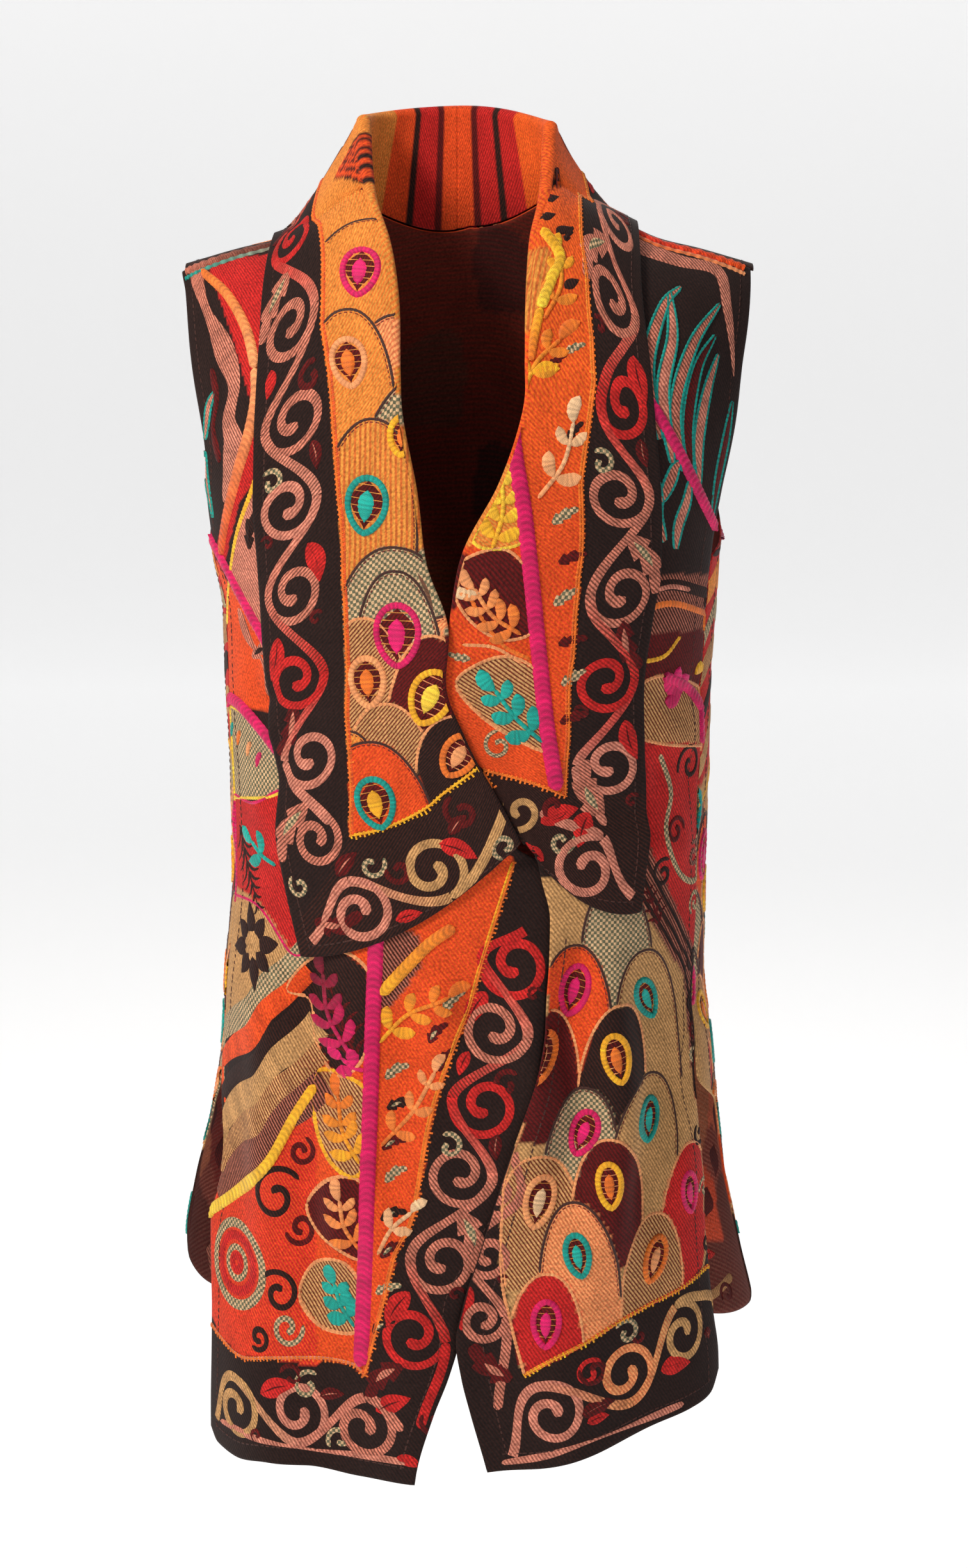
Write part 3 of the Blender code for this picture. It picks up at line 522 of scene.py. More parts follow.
# Colours of the yarns, as display values.
INK = dict(
    black=(0.135, 0.092, 0.085), brown=(0.26, 0.13, 0.10), maroon=(0.40, 0.085, 0.085), plum=(0.52, 0.05, 0.17),
    salmon=(0.85, 0.51, 0.42), pink=(0.86, 0.55, 0.46), beige=(0.82, 0.62, 0.40), cream=(0.93, 0.76, 0.58),
    coral=(0.82, 0.16, 0.15), red=(0.72, 0.10, 0.09), orange_red=(0.90, 0.34, 0.12), orange=(0.94, 0.46, 0.13),
    ochre=(0.87, 0.57, 0.25), gold=(1.00, 0.70, 0.12), yellow=(1.00, 0.82, 0.24), olive=(0.40, 0.40, 0.31),
    sage=(0.60, 0.62, 0.47), magenta=(0.86, 0.04, 0.37), violet=(0.90, 0.06, 0.42), teal=(0.02, 0.60, 0.55),
    aqua=(0.08, 0.70, 0.64), peach=(0.97, 0.63, 0.40), tan=(0.62, 0.38, 0.22))
# Weaves: the two yarns that show, and how: 0 twill, 1 small check, 2 fine stripes across.
WEAVE = dict(
    black=("black", "brown", 0.0, 0.78), ochre=("ochre", "orange_red", 0.0, 0.52), honey=("ochre", "red", 2.0, 0.55),
    check=("olive", "cream", 1.0, 0.80), maroon=("maroon", "black", 0.0, 0.60), twill=("beige", "maroon", 0.0, 0.92),
    beige=("beige", "brown", 0.0, 0.46), flame=("orange_red", "coral", 0.0, 0.55), coral=("coral", "maroon", 0.0, 0.55),
    brown=("brown", "salmon", 0.0, 0.62), salmon=("salmon", "brown", 0.0, 0.76), rose=("pink", "maroon", 0.0, 0.60),
    peach=("peach", "red", 0.0, 0.50), sage=("sage", "black", 1.0, 0.5), teal_twill=("teal", "black", 0.0, 0.5), lining=("tan", "maroon", 2.0, 0.55),
    ember=("coral", "orange_red", 0.0, 0.80))


def ink(name):
    return np.array(INK[name] if isinstance(name, str) else name, float)


def linear(c):
    c = np.clip(c, 0.0, 1.0)
    return np.where(c <= 0.04045, c / 12.92, ((c + 0.055) / 1.055) ** 2.4)


# Main creases of the fronts, in picture units: from, to, half width and depth in metres; minus is a trough.
FRONT_CREASES = [
    (396, 1225, 402, 1420, 0.010, -0.0052), (402, 1420, 388, 1700, 0.014, -0.0040), (425, 1250, 436, 1640, 0.015, 0.0042),
    (350, 1240, 330, 1560, 0.016, 0.0036), (436, 1240, 446, 1700, 0.009, -0.0030), (300, 1330, 296, 1700, 0.013, -0.0028), (520, 1260, 505, 1560, 0.014, -0.0026),
    (560, 1230, 545, 1500, 0.012, 0.0026), (600, 1240, 560, 1430, 0.010, -0.0022),
    (705, 1190, 668, 1440, 0.012, 0.0034), (742, 1180, 712, 1560, 0.013, -0.0044), (790, 1200, 770, 1660, 0.015, 0.0036),
    (835, 1230, 838, 1600, 0.014, -0.0040), (870, 1300, 880, 1560, 0.012, 0.0030),
    (300, 880, 352, 905, 0.008, -0.0026), (296, 930, 356, 948, 0.009, 0.0024), (300, 985, 372, 1002, 0.010, -0.0028),
    (310, 1060, 380, 1062, 0.012, 0.0022), (905, 880, 850, 915, 0.008, -0.0026), (900, 940, 838, 962, 0.010, 0.0024),
    (896, 1000, 830, 1010, 0.011, -0.0026), (892, 1080, 820, 1092, 0.012, 0.0020),
    (262, 420, 285, 640, 0.012, -0.0022), (300, 430, 318, 700, 0.012, 0.0022), (925, 420, 900, 640, 0.012, -0.0024),
    (880, 420, 858, 700, 0.014, 0.0020), (450, 640, 520, 860, 0.018, -0.0018), (430, 860, 560, 1000, 0.016, 0.0024),
    (470, 1060, 600, 1010, 0.012, -0.0022), (700, 700, 690, 900, 0.018, -0.0016), (660, 960, 760, 1060, 0.014, 0.0022),
    (745, 960, 800, 1100, 0.012, -0.0018)]
# Of the back, in metres: x and z from, x and z to.
BACK_CREASES = [
    (-0.118, -0.160, -0.085, -0.330, 0.016, -0.0034), (-0.075, -0.130, -0.060, -0.300, 0.020, 0.0026),
    (0.110, -0.170, 0.090, -0.320, 0.015, -0.0034), (0.060, -0.140, 0.058, -0.290, 0.020, 0.0024),
    (-0.125, -0.360, -0.030, -0.392, 0.011, -0.0040), (-0.115, -0.400, 0.010, -0.432, 0.013, 0.0034),
    (0.128, -0.352, 0.030, -0.385, 0.012, -0.0038), (0.118, -0.398, 0.000, -0.425, 0.012, 0.0030),
    (-0.090, -0.330, 0.080, -0.338, 0.013, -0.0026), (-0.120, -0.440, -0.100, -0.740, 0.018, 0.0040),
    (-0.070, -0.450, -0.060, -0.760, 0.017, -0.0048), (-0.015, -0.450, -0.020, -0.770, 0.020, 0.0042),
    (0.038, -0.450, 0.035, -0.765, 0.018, -0.0046), (0.088, -0.450, 0.092, -0.750, 0.018, 0.0040),
    (0.135, -0.470, 0.142, -0.720, 0.015, -0.0034), (-0.150, -0.470, -0.155, -0.700, 0.014, -0.0030),
    (-0.020, -0.060, -0.010, -0.260, 0.024, -0.0018)]


def crease(p):
    """How far the cloth stands off its form at points, by its creases."""
    x, y, z = p[..., 0], p[..., 1], p[..., 2]
    total = np.zeros_like(x)
    front = ramp(-y, 0.012, 0.050)
    back = ramp(y, 0.008, 0.040)
    for table, share, place in ((FRONT_CREASES, front, True), (BACK_CREASES, back, False)):
        for x0, z0, x1, z1, radius, depth in table:
            if place:
                (x0, z0), (x1, z1) = at(x0, z0), at(x1, z1)
            dx, dz = x1 - x0, z1 - z0
            length = math.hypot(dx, dz)
            along = ((x - x0) * dx + (z - z0) * dz) / length ** 2
            bow = 0.006 * np.sin(7.0 * along + 40.0 * x0)
            off = ((x - x0) * dz - (z - z0) * dx) / length + bow
            ends = ramp(along, -0.10, 0.25) * ramp(1 - along, -0.10, 0.25)
            if place and z0 < -0.40:
                ends = ends * 2.7
                radius = radius * 0.9
            total = total + depth * share * ends * np.exp(-0.5 * (off / radius) ** 2)
    ripple = 0.0007 * np.sin(37.0 * x + 21.0 * z + 9.0 * y) + 0.0005 * np.sin(-61.0 * x + 43.0 * z)
    return total + ripple * np.maximum(front, back)


# ---------------------------------------------------------------------------------------------------------------
def even(f, low, high, step):
    """Parameter values about step apart along a curve."""
    p = np.linspace(low, high, 241)
    s = np.concatenate([[0.0], np.cumsum(np.linalg.norm(np.diff(f(p), axis=0), axis=1))])
    return np.interp(np.linspace(0.0, s[-1], int(math.ceil(s[-1] / step)) + 1), s, p)


def grid_normals(points):
    n = np.cross(np.gradient(points, axis=1), np.gradient(points, axis=0))
    return n / np.maximum(np.linalg.norm(n, axis=-1, keepdims=True), 1e-12)


def row_length(points, axis):
    d = np.linalg.norm(np.diff(points, axis=axis), axis=-1)
    pad = np.zeros_like(np.take(d, [0], axis=axis))
    return np.concatenate([pad, np.cumsum(d, axis=axis)], axis=axis)


def inside(points, polygon):
    """Which points lie in a polygon."""
    x, y = points[..., 0], points[..., 1]
    hit = np.zeros(x.shape, bool)
    px, py = np.asarray(polygon, float).T
    for i in range(len(px)):
        x0, y0, x1, y1 = px[i - 1], py[i - 1], px[i], py[i]
        if y0 == y1:
            continue
        crosses = (y0 > y) != (y1 > y)
        hit ^= crosses & (x < (x1 - x0) * (y - y0) / (y1 - y0) + x0)
    return hit


def line_distance(points, line):
    """Distance of points from a polyline."""
    best = np.full(points.shape[:-1], 1e9)
    line = np.asarray(line, float)
    for a, b in zip(line[:-1], line[1:]):
        d = b - a
        t = np.clip(((points - a) @ d) / max(float(d @ d), 1e-18), 0.0, 1.0)
        best = np.minimum(best, np.linalg.norm(points - a - t[..., None] * d, axis=-1))
    return best


class Sheet:
    """One cut piece: a grid of points of its middle, with sheet coordinates in metres for what is worked on it.
    Systems: A unrolled width and height, E along the free edge and in from it, V the picture's frame."""

    def __init__(self, name, points, reference):
        normal = grid_normals(points)
        r, c = points.shape[0] // 2, points.shape[1] - 4 if name.startswith("collar") else points.shape[1] // 2
        self.sign = 1.0 if float(normal[r, c] @ np.asarray(reference, float)) > 0 else -1.0
        self.name = name
        self.coarse = 1.42 if name == "back" else 1.0
        form = normal * self.sign
        self.middle = points + form * crease(points)[..., None]
        self.normal = grid_normals(self.middle) * self.sign
        self.outer = self.middle + self.normal * (CLOTH / 2)
        self.shape = points.shape[:2]
        self.systems = {"V": (picture(self.outer), 0, self.shape[0], 0, self.shape[1])}
        self.first = np.zeros(self.shape + (3,)) + ink("black")
        self.second = np.zeros(self.shape + (3,)) + ink("brown")
        self.kind = np.zeros(self.shape)
        self.share = np.full(self.shape, 0.3)
        self.hidden = np.zeros(self.shape, bool)
        self.work = []

    def system(self, name, grid, rows=None, cols=None):
        r0, r1 = rows or (0, self.shape[0])
        c0, c1 = cols or (0, self.shape[1])
        self.systems[name] = (grid, r0, r1, c0, c1)

    def locate(self, name, q):
        """Fractional grid places of points in a system, and how far off the sheet they are."""
        grid, r0, r1, c0, c1 = self.systems[name]
        step = 6
        rows, cols = np.arange(r0, r1, step), np.arange(c0, c1, step)
        coarse = grid[np.ix_(rows, cols)].reshape(-1, 2).astype(np.float32)
        q = np.asarray(q, float).reshape(-1, 2)
        best = np.zeros(len(q), int)
        norm = (coarse ** 2).sum(1)
        for start in range(0, len(q), 8192):
            part = q[start:start + 8192].astype(np.float32)
            best[start:start + 8192] = (norm[None, :] - 2.0 * (part @ coarse.T)).argmin(1)
        i = rows[best // len(cols)].astype(float)
        j = cols[best % len(cols)].astype(float)
        off = np.zeros(len(q))
        for turn in range(9):
            i0 = np.clip(np.floor(i).astype(int), r0, r1 - 2)
            j0 = np.clip(np.floor(j).astype(int), c0, c1 - 2)
            fi, fj = (i - i0)[:, None], (j - j0)[:, None]
            g00, g01, g10, g11 = grid[i0, j0], grid[i0, j0 + 1], grid[i0 + 1, j0], grid[i0 + 1, j0 + 1]
            value = (g00 * (1 - fj) + g01 * fj) * (1 - fi) + (g10 * (1 - fj) + g11 * fj) * fi
            miss = q - value
            off = np.linalg.norm(miss, axis=1)
            if turn == 8:
                break
            di = (g10 - g00) * (1 - fj) + (g11 - g01) * fj
            dj = (g01 - g00) * (1 - fi) + (g11 - g10) * fi
            det = di[:, 0] * dj[:, 1] - di[:, 1] * dj[:, 0]
            det = np.where(np.abs(det) < 1e-14, 1e-14, det)
            si = (miss[:, 0] * dj[:, 1] - miss[:, 1] * dj[:, 0]) / det
            sj = (di[:, 0] * miss[:, 1] - di[:, 1] * miss[:, 0]) / det
            i = np.clip(i + np.clip(si, -9, 9), r0, r1 - 1)
            j = np.clip(j + np.clip(sj, -9, 9), c0, c1 - 1)
        return i, j, off

    def sample(self, field, i, j):
        i0 = np.clip(np.floor(i).astype(int), 0, self.shape[0] - 2)
        j0 = np.clip(np.floor(j).astype(int), 0, self.shape[1] - 2)
        fi, fj = i - i0, j - j0
        if field.ndim == 3:
            fi, fj = fi[:, None], fj[:, None]
        return ((field[i0, j0] * (1 - fj) + field[i0, j0 + 1] * fj) * (1 - fi)
                + (field[i0 + 1, j0] * (1 - fj) + field[i0 + 1, j0 + 1] * fj) * fi)

    def to(self, points, target="A", source="V"):
        """Points of one system in another."""
        i, j, _ = self.locate(source, points)
        return self.sample(self.systems[target][0], i, j)

    def paint(self, region, weave, system="V", where=None):
        """Weave of every grid point inside a polygon, or where a mask says."""
        mask = where if region is None else inside(self.systems[system][0], region)
        if region is not None and where is not None:
            mask = mask & where
        a, b, kind, share = WEAVE[weave]
        self.first[mask], self.second[mask] = ink(a), ink(b)
        self.kind[mask], self.share[mask] = kind, share


SEED = np.random.default_rng(20)


def spline(points, step=0.0016, closed=False):
    """Smooth curve through points, with points about step apart."""
    p = np.asarray(points, float)
    if len(p) == 2 and not closed:
        n = max(int(np.linalg.norm(p[1] - p[0]) / step), 2)
        return p[0] + (p[1] - p[0]) * np.linspace(0, 1, n + 1)[:, None]
    if closed:
        q = np.concatenate([p[-1:], p, p[:2]])
    else:
        q = np.concatenate([2 * p[:1] - p[1:2], p, 2 * p[-1:] - p[-2:-1]])
    t = np.linspace(0, 1, 17)[:-1, None]
    spans = []
    for a, b, c, d in zip(q[:-3], q[1:-2], q[2:-1], q[3:]):
        spans.append(0.5 * (2 * b + (c - a) * t + (2 * a - 5 * b + 4 * c - d) * t ** 2 + (3 * b - a - 3 * c + d) * t ** 3))
    dense = np.concatenate(spans + [q[-2:-1]])
    return even_points(dense, step)


def even_points(line, step):
    s = np.concatenate([[0.0], np.cumsum(np.linalg.norm(np.diff(line, axis=0), axis=1))])
    n = max(int(round(s[-1] / step)), 2)
    k = np.linspace(0.0, s[-1], n + 1)
    return np.stack([np.interp(k, s, line[:, 0]), np.interp(k, s, line[:, 1])], -1)


def band(sheet, line, width, colour, height=0.0009, layer="stitch", system="A", across=5, step=0.0017, chain=0.0030,
         rows=1, end=None, closed=False, second=None, kind=0.0, share=0.35, tight=0.0, wobble=0.04, square=False,
         crescent=0.0):
    """A raised band along a line of sheet points: yarn, a row of chain stitches, a cord or a woven stripe."""
    if sheet.coarse > 1:
        step, chain, across = step * sheet.coarse, chain * sheet.coarse, across - 2 if across > 5 else across
    line = even_points(np.asarray(line, float), step)
    n = len(line)
    if closed:
        line[-1] = line[0]
    tangent = np.gradient(line, axis=0)
    if closed:
        tangent[0] = tangent[-1] = line[1] - line[-2]
    tangent /= np.maximum(np.linalg.norm(tangent, axis=1, keepdims=True), 1e-9)
    side = np.stack([-tangent[:, 1], tangent[:, 0]], -1)
    s = np.concatenate([[0.0], np.cumsum(np.linalg.norm(np.diff(line, axis=0), axis=1))])
    along = s / max(s[-1], 1e-9)
    half = (width(along) if callable(width) else np.full(n, float(width))) / 2
    if not closed and not square:
        reach = np.maximum(half.max(), 1e-5)
        near = np.minimum(s, s[-1] - s) / reach
        half = half * np.sqrt(np.clip(1 - (1 - np.clip(near, 0.03, 1.0)) ** 2, 0.0, 1.0))
    o = np.linspace(-1, 1, across)
    if across == 5:
        o = np.array([-1.0, -0.66, 0.0, 0.66, 1.0])
    phase = s[:, None] / chain + crescent * (1 - o[None, :] ** 2)
    link = 1.0 - 0.22 * (0.5 - 0.5 * np.cos(2 * np.pi * phase)) if chain else np.ones((n, across))
    if wobble and chain:
        half = half * (1 + wobble * np.cos(2 * np.pi * s / chain + 0.6))
    dome = np.sqrt(np.clip(1 - 0.80 * o ** 2, 0, 1))
    if rows > 1:
        dome = dome * (1 - 0.20 * np.abs(np.cos(0.5 * np.pi * rows * (o + 1))) * (1 - o ** 4))
    h = height * dome[None, :] * link
    h[:, 0] = h[:, -1] = -0.0002
    xy = line[:, None, :] + side[:, None, :] * (half[:, None] * o[None, :])[..., None]
    a, b = ink(colour), ink(end if end is not None else colour)
    tone = 1 + 0.05 * np.sin(s * 310.0 + SEED.uniform(0, 6)) + 0.035 * SEED.standard_normal(n)
    col = (a + (b - a) * along[:, None]) * tone[:, None]
    col = np.repeat(col[:, None, :], across, axis=1)
    if chain:
        # painted shade: the yarn's colour darkens in the dips between chain links, in step with the dip in their height
        dark = 1.04 - 0.22 * (0.5 - 0.5 * np.cos(2 * np.pi * phase)) * (layer == "stitch")
        col = col * dark[..., None]
    uv = np.stack(np.broadcast_arrays(s[:, None], half[:, None] * o[None, :]), -1)
    index = np.arange(n * across).reshape(n, across)
    quads = np.stack([index[:-1, :-1], index[1:, :-1], index[1:, 1:], index[:-1, 1:]], -1).reshape(-1, 4)
    other = ink(second) if second is not None else col * 0.0
    sheet.work.append(dict(system=system, layer=layer, xy=xy.reshape(-1, 2), h=h.reshape(-1), quads=quads,
                           col=col.reshape(-1, 3), uv=uv.reshape(-1, 2),
                           other=(np.zeros((n * across, 3)) + other) if second is not None else col.reshape(-1, 3) * 0.8,
                           kind=kind, share=share))


def stripe(sheet, line, width, weave, system="A", end=None, height=0.00035, **more):
    """A flat woven band."""
    a, b, kind, share = WEAVE[weave]
    last = WEAVE[end][0] if end else a
    band(sheet, line, width, a, height=height + 0.00002 * (len(sheet.work) % 9), layer="weave", system=system, chain=0.0, end=last, second=b, kind=kind,
         share=share, **more)


def rotate(points, angle):
    c, s = math.cos(angle), math.sin(angle)
    return np.asarray(points, float) @ np.array([[c, s], [-s, c]])


def lobe(sheet, base, angle, length, width, colour, bend=0.12, height=0.0014, system="A", end=None, layer="stitch",
         weave=None):
    """A small filled leaf of chain stitches."""
    line = rotate(spline([(0, 0), (0.5 * length, bend * length), (length, 0)], 0.0014), angle) + np.asarray(base, float)
    shape = lambda t: 1.18 * width * np.sin(np.pi * np.clip(t, 0, 1) ** 1.25) ** 0.5 + 0.0008
    if weave:
        stripe(sheet, line, shape, weave, system=system)
    else:
        band(sheet, line, shape, colour, height=height, system=system, chain=0.0024, end=end, rows=2, across=7,
             step=0.0014, layer=layer)


def sprig(sheet, base, angle, length, pairs, colour, tip=None, system="A", size=(0.0150, 0.0062), bend=0.10, spread=0.75):
    """A stem with pairs of lobes and one at its end."""
    line = rotate(spline([(0, 0), (0.5 * length, bend * length), (length, 0)], 0.0016), angle) + np.asarray(base, float)
    band(sheet, line, 0.0030, colour, height=0.0012, system=system, end=tip)
    for k in range(pairs):
        t = (k + 0.7) / (pairs + 0.25)
        m = min(int(t * (len(line) - 1)), len(line) - 2)
        d = line[m + 1] - line[m]
        a = math.atan2(d[1], d[0])
        scale = 1.0 - 0.22 * k / max(pairs - 1, 1)
        for hand in (1, -1):
            mix = ink(colour) * (1 - t) + ink(tip if tip is not None else colour) * t
            lobe(sheet, line[m], a + hand * (spread + 0.12 * ((k + hand) % 2)), size[0] * scale, size[1] * scale, mix,
                 bend=0.10 * hand, system=system)
    d = line[-1] - line[-3]
    lobe(sheet, line[-1] - 0.3 * d, math.atan2(d[1], d[0]), size[0], size[1], tip if tip is not None else colour,
         system=system)


def fern(sheet, base, angle, length, count, weave, system="A", size=0.017, width=0.0046, bend=0.0, stem=0.0042):
    """A woven leaf of curved fingers on both sides of a midrib."""
    line = rotate(spline([(0, 0), (0.5 * length, bend * length), (length, 0)], 0.0018), angle) + np.asarray(base, float)
    stripe(sheet, line, lambda t: stem * (1 - 0.6 * t), weave, system=system, across=3, step=0.0022)
    for k in range(count):
        t = (k + 0.4) / count
        m = min(int(t * (len(line) - 1)), len(line) - 2)
        d = line[m + 1] - line[m]
        a = math.atan2(d[1], d[0])
        reach = size * (0.55 + 0.55 * math.sin(math.pi * min(1.0, t + 0.25)))
        for hand in (1, -1):
            f = rotate(spline([(0, 0), (0.55 * reach, 0.16 * reach * -hand), (reach, 0.02 * reach)], 0.0018), a + hand * 0.95)
            stripe(sheet, f + line[m], lambda q: width * (1 - 0.75 * q ** 1.6), weave, system=system, across=3, step=0.0022)


def drop_outline(length, width, n=40):
    t = np.linspace(0, 2 * np.pi, n + 1)
    return np.stack([-0.5 * length * np.cos(t), 0.5 * width * np.sin(t) * np.sin(t / 2) ** 0.32 * 1.05], -1)


def drop(sheet, centre, angle, length, width, ring, core, ground="brown", net="ochre", system="A"):
    """A teardrop: two rows of chain round a netted ground, with a lobe in it. Its point is at the start of angle."""
    place = lambda q: rotate(q, angle) + np.asarray(centre, float)
    outline = drop_outline(length, width)
    axis = place(np.array([(-0.42 * length, 0.0), (0.44 * length, 0.0)]))
    shape = lambda t: width * 0.92 * np.clip(np.sin(np.pi * np.clip(t, 0, 1) ** 1.35), 0.0, 1) ** 0.75
    stripe(sheet, spline(axis), shape, "maroon" if ground == "brown" else ground, system=system, across=7, height=0.0003)
    for k in range(6):
        u = (-0.26 + 0.125 * k) * length
        reach = 0.40 * width * math.sqrt(max(0.0, 1 - (2 * (u - 0.06 * length) / length) ** 2))
        band(sheet, place(np.array([(u, -reach), (u, reach)])), 0.0010, net, height=0.0007, system=system, across=3,
             chain=0.0, step=0.0022)
    band(sheet, place(outline * 0.96), 0.0044, ring, height=0.0017, system=system, closed=True, rows=2, across=7,
         chain=0.0028, step=0.0014)
    lobe(sheet, place(np.array([(-0.29 * length, 0.0)]))[0], angle, 0.56 * length, max(0.0054, 0.34 * width), core,
         bend=0.02, height=0.0017, system=system)


def spiral_line(centre, radius, start, hand, turns=1.35, inner=0.16, step=0.0018, pitch=1.0):
    """A line that winds in from radius at the angle start; hand 1 is counterclockwise."""
    n = max(int(radius * turns * 2 * np.pi * 0.62 / step), 14)
    t = np.linspace(0, 1, n + 1)
    r = radius * (1 - (1 - inner) * t ** pitch)
    a = start + hand * 2 * np.pi * turns * t
    return np.stack([centre[0] + r * np.cos(a), centre[1] + r * np.sin(a)], -1)


def curl(sheet, centre, radius, start, hand, weave, width=0.0058, turns=1.35, system="A", lead=None, end=None, warp=None,
         inner=0.16, pitch=1.0):
    """A woven scroll, with a stem that leads into it."""
    line = spiral_line((0.0, 0.0), radius, start, hand, turns, inner, pitch=pitch) + np.asarray(centre, float)
    if lead is not None:
        line = np.concatenate([spline(list(lead) + [line[0]], 0.0018)[:-1], line])
    if warp is not None:
        line = warp(line)
    stripe(sheet, line, lambda t: width * (0.80 + 0.20 * t) * (1 + 0.25 * ramp(t, 0.90, 0.98)), weave, system=system,
           end=end, across=5, step=0.0019)


def leaf(sheet, base, angle, length, width, weave, vein=None, system="A", warp=None, bend=0.06):
    """A pointed woven leaf."""
    line = rotate(spline([(0, 0), (0.5 * length, bend * length), (length, 0)], 0.0017), angle) + np.asarray(base, float)
    if warp is not None:
        line = warp(line)
    stripe(sheet, line, lambda t: width * np.sin(np.pi * np.clip(t, 0, 1) ** 0.8) ** 0.85 + 0.0004, weave, system=system,
           across=7, step=0.0016, square=True)
    if vein:
        m = len(line)
        stripe(sheet, line[int(0.12 * m):int(0.80 * m)], lambda t: 0.30 * width * np.sin(np.pi * t) + 0.0005, vein,
               system=system, across=3, height=0.00055, square=True)


def acanthus(sheet, base, angle, length, width, weave, heart="check", system="A", warp=None, lobes=3, bend=0.12):
    """A jagged woven leaf with a small checked heart."""
    line = rotate(spline([(0, 0), (0.5 * length, bend * length), (length, 0)], 0.0013), angle) + np.asarray(base, float)
    if warp is not None:
        line = warp(line)

    def shape(t):
        saw = (t * lobes) % 1.0
        return width * (0.30 + 0.70 * np.sin(np.pi * np.clip(t * 0.94 + 0.03, 0, 1)) ** 0.7) * (0.46 + 0.54 * saw ** 0.8) * (1 - 0.35 * t)
    stripe(sheet, line, shape, weave, system=system, across=7, step=0.0011, square=True)
    m = len(line)
    stripe(sheet, line[int(0.14 * m):int(0.60 * m)], lambda t: 0.26 * width * np.sin(np.pi * t) + 0.0005, heart,
           system=system, across=5, height=0.0006, square=True)


def ticks(sheet, places, directions, length, width, colour, height=0.0007, system="A", layer="stitch"):
    """Many short straight stitches at once."""
    p, d = np.asarray(places, float), np.asarray(directions, float)
    d = d / np.maximum(np.linalg.norm(d, axis=1, keepdims=True), 1e-9)
    side = np.stack([-d[:, 1], d[:, 0]], -1)
    u = np.array([0.0, 0.0, 0.0, 0.5, 0.5, 0.5, 1.0, 1.0, 1.0])
    w = np.array([-0.5, 0.0, 0.5] * 3)
    lift = np.array([-0.1, 0.6, -0.1, -0.1, 1.0, -0.1, -0.1, 0.6, -0.1])
    n = len(p)
    jitter = 1 + 0.16 * SEED.standard_normal(n)
    xy = p[:, None] + d[:, None] * (length * jitter[:, None] * u)[..., None] + side[:, None] * (width * w)[None, :, None]
    h = np.tile(lift * height, n)
    cell = np.array([[0, 3, 4, 1], [1, 4, 5, 2], [3, 6, 7, 4], [4, 7, 8, 5]])
    quads = (np.arange(n)[:, None, None] * 9 + cell[None]).reshape(-1, 4)
    tone = 1 + 0.08 * SEED.standard_normal(n)
    col = np.repeat(ink(colour)[None, :] * tone[:, None], 9, axis=0)
    uv = np.tile(np.stack([u * length, w * width], -1), (n, 1))
    sheet.work.append(dict(system=system, layer=layer, xy=xy.reshape(-1, 2), h=h, quads=quads, col=col, uv=uv,
                           other=col * 0.8, kind=0.0, share=0.3))


def blanket(sheet, line, colour, side=1.0, system="A", length=0.0036, spacing=0.0030):
    """Blanket stitch over a seam line: a spine of yarn with ticks to one side."""
    line = even_points(np.asarray(line, float), spacing)
    t = np.gradient(line, axis=0)
    n = np.stack([-t[:, 1], t[:, 0]], -1) * side
    ticks(sheet, line - 0.40 * length * n / np.linalg.norm(n, axis=1, keepdims=True), n, length, 0.0014, colour, 0.0010,
          system)
    band(sheet, line, 0.0019, colour, height=0.0010, system=system, across=3, step=0.0021, chain=0.0)


def dashes(sheet, line, colour, system="A", length=0.0030, spacing=0.0046, width=0.0011):
    line = even_points(np.asarray(line, float), spacing)
    ticks(sheet, line[:-1], np.diff(line, axis=0), length, width, colour, 0.0006, system)


def chain_line(sheet, line, colour, width=0.0022, system="A", height=0.0009, end=None, closed=False):
    band(sheet, line, width, colour, height=height, system=system, across=3, step=0.0015, chain=0.0027, end=end,
         wobble=0.16, closed=closed)


def cord(sheet, line, colour, width=0.0100, system="A", end=None, height=0.0026):
    """A thick cord: crescent loops of chain stitch side by side."""
    band(sheet, line, width, colour, height=height, system=system, across=9, step=0.0011, chain=0.0043, crescent=0.90,
         end=end, wobble=0.03, rows=1)


# ---------------------------------------------------------------------------------------------------------------
def unrolled(p):
    """Width round the front form from its middle, and height with the rounded shoulder laid flat."""
    x, z = p[..., 0], p[..., 2]
    low = np.minimum(z, CHEST)
    width, depth = half_width(low, x, "front"), smooth(FORM, FORM_COLUMN["front"], low)
    angle = np.arcsin(np.clip(np.abs(x) / width, 0, 1))
    arc = np.zeros_like(x)
    before = None
    for f in np.linspace(0, 1, 19):
        s = np.sin(angle * f)
        now = np.stack([width * s, depth * np.sqrt(np.clip(1 - s ** FRONT_FLAT, 0, 1))], -1)
        if before is not None:
            arc = arc + np.linalg.norm(now - before, axis=-1)
        before = now
    rise = ridge(x) - CHEST
    q = np.clip((z - CHEST) / rise, 0, 0.995)
    top = ring_depth(x, np.maximum(z, CHEST), "front")
    turn = np.arcsin(q)
    up = np.zeros_like(x)
    steps_up = 14
    for f in (np.arange(steps_up) + 0.5) / steps_up:
        a = turn * f
        up = up + turn / steps_up * np.sqrt((rise * np.cos(a)) ** 2 + (top * np.sin(a)) ** 2)
    return np.stack([np.sign(x) * arc, np.where(z > CHEST, CHEST + up, z)], -1)


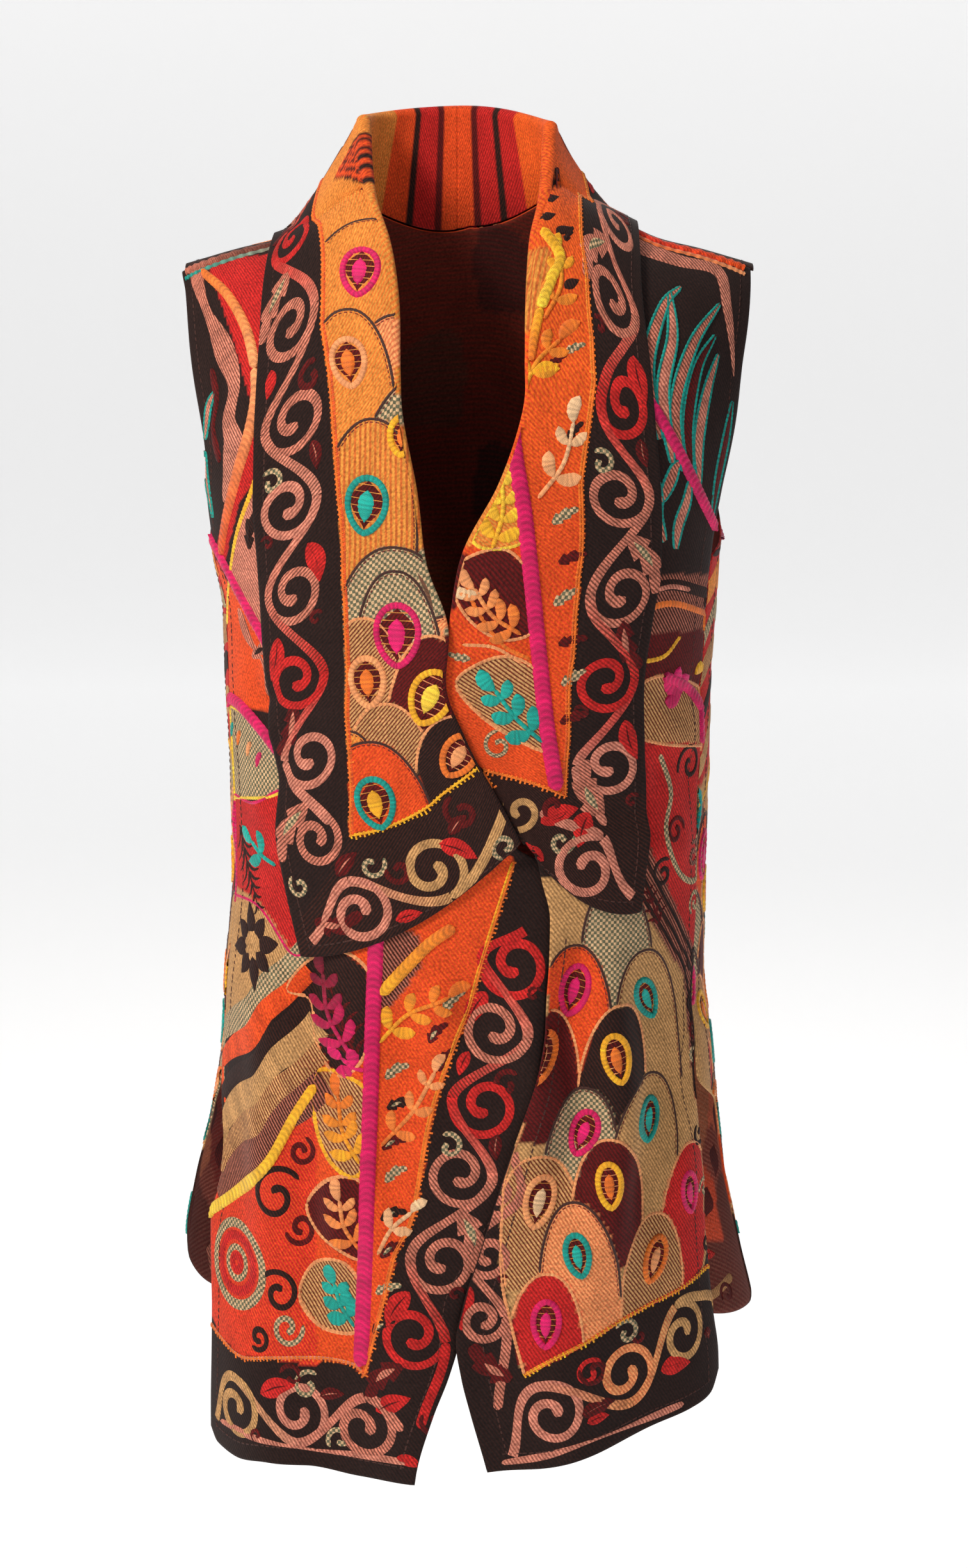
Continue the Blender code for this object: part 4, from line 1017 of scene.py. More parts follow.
def along(line, side=1.0):
    """A warp that lays (distance, offset) along a line of sheet points, and the line's length."""
    line = even_points(np.asarray(line, float), 0.003)
    t = np.gradient(line, axis=0)
    pad = np.concatenate([np.repeat(t[:1], 4, 0), t, np.repeat(t[-1:], 4, 0)])
    t = sum(pad[k:k + len(t)] for k in range(9))
    t /= np.linalg.norm(t, axis=1, keepdims=True)
    n = np.stack([-t[:, 1], t[:, 0]], -1) * side
    s = np.concatenate([[0.0], np.cumsum(np.linalg.norm(np.diff(line, axis=0), axis=1))])

    def warp(q):
        q = np.asarray(q, float)
        k = np.clip(q[:, 0], 0, s[-1])
        pick = lambda f: np.stack([np.interp(k, s, f[:, 0]), np.interp(k, s, f[:, 1])], -1)
        return pick(line) + pick(t) * (q[:, :1] - k[:, None]) + pick(n) * q[:, 1:]
    return warp, float(s[-1])


def vine(sheet, warp, crests, half, system="A", width=0.0076, start=None, finish=None, radius=None, stretch=1.0,
         limit=9.0):
    """An undulating stem with a scroll at each crest, and leaves and small scrolls between.
    crests: place along, side, weave of the scroll and of the stem to it, what fills the space after it."""
    crests = [(s * stretch,) + tuple(rest) for s, *rest in crests if s * stretch < limit]
    reach = half * 0.80
    radius = radius or half * 0.90
    width = max(width, 0.0077)
    points = [] if start is None else [start]
    marks = []
    for k, (s, side, weave, extra) in enumerate(crests):
        points.append((s, side * reach))
        marks.append(weave)
        if k + 1 < len(crests) and crests[k + 1][1] == side:
            points.append((0.5 * (s + crests[k + 1][0]), side * reach * -0.15))
    if finish is not None:
        points.append(finish)
    path = spline(points, 0.0016)
    first = 0
    for k, (s, side, weave, extra) in enumerate(crests):
        stop = int(np.argmin(np.linalg.norm(path - np.array([s, side * reach]), axis=1)))
        if stop - first > 3:
            stripe(sheet, warp(path[first:stop + 1]), lambda t: width * (0.92 + 0.10 * np.cos(2 * np.pi * t)),
                   marks[max(k - 1, 0)], system=system, end=weave, across=5, step=0.0019, square=True)
        first = stop
        curl(sheet, (s, side * (reach - radius)), radius, side * math.pi / 2, -side, weave, width=width * 0.96,
             turns=1.36, system=system, warp=warp, inner=0.12, pitch=1.4)
        gap = (crests[k + 1][0] if k + 1 < len(crests) else s + 0.07) - s
        if extra == "leaf":
            leaf(sheet, (s + 0.48 * gap, side * half * 0.52), side * 0.30, 0.028, 0.0150, "coral", "maroon", system, warp)
            curl(sheet, (s + 0.36 * gap, -side * half * 0.72), half * 0.22, -side * 2.0, -side, "maroon", width=0.0036,
                 turns=1.0, system=system, warp=warp)
        elif extra == "rose":
            leaf(sheet, (s + 0.52 * gap, side * half * 0.42), side * 0.55, 0.026, 0.0145, "coral", "maroon", system, warp)
            curl(sheet, (s + 0.40 * gap, -side * half * 0.70), half * 0.22, -side * 2.2, -side, "check", width=0.0034,
                 turns=1.0, system=system, warp=warp)
        elif extra == "small":
            curl(sheet, (s + 0.66 * gap, side * half * 0.56), half * 0.38, side * 2.4, side, "check", width=0.0048, turns=1.05,
                 system=system, warp=warp)
            leaf(sheet, (s + 0.34 * gap, -side * half * 0.62), -side * 0.20, 0.018, 0.0095, "maroon", "salmon", system, warp)
        elif extra == "wine":
            curl(sheet, (s + 0.66 * gap, side * half * 0.54), half * 0.40, side * 2.6, side, "maroon", width=0.0052, turns=1.05,
                 system=system, warp=warp)
            leaf(sheet, (s + 0.36 * gap, -side * half * 0.66), -side * 0.15, 0.017, 0.0090, "coral", "maroon", system, warp)
        elif extra == "acanthus":
            acanthus(sheet, (s + 0.42 * gap, side * half * 0.12), side * 0.55, 0.042, 0.026, "salmon", "check", system, warp,
                     bend=0.10 * side)
        elif extra == "plume":
            acanthus(sheet, (s + 0.30 * gap, -side * half * 0.20), -side * 0.5, 0.036, 0.022, "maroon", "salmon", system, warp)
    if finish is not None and len(path) - first > 3:
        stripe(sheet, warp(path[first:]), width, marks[-1], system=system, across=5, step=0.0019)


def scales(sheet, cells, region, system="A", edge_dark="brown", edge_light="peach"):
    """Overlapping round-topped cells. cells: x, y, width, height, lean, weave, then the teardrop or None.
    A later cell covers an earlier one. region is the field's polygon in the same system."""
    grid = sheet.systems[system][0]
    r0, r1, c0, c1 = sheet.systems[system][1:]
    allowed = np.zeros(sheet.shape, bool)
    allowed[r0:r1, c0:c1] = True
    allowed &= inside(grid, region)

    def local(points, cell):
        d = np.asarray(points, float) - np.array(cell[:2])
        c, s = math.cos(cell[4]), math.sin(cell[4])
        return d[..., 0] * c + d[..., 1] * s, -d[..., 0] * s + d[..., 1] * c

    def covers(points, cell, grow=0.0):
        u, v = local(points, cell)
        w, h = cell[2] / 2 + grow, cell[3]
        top = h * (1 - np.clip(np.abs(u) / w, 0, 1) ** 2.3) ** 0.62 + grow
        return (np.abs(u) < w) & (v < top) & (v > -0.9 * h - grow)

    for cell in cells:
        sheet.paint(None, cell[5], where=allowed & covers(grid, cell))
    for k, cell in enumerate(cells):
        t = np.linspace(-1, 1, 61)
        w, h = cell[2] / 2, cell[3]
        u = w * np.sin(t * np.pi / 2)
        v = h * (1 - np.clip(np.abs(u) / w, 0, 1) ** 2.3) ** 0.62
        leg = np.linspace(-0.85 * h, 0, 12)[:-1]
        u = np.concatenate([np.full(11, -w), u, np.full(11, w)])
        v = np.concatenate([leg, v, leg[::-1]])
        arch = even_points(rotate(np.stack([u, v], -1), cell[4]) + np.array(cell[:2]), 0.0018)
        seen = inside(arch, region)
        for other in cells[k + 1:]:
            seen &= ~covers(arch, other, 0.0004)
        runs = np.flatnonzero(np.diff(np.concatenate([[0], seen.astype(int), [0]])))
        dark = cell[5] in ("ochre", "honey", "beige", "check", "flame", "peach")
        for a, b in zip(runs[::2], runs[1::2]):
            if b - a > 5:
                chain_line(sheet, arch[a:b], edge_dark if dark else edge_light, 0.0023, system, 0.0008)
                if not dark:
                    continue
                d = np.gradient(arch[a:b], axis=0)
                n = np.stack([-d[:, 1], d[:, 0]], -1) / np.linalg.norm(d, axis=1, keepdims=True)
                dashes(sheet, arch[a:b] - n * 0.0019, "maroon", system, 0.0021, 0.0036, 0.0008)
    for cell in cells:
        if len(cell) > 6 and cell[6]:
            ring, core, scale, tilt = cell[6][:4]
            slim = cell[6][4] if len(cell[6]) > 4 else 1.0
            at_local = rotate(np.array([(0.0, cell[3] * 0.34)]), cell[4])[0] + np.array(cell[:2])
            ground = "maroon" if cell[5] not in ("maroon", "black") else "brown"
            drop(sheet, at_local, cell[4] + math.pi / 2 + tilt, 0.037 * scale, 0.0275 * scale * slim, ring, core,
                 ground, "peach" if ground == "brown" else "ochre", system)


# ---------------------------------------------------------------------------------------------------------------
CELL = 0.0023

levels = [even(lambda q, s=s: front_point(s, np.full_like(q, 0.5), q), a, b, CELL)
          for s in ("right",) for a, b in ((0.0, 0.2), (0.2, VENT_SHARE), (VENT_SHARE, 1.0))]
v_front = np.concatenate([levels[0], levels[1][1:], levels[2][1:]])[:, None]


def front_sheet(side):
    u = even(lambda q: front_point(side, q, np.full_like(q, 0.45)), 0.0, 1.0, 0.0027 if side == "right" else CELL)[None, :]
    points = front_point(side, u, v_front)
    sheet = Sheet("front_" + side, points, (0, -1, 0))
    sheet.system("A", unrolled(sheet.middle))
    return sheet


def collar_sheet(side):
    k = even(lambda q: collar_point(side, q, np.full_like(q, 9.0)), 0.0, 15.0, CELL)[:, None]
    fall = even(lambda q: collar_point(side, np.full_like(q, 10.0), q), 5.0, 11.0, CELL)
    t = np.concatenate([[0.0, 0.5], np.linspace(1.0, 5.0, 11), fall[1:]])[None, :]
    points = collar_point(side, k, t)
    roll = 12
    if side == "right":
        # The fall stands a little further off the stand beside the neck point.
        off = np.linalg.norm(points[:, roll + 1:] - np.array([-0.0704, -0.0198, 0.0215]), axis=-1)
        points[:, roll + 1:, 1] -= 0.0038 * np.exp(-(off / 0.0095) ** 2)
    sheet = Sheet("collar_" + side, points, (0, -1, 0))
    depth = row_length(sheet.middle, 1)
    run = row_length(sheet.middle[:, -1:], 0)[:, 0]
    sheet.system("E", np.stack([np.repeat(run[:, None], sheet.shape[1], 1), depth[:, -1:] - depth], -1))
    lapel = int(np.searchsorted(k[:, 0], 3.0))
    sheet.system("A", unrolled(sheet.middle), (lapel, sheet.shape[0]), (roll, sheet.shape[1]))
    grid = sheet.systems["V"][0]
    sheet.system("V", grid, (lapel, sheet.shape[0]), (roll, sheet.shape[1]))
    sheet.roll, sheet.lapel, sheet.k, sheet.run = roll, lapel, k[:, 0], run
    outline = np.concatenate([grid[lapel:, -1], grid[-1, roll:][::-1], grid[lapel:, roll][::-1]])
    sheet.cover = outline[::3]
    return sheet


def back_sheet():
    step = 0.0047
    half = even(lambda q: back_point(q, np.full_like(q, 0.5)), 0.0, 1.0, step)
    u = np.concatenate([-half[::-1], half[1:]])[None, :]
    parts = [even(lambda q: back_point(np.full_like(q, 0.3), q), a, b, step) for a, b in ((0, 0.2), (0.2, VENT_SHARE), (VENT_SHARE, 1))]
    v = np.concatenate([parts[0], parts[1][1:], parts[2][1:]])[:, None]
    sheet = Sheet("back", back_point(u, v), (0, 1, 0))
    wide = row_length(sheet.middle, 1)
    middle = sheet.shape[1] // 2
    tall = row_length(sheet.middle[::-1], 0)[::-1]
    grid = np.stack([wide - wide[:, middle:middle + 1], tall - tall[:1] * 0 + sheet.middle[-1:, :, 2]], -1)
    sheet.system("A", grid)
    return sheet


front_r, front_l = front_sheet("right"), front_sheet("left")
lapel_r, lapel_l = collar_sheet("right"), collar_sheet("left")
back = back_sheet()

for front in (front_r, front_l):
    view = front.systems["V"][0]
    for lapel in (lapel_r, lapel_l):
        within = inside(view, lapel.cover)
        close = line_distance(view, lapel.cover) < 14.0
        front.hidden |= within & ~close
own = front_l.systems["V"][0]
edge_l = own[:, 0]
over = inside(front_r.systems["V"][0], np.concatenate([edge_l[edge_l[:, 1] > 1150], own[-1, ::4], own[::-4, -1]]))
front_r.hidden |= over & (line_distance(front_r.systems["V"][0], edge_l[::3]) > 14.0)


# ---------------------------------------------------------------------------------------------------------------
def flat(points):
    """Unrolled places of picture points on the form."""
    q = np.asarray(points, float)
    x, z = at(q[:, 0], q[:, 1])
    return unrolled(on_front(x, z))


def rounded(points, step=3.0):
    return spline(points, step, closed=True)


def blob(sheet, points, weave, edge=None, edge_width=0.0024, system="V", smooth_line=True):
    """A compartment: a smooth closed outline in picture units, filled with a weave and edged with chain stitch."""
    line = rounded(points, 3.0 if system == "V" else 0.0015) if smooth_line else np.asarray(points, float)
    sheet.paint(line, weave, system)
    if edge:
        target = sheet.to(line, "A", "V") if system == "V" else line
        chain_line(sheet, target, edge, edge_width, "A", 0.0011)


def fan(sheet, leaves, weave, edge, width=0.0075):
    """Long leaves, each a woven blade with a chain outline. leaves: picture points from base to tip."""
    for k, points in enumerate(leaves):
        line = sheet.to(spline(points, 3.0), "A", "V")
        line = even_points(line, 0.0018)
        body = lambda t: width * np.sin(np.pi * np.clip(t * 0.93 + 0.05, 0, 1)) ** 0.7 + 0.0006
        stripe(sheet, line, body, weave[k % len(weave)], across=5, square=True)
        t = np.linspace(0, 1, len(line))
        d = np.gradient(line, axis=0)
        n = np.stack([-d[:, 1], d[:, 0]], -1) / np.maximum(np.linalg.norm(d, axis=1, keepdims=True), 1e-9)
        half = body(t)[:, None] / 2
        for hand in (1, -1):
            chain_line(sheet, line + hand * n * half, edge, 0.0026, "A", 0.0011)


def flecks(sheet, spots, colours, size=(0.015, 0.007)):
    """Small toothed woven flecks: picture place and lean, one colour after the other."""
    for k, (x, y, lean) in enumerate(spots):
        base = flat([(x, y)])[0]
        acanthus(sheet, base, lean, size[0] * (1.0 + 0.15 * math.sin(3.1 * k)), size[1], colours[k % len(colours)],
                 colours[k % len(colours)], lobes=3, bend=0.05)


def star(sheet, centre, radius, weave, heart):
    """A star flower of eight pointed petals."""
    for k in range(8):
        a = 2 * math.pi * k / 8 + 0.2
        r = radius * (1.0 if k % 2 == 0 else 0.80)
        c = np.asarray(centre, float) + 0.24 * radius * np.array([math.cos(a), math.sin(a)])
        leaf(sheet, c, a, r * 0.86, radius * 0.50, weave, bend=0.0)
    ring = np.asarray(centre, float) + 0.22 * radius * np.stack([np.cos(np.linspace(0, 2 * np.pi, 15)),
                                                              np.sin(np.linspace(0, 2 * np.pi, 15))], -1)
    stripe(sheet, ring, 0.42 * radius, heart, height=0.0005, across=5, closed=True)


def copy_roll(sheet):
    """The roll and the stand carry on what the fall has at the roll."""
    for field in (sheet.first, sheet.second, sheet.kind, sheet.share):
        field[:, :sheet.roll + 1] = field[:, sheet.roll + 2:sheet.roll + 3]


# ---------------------------------------------------------------------------------------------------------------
# Right half of the collar: black border with scrolls, field of overlapping cells.
side_line = [(402, 200), (407, 286), (410, 415), (419, 472), (425, 544), (434, 658), (439, 760), (443, 860), (446, 981),
             (448, 1066)]
low_line = [(448, 1066), (492, 1056), (540, 1033), (566, 1012), (600, 987), (616, 972), (640, 955)]
edge = lapel_r.to(side_line, "E")
order = np.argsort(edge[:, 0])
grid = lapel_r.systems["E"][0]
field_line = np.interp(grid[..., 0], edge[order, 0], edge[order, 1])
lapel_r.paint(None, "ochre", where=grid[..., 1] > field_line)
field_r = flat(side_line + low_line[1:] + [(660, 900), (600, 400), (540, 150), (430, 120)])
cells_r = [
    # picture x, y, width, height, lean, weave, teardrop: ring, core, scale, tilt
    (452, 390, 0.074, 0.064, -0.10, "ochre", ("magenta", "violet", 0.92, 0.0)),
    (492, 470, 0.044, 0.034, -0.30, "peach", None),
    (446, 500, 0.056, 0.052, 0.05, "ochre", ("peach", "orange", 0.84, 0.1)),
    (506, 590, 0.046, 0.052, -0.25, "check", ("gold", "orange", 0.66, 0.1)),
    (536, 720, 0.034, 0.062, -0.1, "maroon", None),
    (462, 700, 0.070, 0.082, -0.12, "honey", ("teal", "aqua", 0.98, 0.0)),
    (556, 800, 0.030, 0.044, 0.0, "ochre", None),
    (500, 800, 0.074, 0.052, -0.10, "check", None),
    (560, 860, 0.044, 0.040, -0.2, "peach", None),
    (510, 850, 0.058, 0.062, 0.05, "check", ("magenta", "violet", 1.08, -0.05)),
    (474, 910, 0.058, 0.062, 0.10, "twill", ("peach", "orange", 0.86, 0.0)),
    (548, 925, 0.056, 0.060, -0.05, "maroon", ("gold", "yellow", 0.98, -0.35)),
    (500, 985, 0.058, 0.046, 0.10, "twill", None),
    (456, 1010, 0.040, 0.040, 0.15, "ochre", None),
    (592, 985, 0.060, 0.040, 0.25, "black", ("orange", "peach", 0.80, -0.75)),
    (486, 1065, 0.074, 0.062, 0.15, "flame", ("teal", "gold", 0.92, 0.10))]
placed = [tuple(flat([c[:2]])[0]) + c[2:] for c in cells_r]
scales(lapel_r, placed, field_r)
below = np.concatenate([low_line, [(760, 900), (760, 1400), (250, 1400), (448, 1066)]])
lapel_r.paint(below, "black")
nape = [(0.020 + 0.034 * (k % 3) + 0.006 * (k // 3), 0.112 - 0.026 * (k // 3), 0.042, 0.032, 0.4 * math.sin(2.0 * k),
         ("coral", "ochre", "black", "flame", "maroon", "check", "ochre", "coral", "flame")[k], None) for k in range(9)]
crossing = lapel_r.systems["E"][0]
for k, (s, weave) in enumerate([(0.090, "flame"), (0.062, "black"), (0.054, "coral"), (0.030, "maroon"), (0.022, "flame")]):
    lapel_r.paint(None, weave, where=(crossing[..., 0] + 0.10 * crossing[..., 1] < s + 0.008) & (crossing[..., 1] > field_line))
wedge = crossing[..., 1] - 0.080 - (crossing[..., 0] - 0.215)
opening = (wedge > 0) & (crossing[..., 1] > 0.080 + 1.3 * (0.203 - crossing[..., 0])) & (crossing[..., 0] < 0.29)
lapel_r.paint(None, "flame", where=opening)
lapel_r.paint(None, "black", where=opening & (np.mod(wedge, 0.0072) < 0.0030))
copy_roll(lapel_r)
stop_at = float(edge[:, 0].max())
run_s = np.linspace(0.002, stop_at, 400)
stitch = np.stack([run_s, np.interp(run_s, edge[order, 0], edge[order, 1])], -1)
blanket(lapel_r, stitch, "orange", 1.0, "E")
chain_line(lapel_r, stitch + np.array([0.0, 0.0016]), "orange_red", 0.0020, "E")
blanket(lapel_r, lapel_r.to(spline(low_line[:6], 4.0), "A"), "gold", -1.0)

reach = float(lapel_r.run[-1])
side_r = (edge[order, 0], edge[order, 1])


def within_border(table, half):
    """A warp that lays a vine midway in a lapel border of changing width."""
    def warp(q):
        wide = np.clip(np.interp(q[:, 0], *table), 0.030, 0.056)
        return np.stack([q[:, 0], 0.5 * wide + 0.0010 + q[:, 1] * (0.5 * wide - 0.0025) / half], -1)
    return warp


straight = within_border(side_r, 0.0225)
vine(lapel_r, straight, [
    (0.030, 1, "coral", "leaf"), (0.085, -1, "salmon", "small"), (0.138, 1, "salmon", "plume"),
    (0.196, -1, "coral", "acanthus"), (0.254, 1, "salmon", "wine"), (0.306, -1, "salmon", "small"),
    (0.352, 1, "rose", "leaf"), (0.402, -1, "salmon", "leaf"), (0.452, 1, "coral", "plume"), (0.500, -1, "rose", "acanthus"),
    (0.562, 1, "salmon", "none")], 0.0225, system="E", radius=0.0196, start=(0.0, -0.004), finish=(0.594, 0.014), stretch=1.10, limit=0.575)


def lower_edge(sheet, rise):
    """A line rise metres above the lower edge of a lapel, from its corner to the fastening."""
    a = sheet.systems["A"][0][-1, sheet.roll:][::-1]
    return even_points(a, 0.003) + np.array([0.0, rise])


low_r, low_length = along(lower_edge(lapel_r, 0.0265))
vine(lapel_r, low_r, [(0.036, 1, "rose", "wine"), (0.083, -1, "beige", "small"), (0.128, 1, "peach", "leaf"),
                      (0.168, -1, "beige", "none")],
     0.0235, start=(0.008, -0.016), finish=(low_length - 0.004, 0.006), stretch=1.20, limit=low_length - 0.018)
corner = lambda x, y: lapel_r.to([(x, y)], "A")[0]
curl(lapel_r, corner(402, 1070), 0.0180, 1.25, -1, "salmon", width=0.0076, turns=1.36, inner=0.12, pitch=1.4)
leaf(lapel_r, corner(430, 1118), 0.9, 0.022, 0.0120, "maroon", "salmon")
curl(lapel_r, corner(382, 1130), 0.0085, 2.4, 1, "check", width=0.0042, turns=1.1)
acanthus(lapel_r, corner(402, 1176), 0.25, 0.034, 0.022, "maroon", "salmon", bend=-0.15)
leaf(lapel_r, corner(560, 1076), -0.35, 0.026, 0.0140, "coral", "maroon")
curl(lapel_r, corner(590, 1036), 0.0125, 2.2, 1, "maroon", width=0.0050, turns=1.1)
curl(lapel_r, corner(474, 1104), 0.0095, 0.6, -1, "check", width=0.0044, turns=1.0)
outer = np.stack([np.linspace(0.004, reach - 0.004, 300), np.full(300, 0.0088)], -1)
dashes(lapel_r, outer, "brown", "E")
dashes(lapel_r, low_r(np.stack([np.linspace(0.008, low_length - 0.008, 80), np.full(80, -0.0185)], -1)), "brown")

# ---------------------------------------------------------------------------------------------------------------
# Left half of the collar: orange-red field with a thick stem, sprigs and compartments.
side_line = [(738, 160), (739, 248), (742, 286), (750, 358), (756, 429), (759, 487), (754, 529), (742, 615), (739, 735),
             (732, 837), (726, 937), (721, 1015)]
low_line = [(721, 1015), (691, 1003), (660, 993), (614, 981), (596, 970)]
edge = lapel_l.to(side_line, "E")
order = np.argsort(edge[:, 0])
grid = lapel_l.systems["E"][0]
field_line = np.interp(grid[..., 0], edge[order, 0], edge[order, 1])
side_l = (edge[order, 0], edge[order, 1])
within = grid[..., 1] > field_line
lapel_l.paint(None, "flame", where=within)
# painted light: the upper part of the left lapel's field is mixed towards a brighter orange, fading out downwards
upper = lapel_l.systems["V"][0][..., 1]
painted_light_top = ramp(-upper, -760.0, -420.0)[..., None] * within[..., None]
lapel_l.first[:] = lapel_l.first * (1 - 0.55 * painted_light_top) + ink("orange") * 0.55 * painted_light_top
lapel_l.paint(rounded([(672, 330), (700, 318), (706, 352), (690, 400), (672, 430)]), "honey")
blob(lapel_l, [(636, 585), (662, 600), (674, 640), (672, 686), (640, 700), (606, 694), (598, 656), (614, 615)], "ochre", "yellow")
blob(lapel_l, [(590, 716), (640, 700), (672, 726), (684, 770), (680, 806), (640, 816), (600, 792), (578, 752)], "maroon", "peach")
blob(lapel_l, [(582, 872), (612, 846), (652, 838), (688, 860), (702, 912), (704, 958), (660, 944), (612, 912)], "twill", "peach")
below = np.concatenate([low_line, [(480, 960), (480, 1300), (900, 1300), (900, 1015)]])
lapel_l.paint(below, "black")
crossing = lapel_l.systems["E"][0]
for k, (s, weave) in enumerate([(0.084, "coral"), (0.060, "black"), (0.052, "coral"), (0.030, "maroon"), (0.022, "flame")]):
    lapel_l.paint(None, weave, where=(crossing[..., 0] + 0.10 * crossing[..., 1] < s + 0.008) & (crossing[..., 1] > field_line))
copy_roll(lapel_l)
stop_at = float(edge[:, 0].max())
run_s = np.linspace(0.002, stop_at, 400)
stitch = np.stack([run_s, np.interp(run_s, edge[order, 0], edge[order, 1])], -1)
blanket(lapel_l, stitch, "orange", 1.0, "E")
chain_line(lapel_l, stitch + np.array([0.0, 0.0016]), "gold", 0.0020, "E", end="orange_red")
blanket(lapel_l, lapel_l.to(spline(low_line, 4.0), "A"), "orange", 1.0)
cord(lapel_l, flat(spline([(650, 512), (656, 575), (668, 650), (678, 740), (688, 840), (698, 930), (710, 1006)], 3.0)),
     "magenta", 0.0106)
P = lambda x, y: flat([(x, y)])[0]
sprig(lapel_l, P(628, 696), 1.45, 0.046, 4, "gold", "yellow", size=(0.0170, 0.0066), bend=-0.08)
sprig(lapel_l, P(664, 806), 2.35, 0.042, 4, "orange", "peach", size=(0.0165, 0.0060), spread=0.85)
lobe(lapel_l, P(612, 752), 2.95, 0.022, 0.0062, "cream")
sprig(lapel_l, P(692, 944), 2.30, 0.046, 3, "teal", "aqua", size=(0.0175, 0.0082), bend=0.05)
sprig(lapel_l, P(686, 634), 1.12, 0.052, 2, "peach", "cream", size=(0.0175, 0.0070), bend=-0.10)
sprig(lapel_l, P(668, 500), 0.95, 0.040, 2, "gold", "orange", size=(0.0180, 0.0074), bend=0.10)
sprig(lapel_l, P(694, 410), 1.35, 0.048, 2, "orange", "gold", size=(0.0150, 0.0062), bend=-0.12)
lobe(lapel_l, P(676, 478), 0.15, 0.019, 0.0070, "gold")
lobe(lapel_l, P(640, 512), 1.9, 0.016, 0.0062, "yellow")
chain_line(lapel_l, flat(spline([(586, 716), (606, 770), (640, 818), (676, 838)], 3.0)), "orange", 0.0030)
chain_line(lapel_l, flat(spline([(590, 818), (630, 822), (664, 842)], 3.0)), "peach", 0.0026)
flecks(lapel_l, [(704, 666, 0.5), (712, 716, 0.3), (706, 770, 0.55), (712, 820, 0.2), (716, 872, 0.5), (714, 920, 0.3)],
       ["check", "maroon"], (0.019, 0.012))
acanthus(lapel_l, P(704, 262), 1.35, 0.034, 0.020, "black", "maroon", lobes=3, bend=0.1)
acanthus(lapel_l, P(716, 196), 1.75, 0.020, 0.013, "maroon", "black", lobes=3, bend=-0.1)
for x, y in ((692, 284), (712, 302), (722, 372)):
    leaf(lapel_l, P(x, y), 0.6, 0.011, 0.0080, "black")
cord(lapel_l, flat(spline([(694, 296), (716, 330), (704, 360), (690, 396)], 3.0)), "gold", 0.0076, end="yellow", height=0.0020)
cord(lapel_l, flat(spline([(690, 396), (682, 430), (676, 462)], 3.0)), "gold", 0.0060, end="orange", height=0.0018)
flecks(lapel_l, [(714, 226, 1.9), (700, 470, 0.6), (722, 452, 0.4), (724, 560, 0.8), (650, 560, 2.4), (600, 836, 2.9),
                 (724, 312, 1.2)], ["black", "maroon", "check"], (0.014, 0.009))
curl(lapel_l, P(636, 948), 0.010, 1.6, 1, "check", width=0.0034, turns=1.2)
ring = P(650, 890) * 0
lower_l = [p for p in lower_edge(lapel_l, 0.0265)]
low_l, low_l_length = along(lower_l, -1.0)
vine(lapel_l, low_l, [(0.034, 1, "rose", "wine"), (0.080, -1, "beige", "leaf"), (0.126, 1, "beige", "small")],
     0.0235, start=(0.008, -0.015), finish=(low_l_length - 0.010, 0.004), stretch=1.20, limit=low_l_length - 0.022)
reach_l = float(lapel_l.run[-1])
straight_l = within_border(side_l, 0.0225)
vine(lapel_l, straight_l, [
    (0.034, -1, "salmon", "small"), (0.090, 1, "coral", "leaf"), (0.142, -1, "salmon", "wine"), (0.196, 1, "rose", "acanthus"),
    (0.250, -1, "salmon", "leaf"), (0.302, 1, "coral", "small"), (0.352, -1, "salmon", "acanthus"),
    (0.408, 1, "salmon", "plume"), (0.458, -1, "coral", "leaf"), (0.508, 1, "rose", "leaf")],
    0.0225, system="E", radius=0.0196, start=(0.0, 0.004), finish=(0.600, 0.002), stretch=1.10, limit=0.575)
corner = lambda x, y: lapel_l.to([(x, y)], "A")[0]
acanthus(lapel_l, corner(768, 1040), 1.9, 0.040, 0.027, "salmon", "check", bend=0.12)
leaf(lapel_l, corner(690, 1050), 0.35, 0.026, 0.0140, "coral", "maroon")
curl(lapel_l, corner(664, 1036), 0.0135, 2.6, 1, "beige", width=0.0056, turns=1.3, inner=0.12, pitch=1.3)
curl(lapel_l, corner(716, 1074), 0.0090, 0.4, -1, "check", width=0.0044, turns=1.1)
outer = np.stack([np.linspace(0.004, reach_l - 0.004, 290), np.full(290, 0.0085)], -1)
dashes(lapel_l, outer, "brown", "E")
dashes(lapel_l, low_l(np.stack([np.linspace(0.008, low_l_length - 0.008, 80), np.full(80, -0.0185)], -1)), "brown")

# ---------------------------------------------------------------------------------------------------------------
# Right front.
F = lambda *points: front_r.to(spline(points, 3.0), "A", "V")
Q = lambda x, y: front_r.to([(x, y)], "A", "V")[0]
front_r.paint([(262, 330), (300, 336), (322, 400), (330, 460), (322, 520), (300, 440), (280, 380)], "coral")
front_r.paint([(290, 330), (380, 320), (400, 470), (380, 590), (338, 590), (306, 640), (280, 742), (276, 700), (296, 610),
               (318, 540), (324, 450), (306, 392)], "coral")
front_r.paint(rounded([(318, 640), (360, 600), (372, 760), (360, 900), (330, 880), (300, 800), (296, 720)]), "rose")
front_r.paint(rounded([(262, 700), (292, 745), (322, 800), (352, 850), (356, 905), (300, 892), (278, 820)]), "flame")
blob(front_r, [(276, 905), (312, 912), (356, 962), (362, 1006), (322, 1018), (280, 1002)], "check", "yellow")
blob(front_r, [(280, 1012), (322, 1024), (366, 1012), (384, 1100), (392, 1198), (372, 1216), (330, 1156), (276, 1120)], "coral", "magenta")
front_r.paint([(262, 1120), (300, 1128), (334, 1154), (372, 1214), (388, 1228), (352, 1266), (310, 1300), (262, 1340)], "beige")
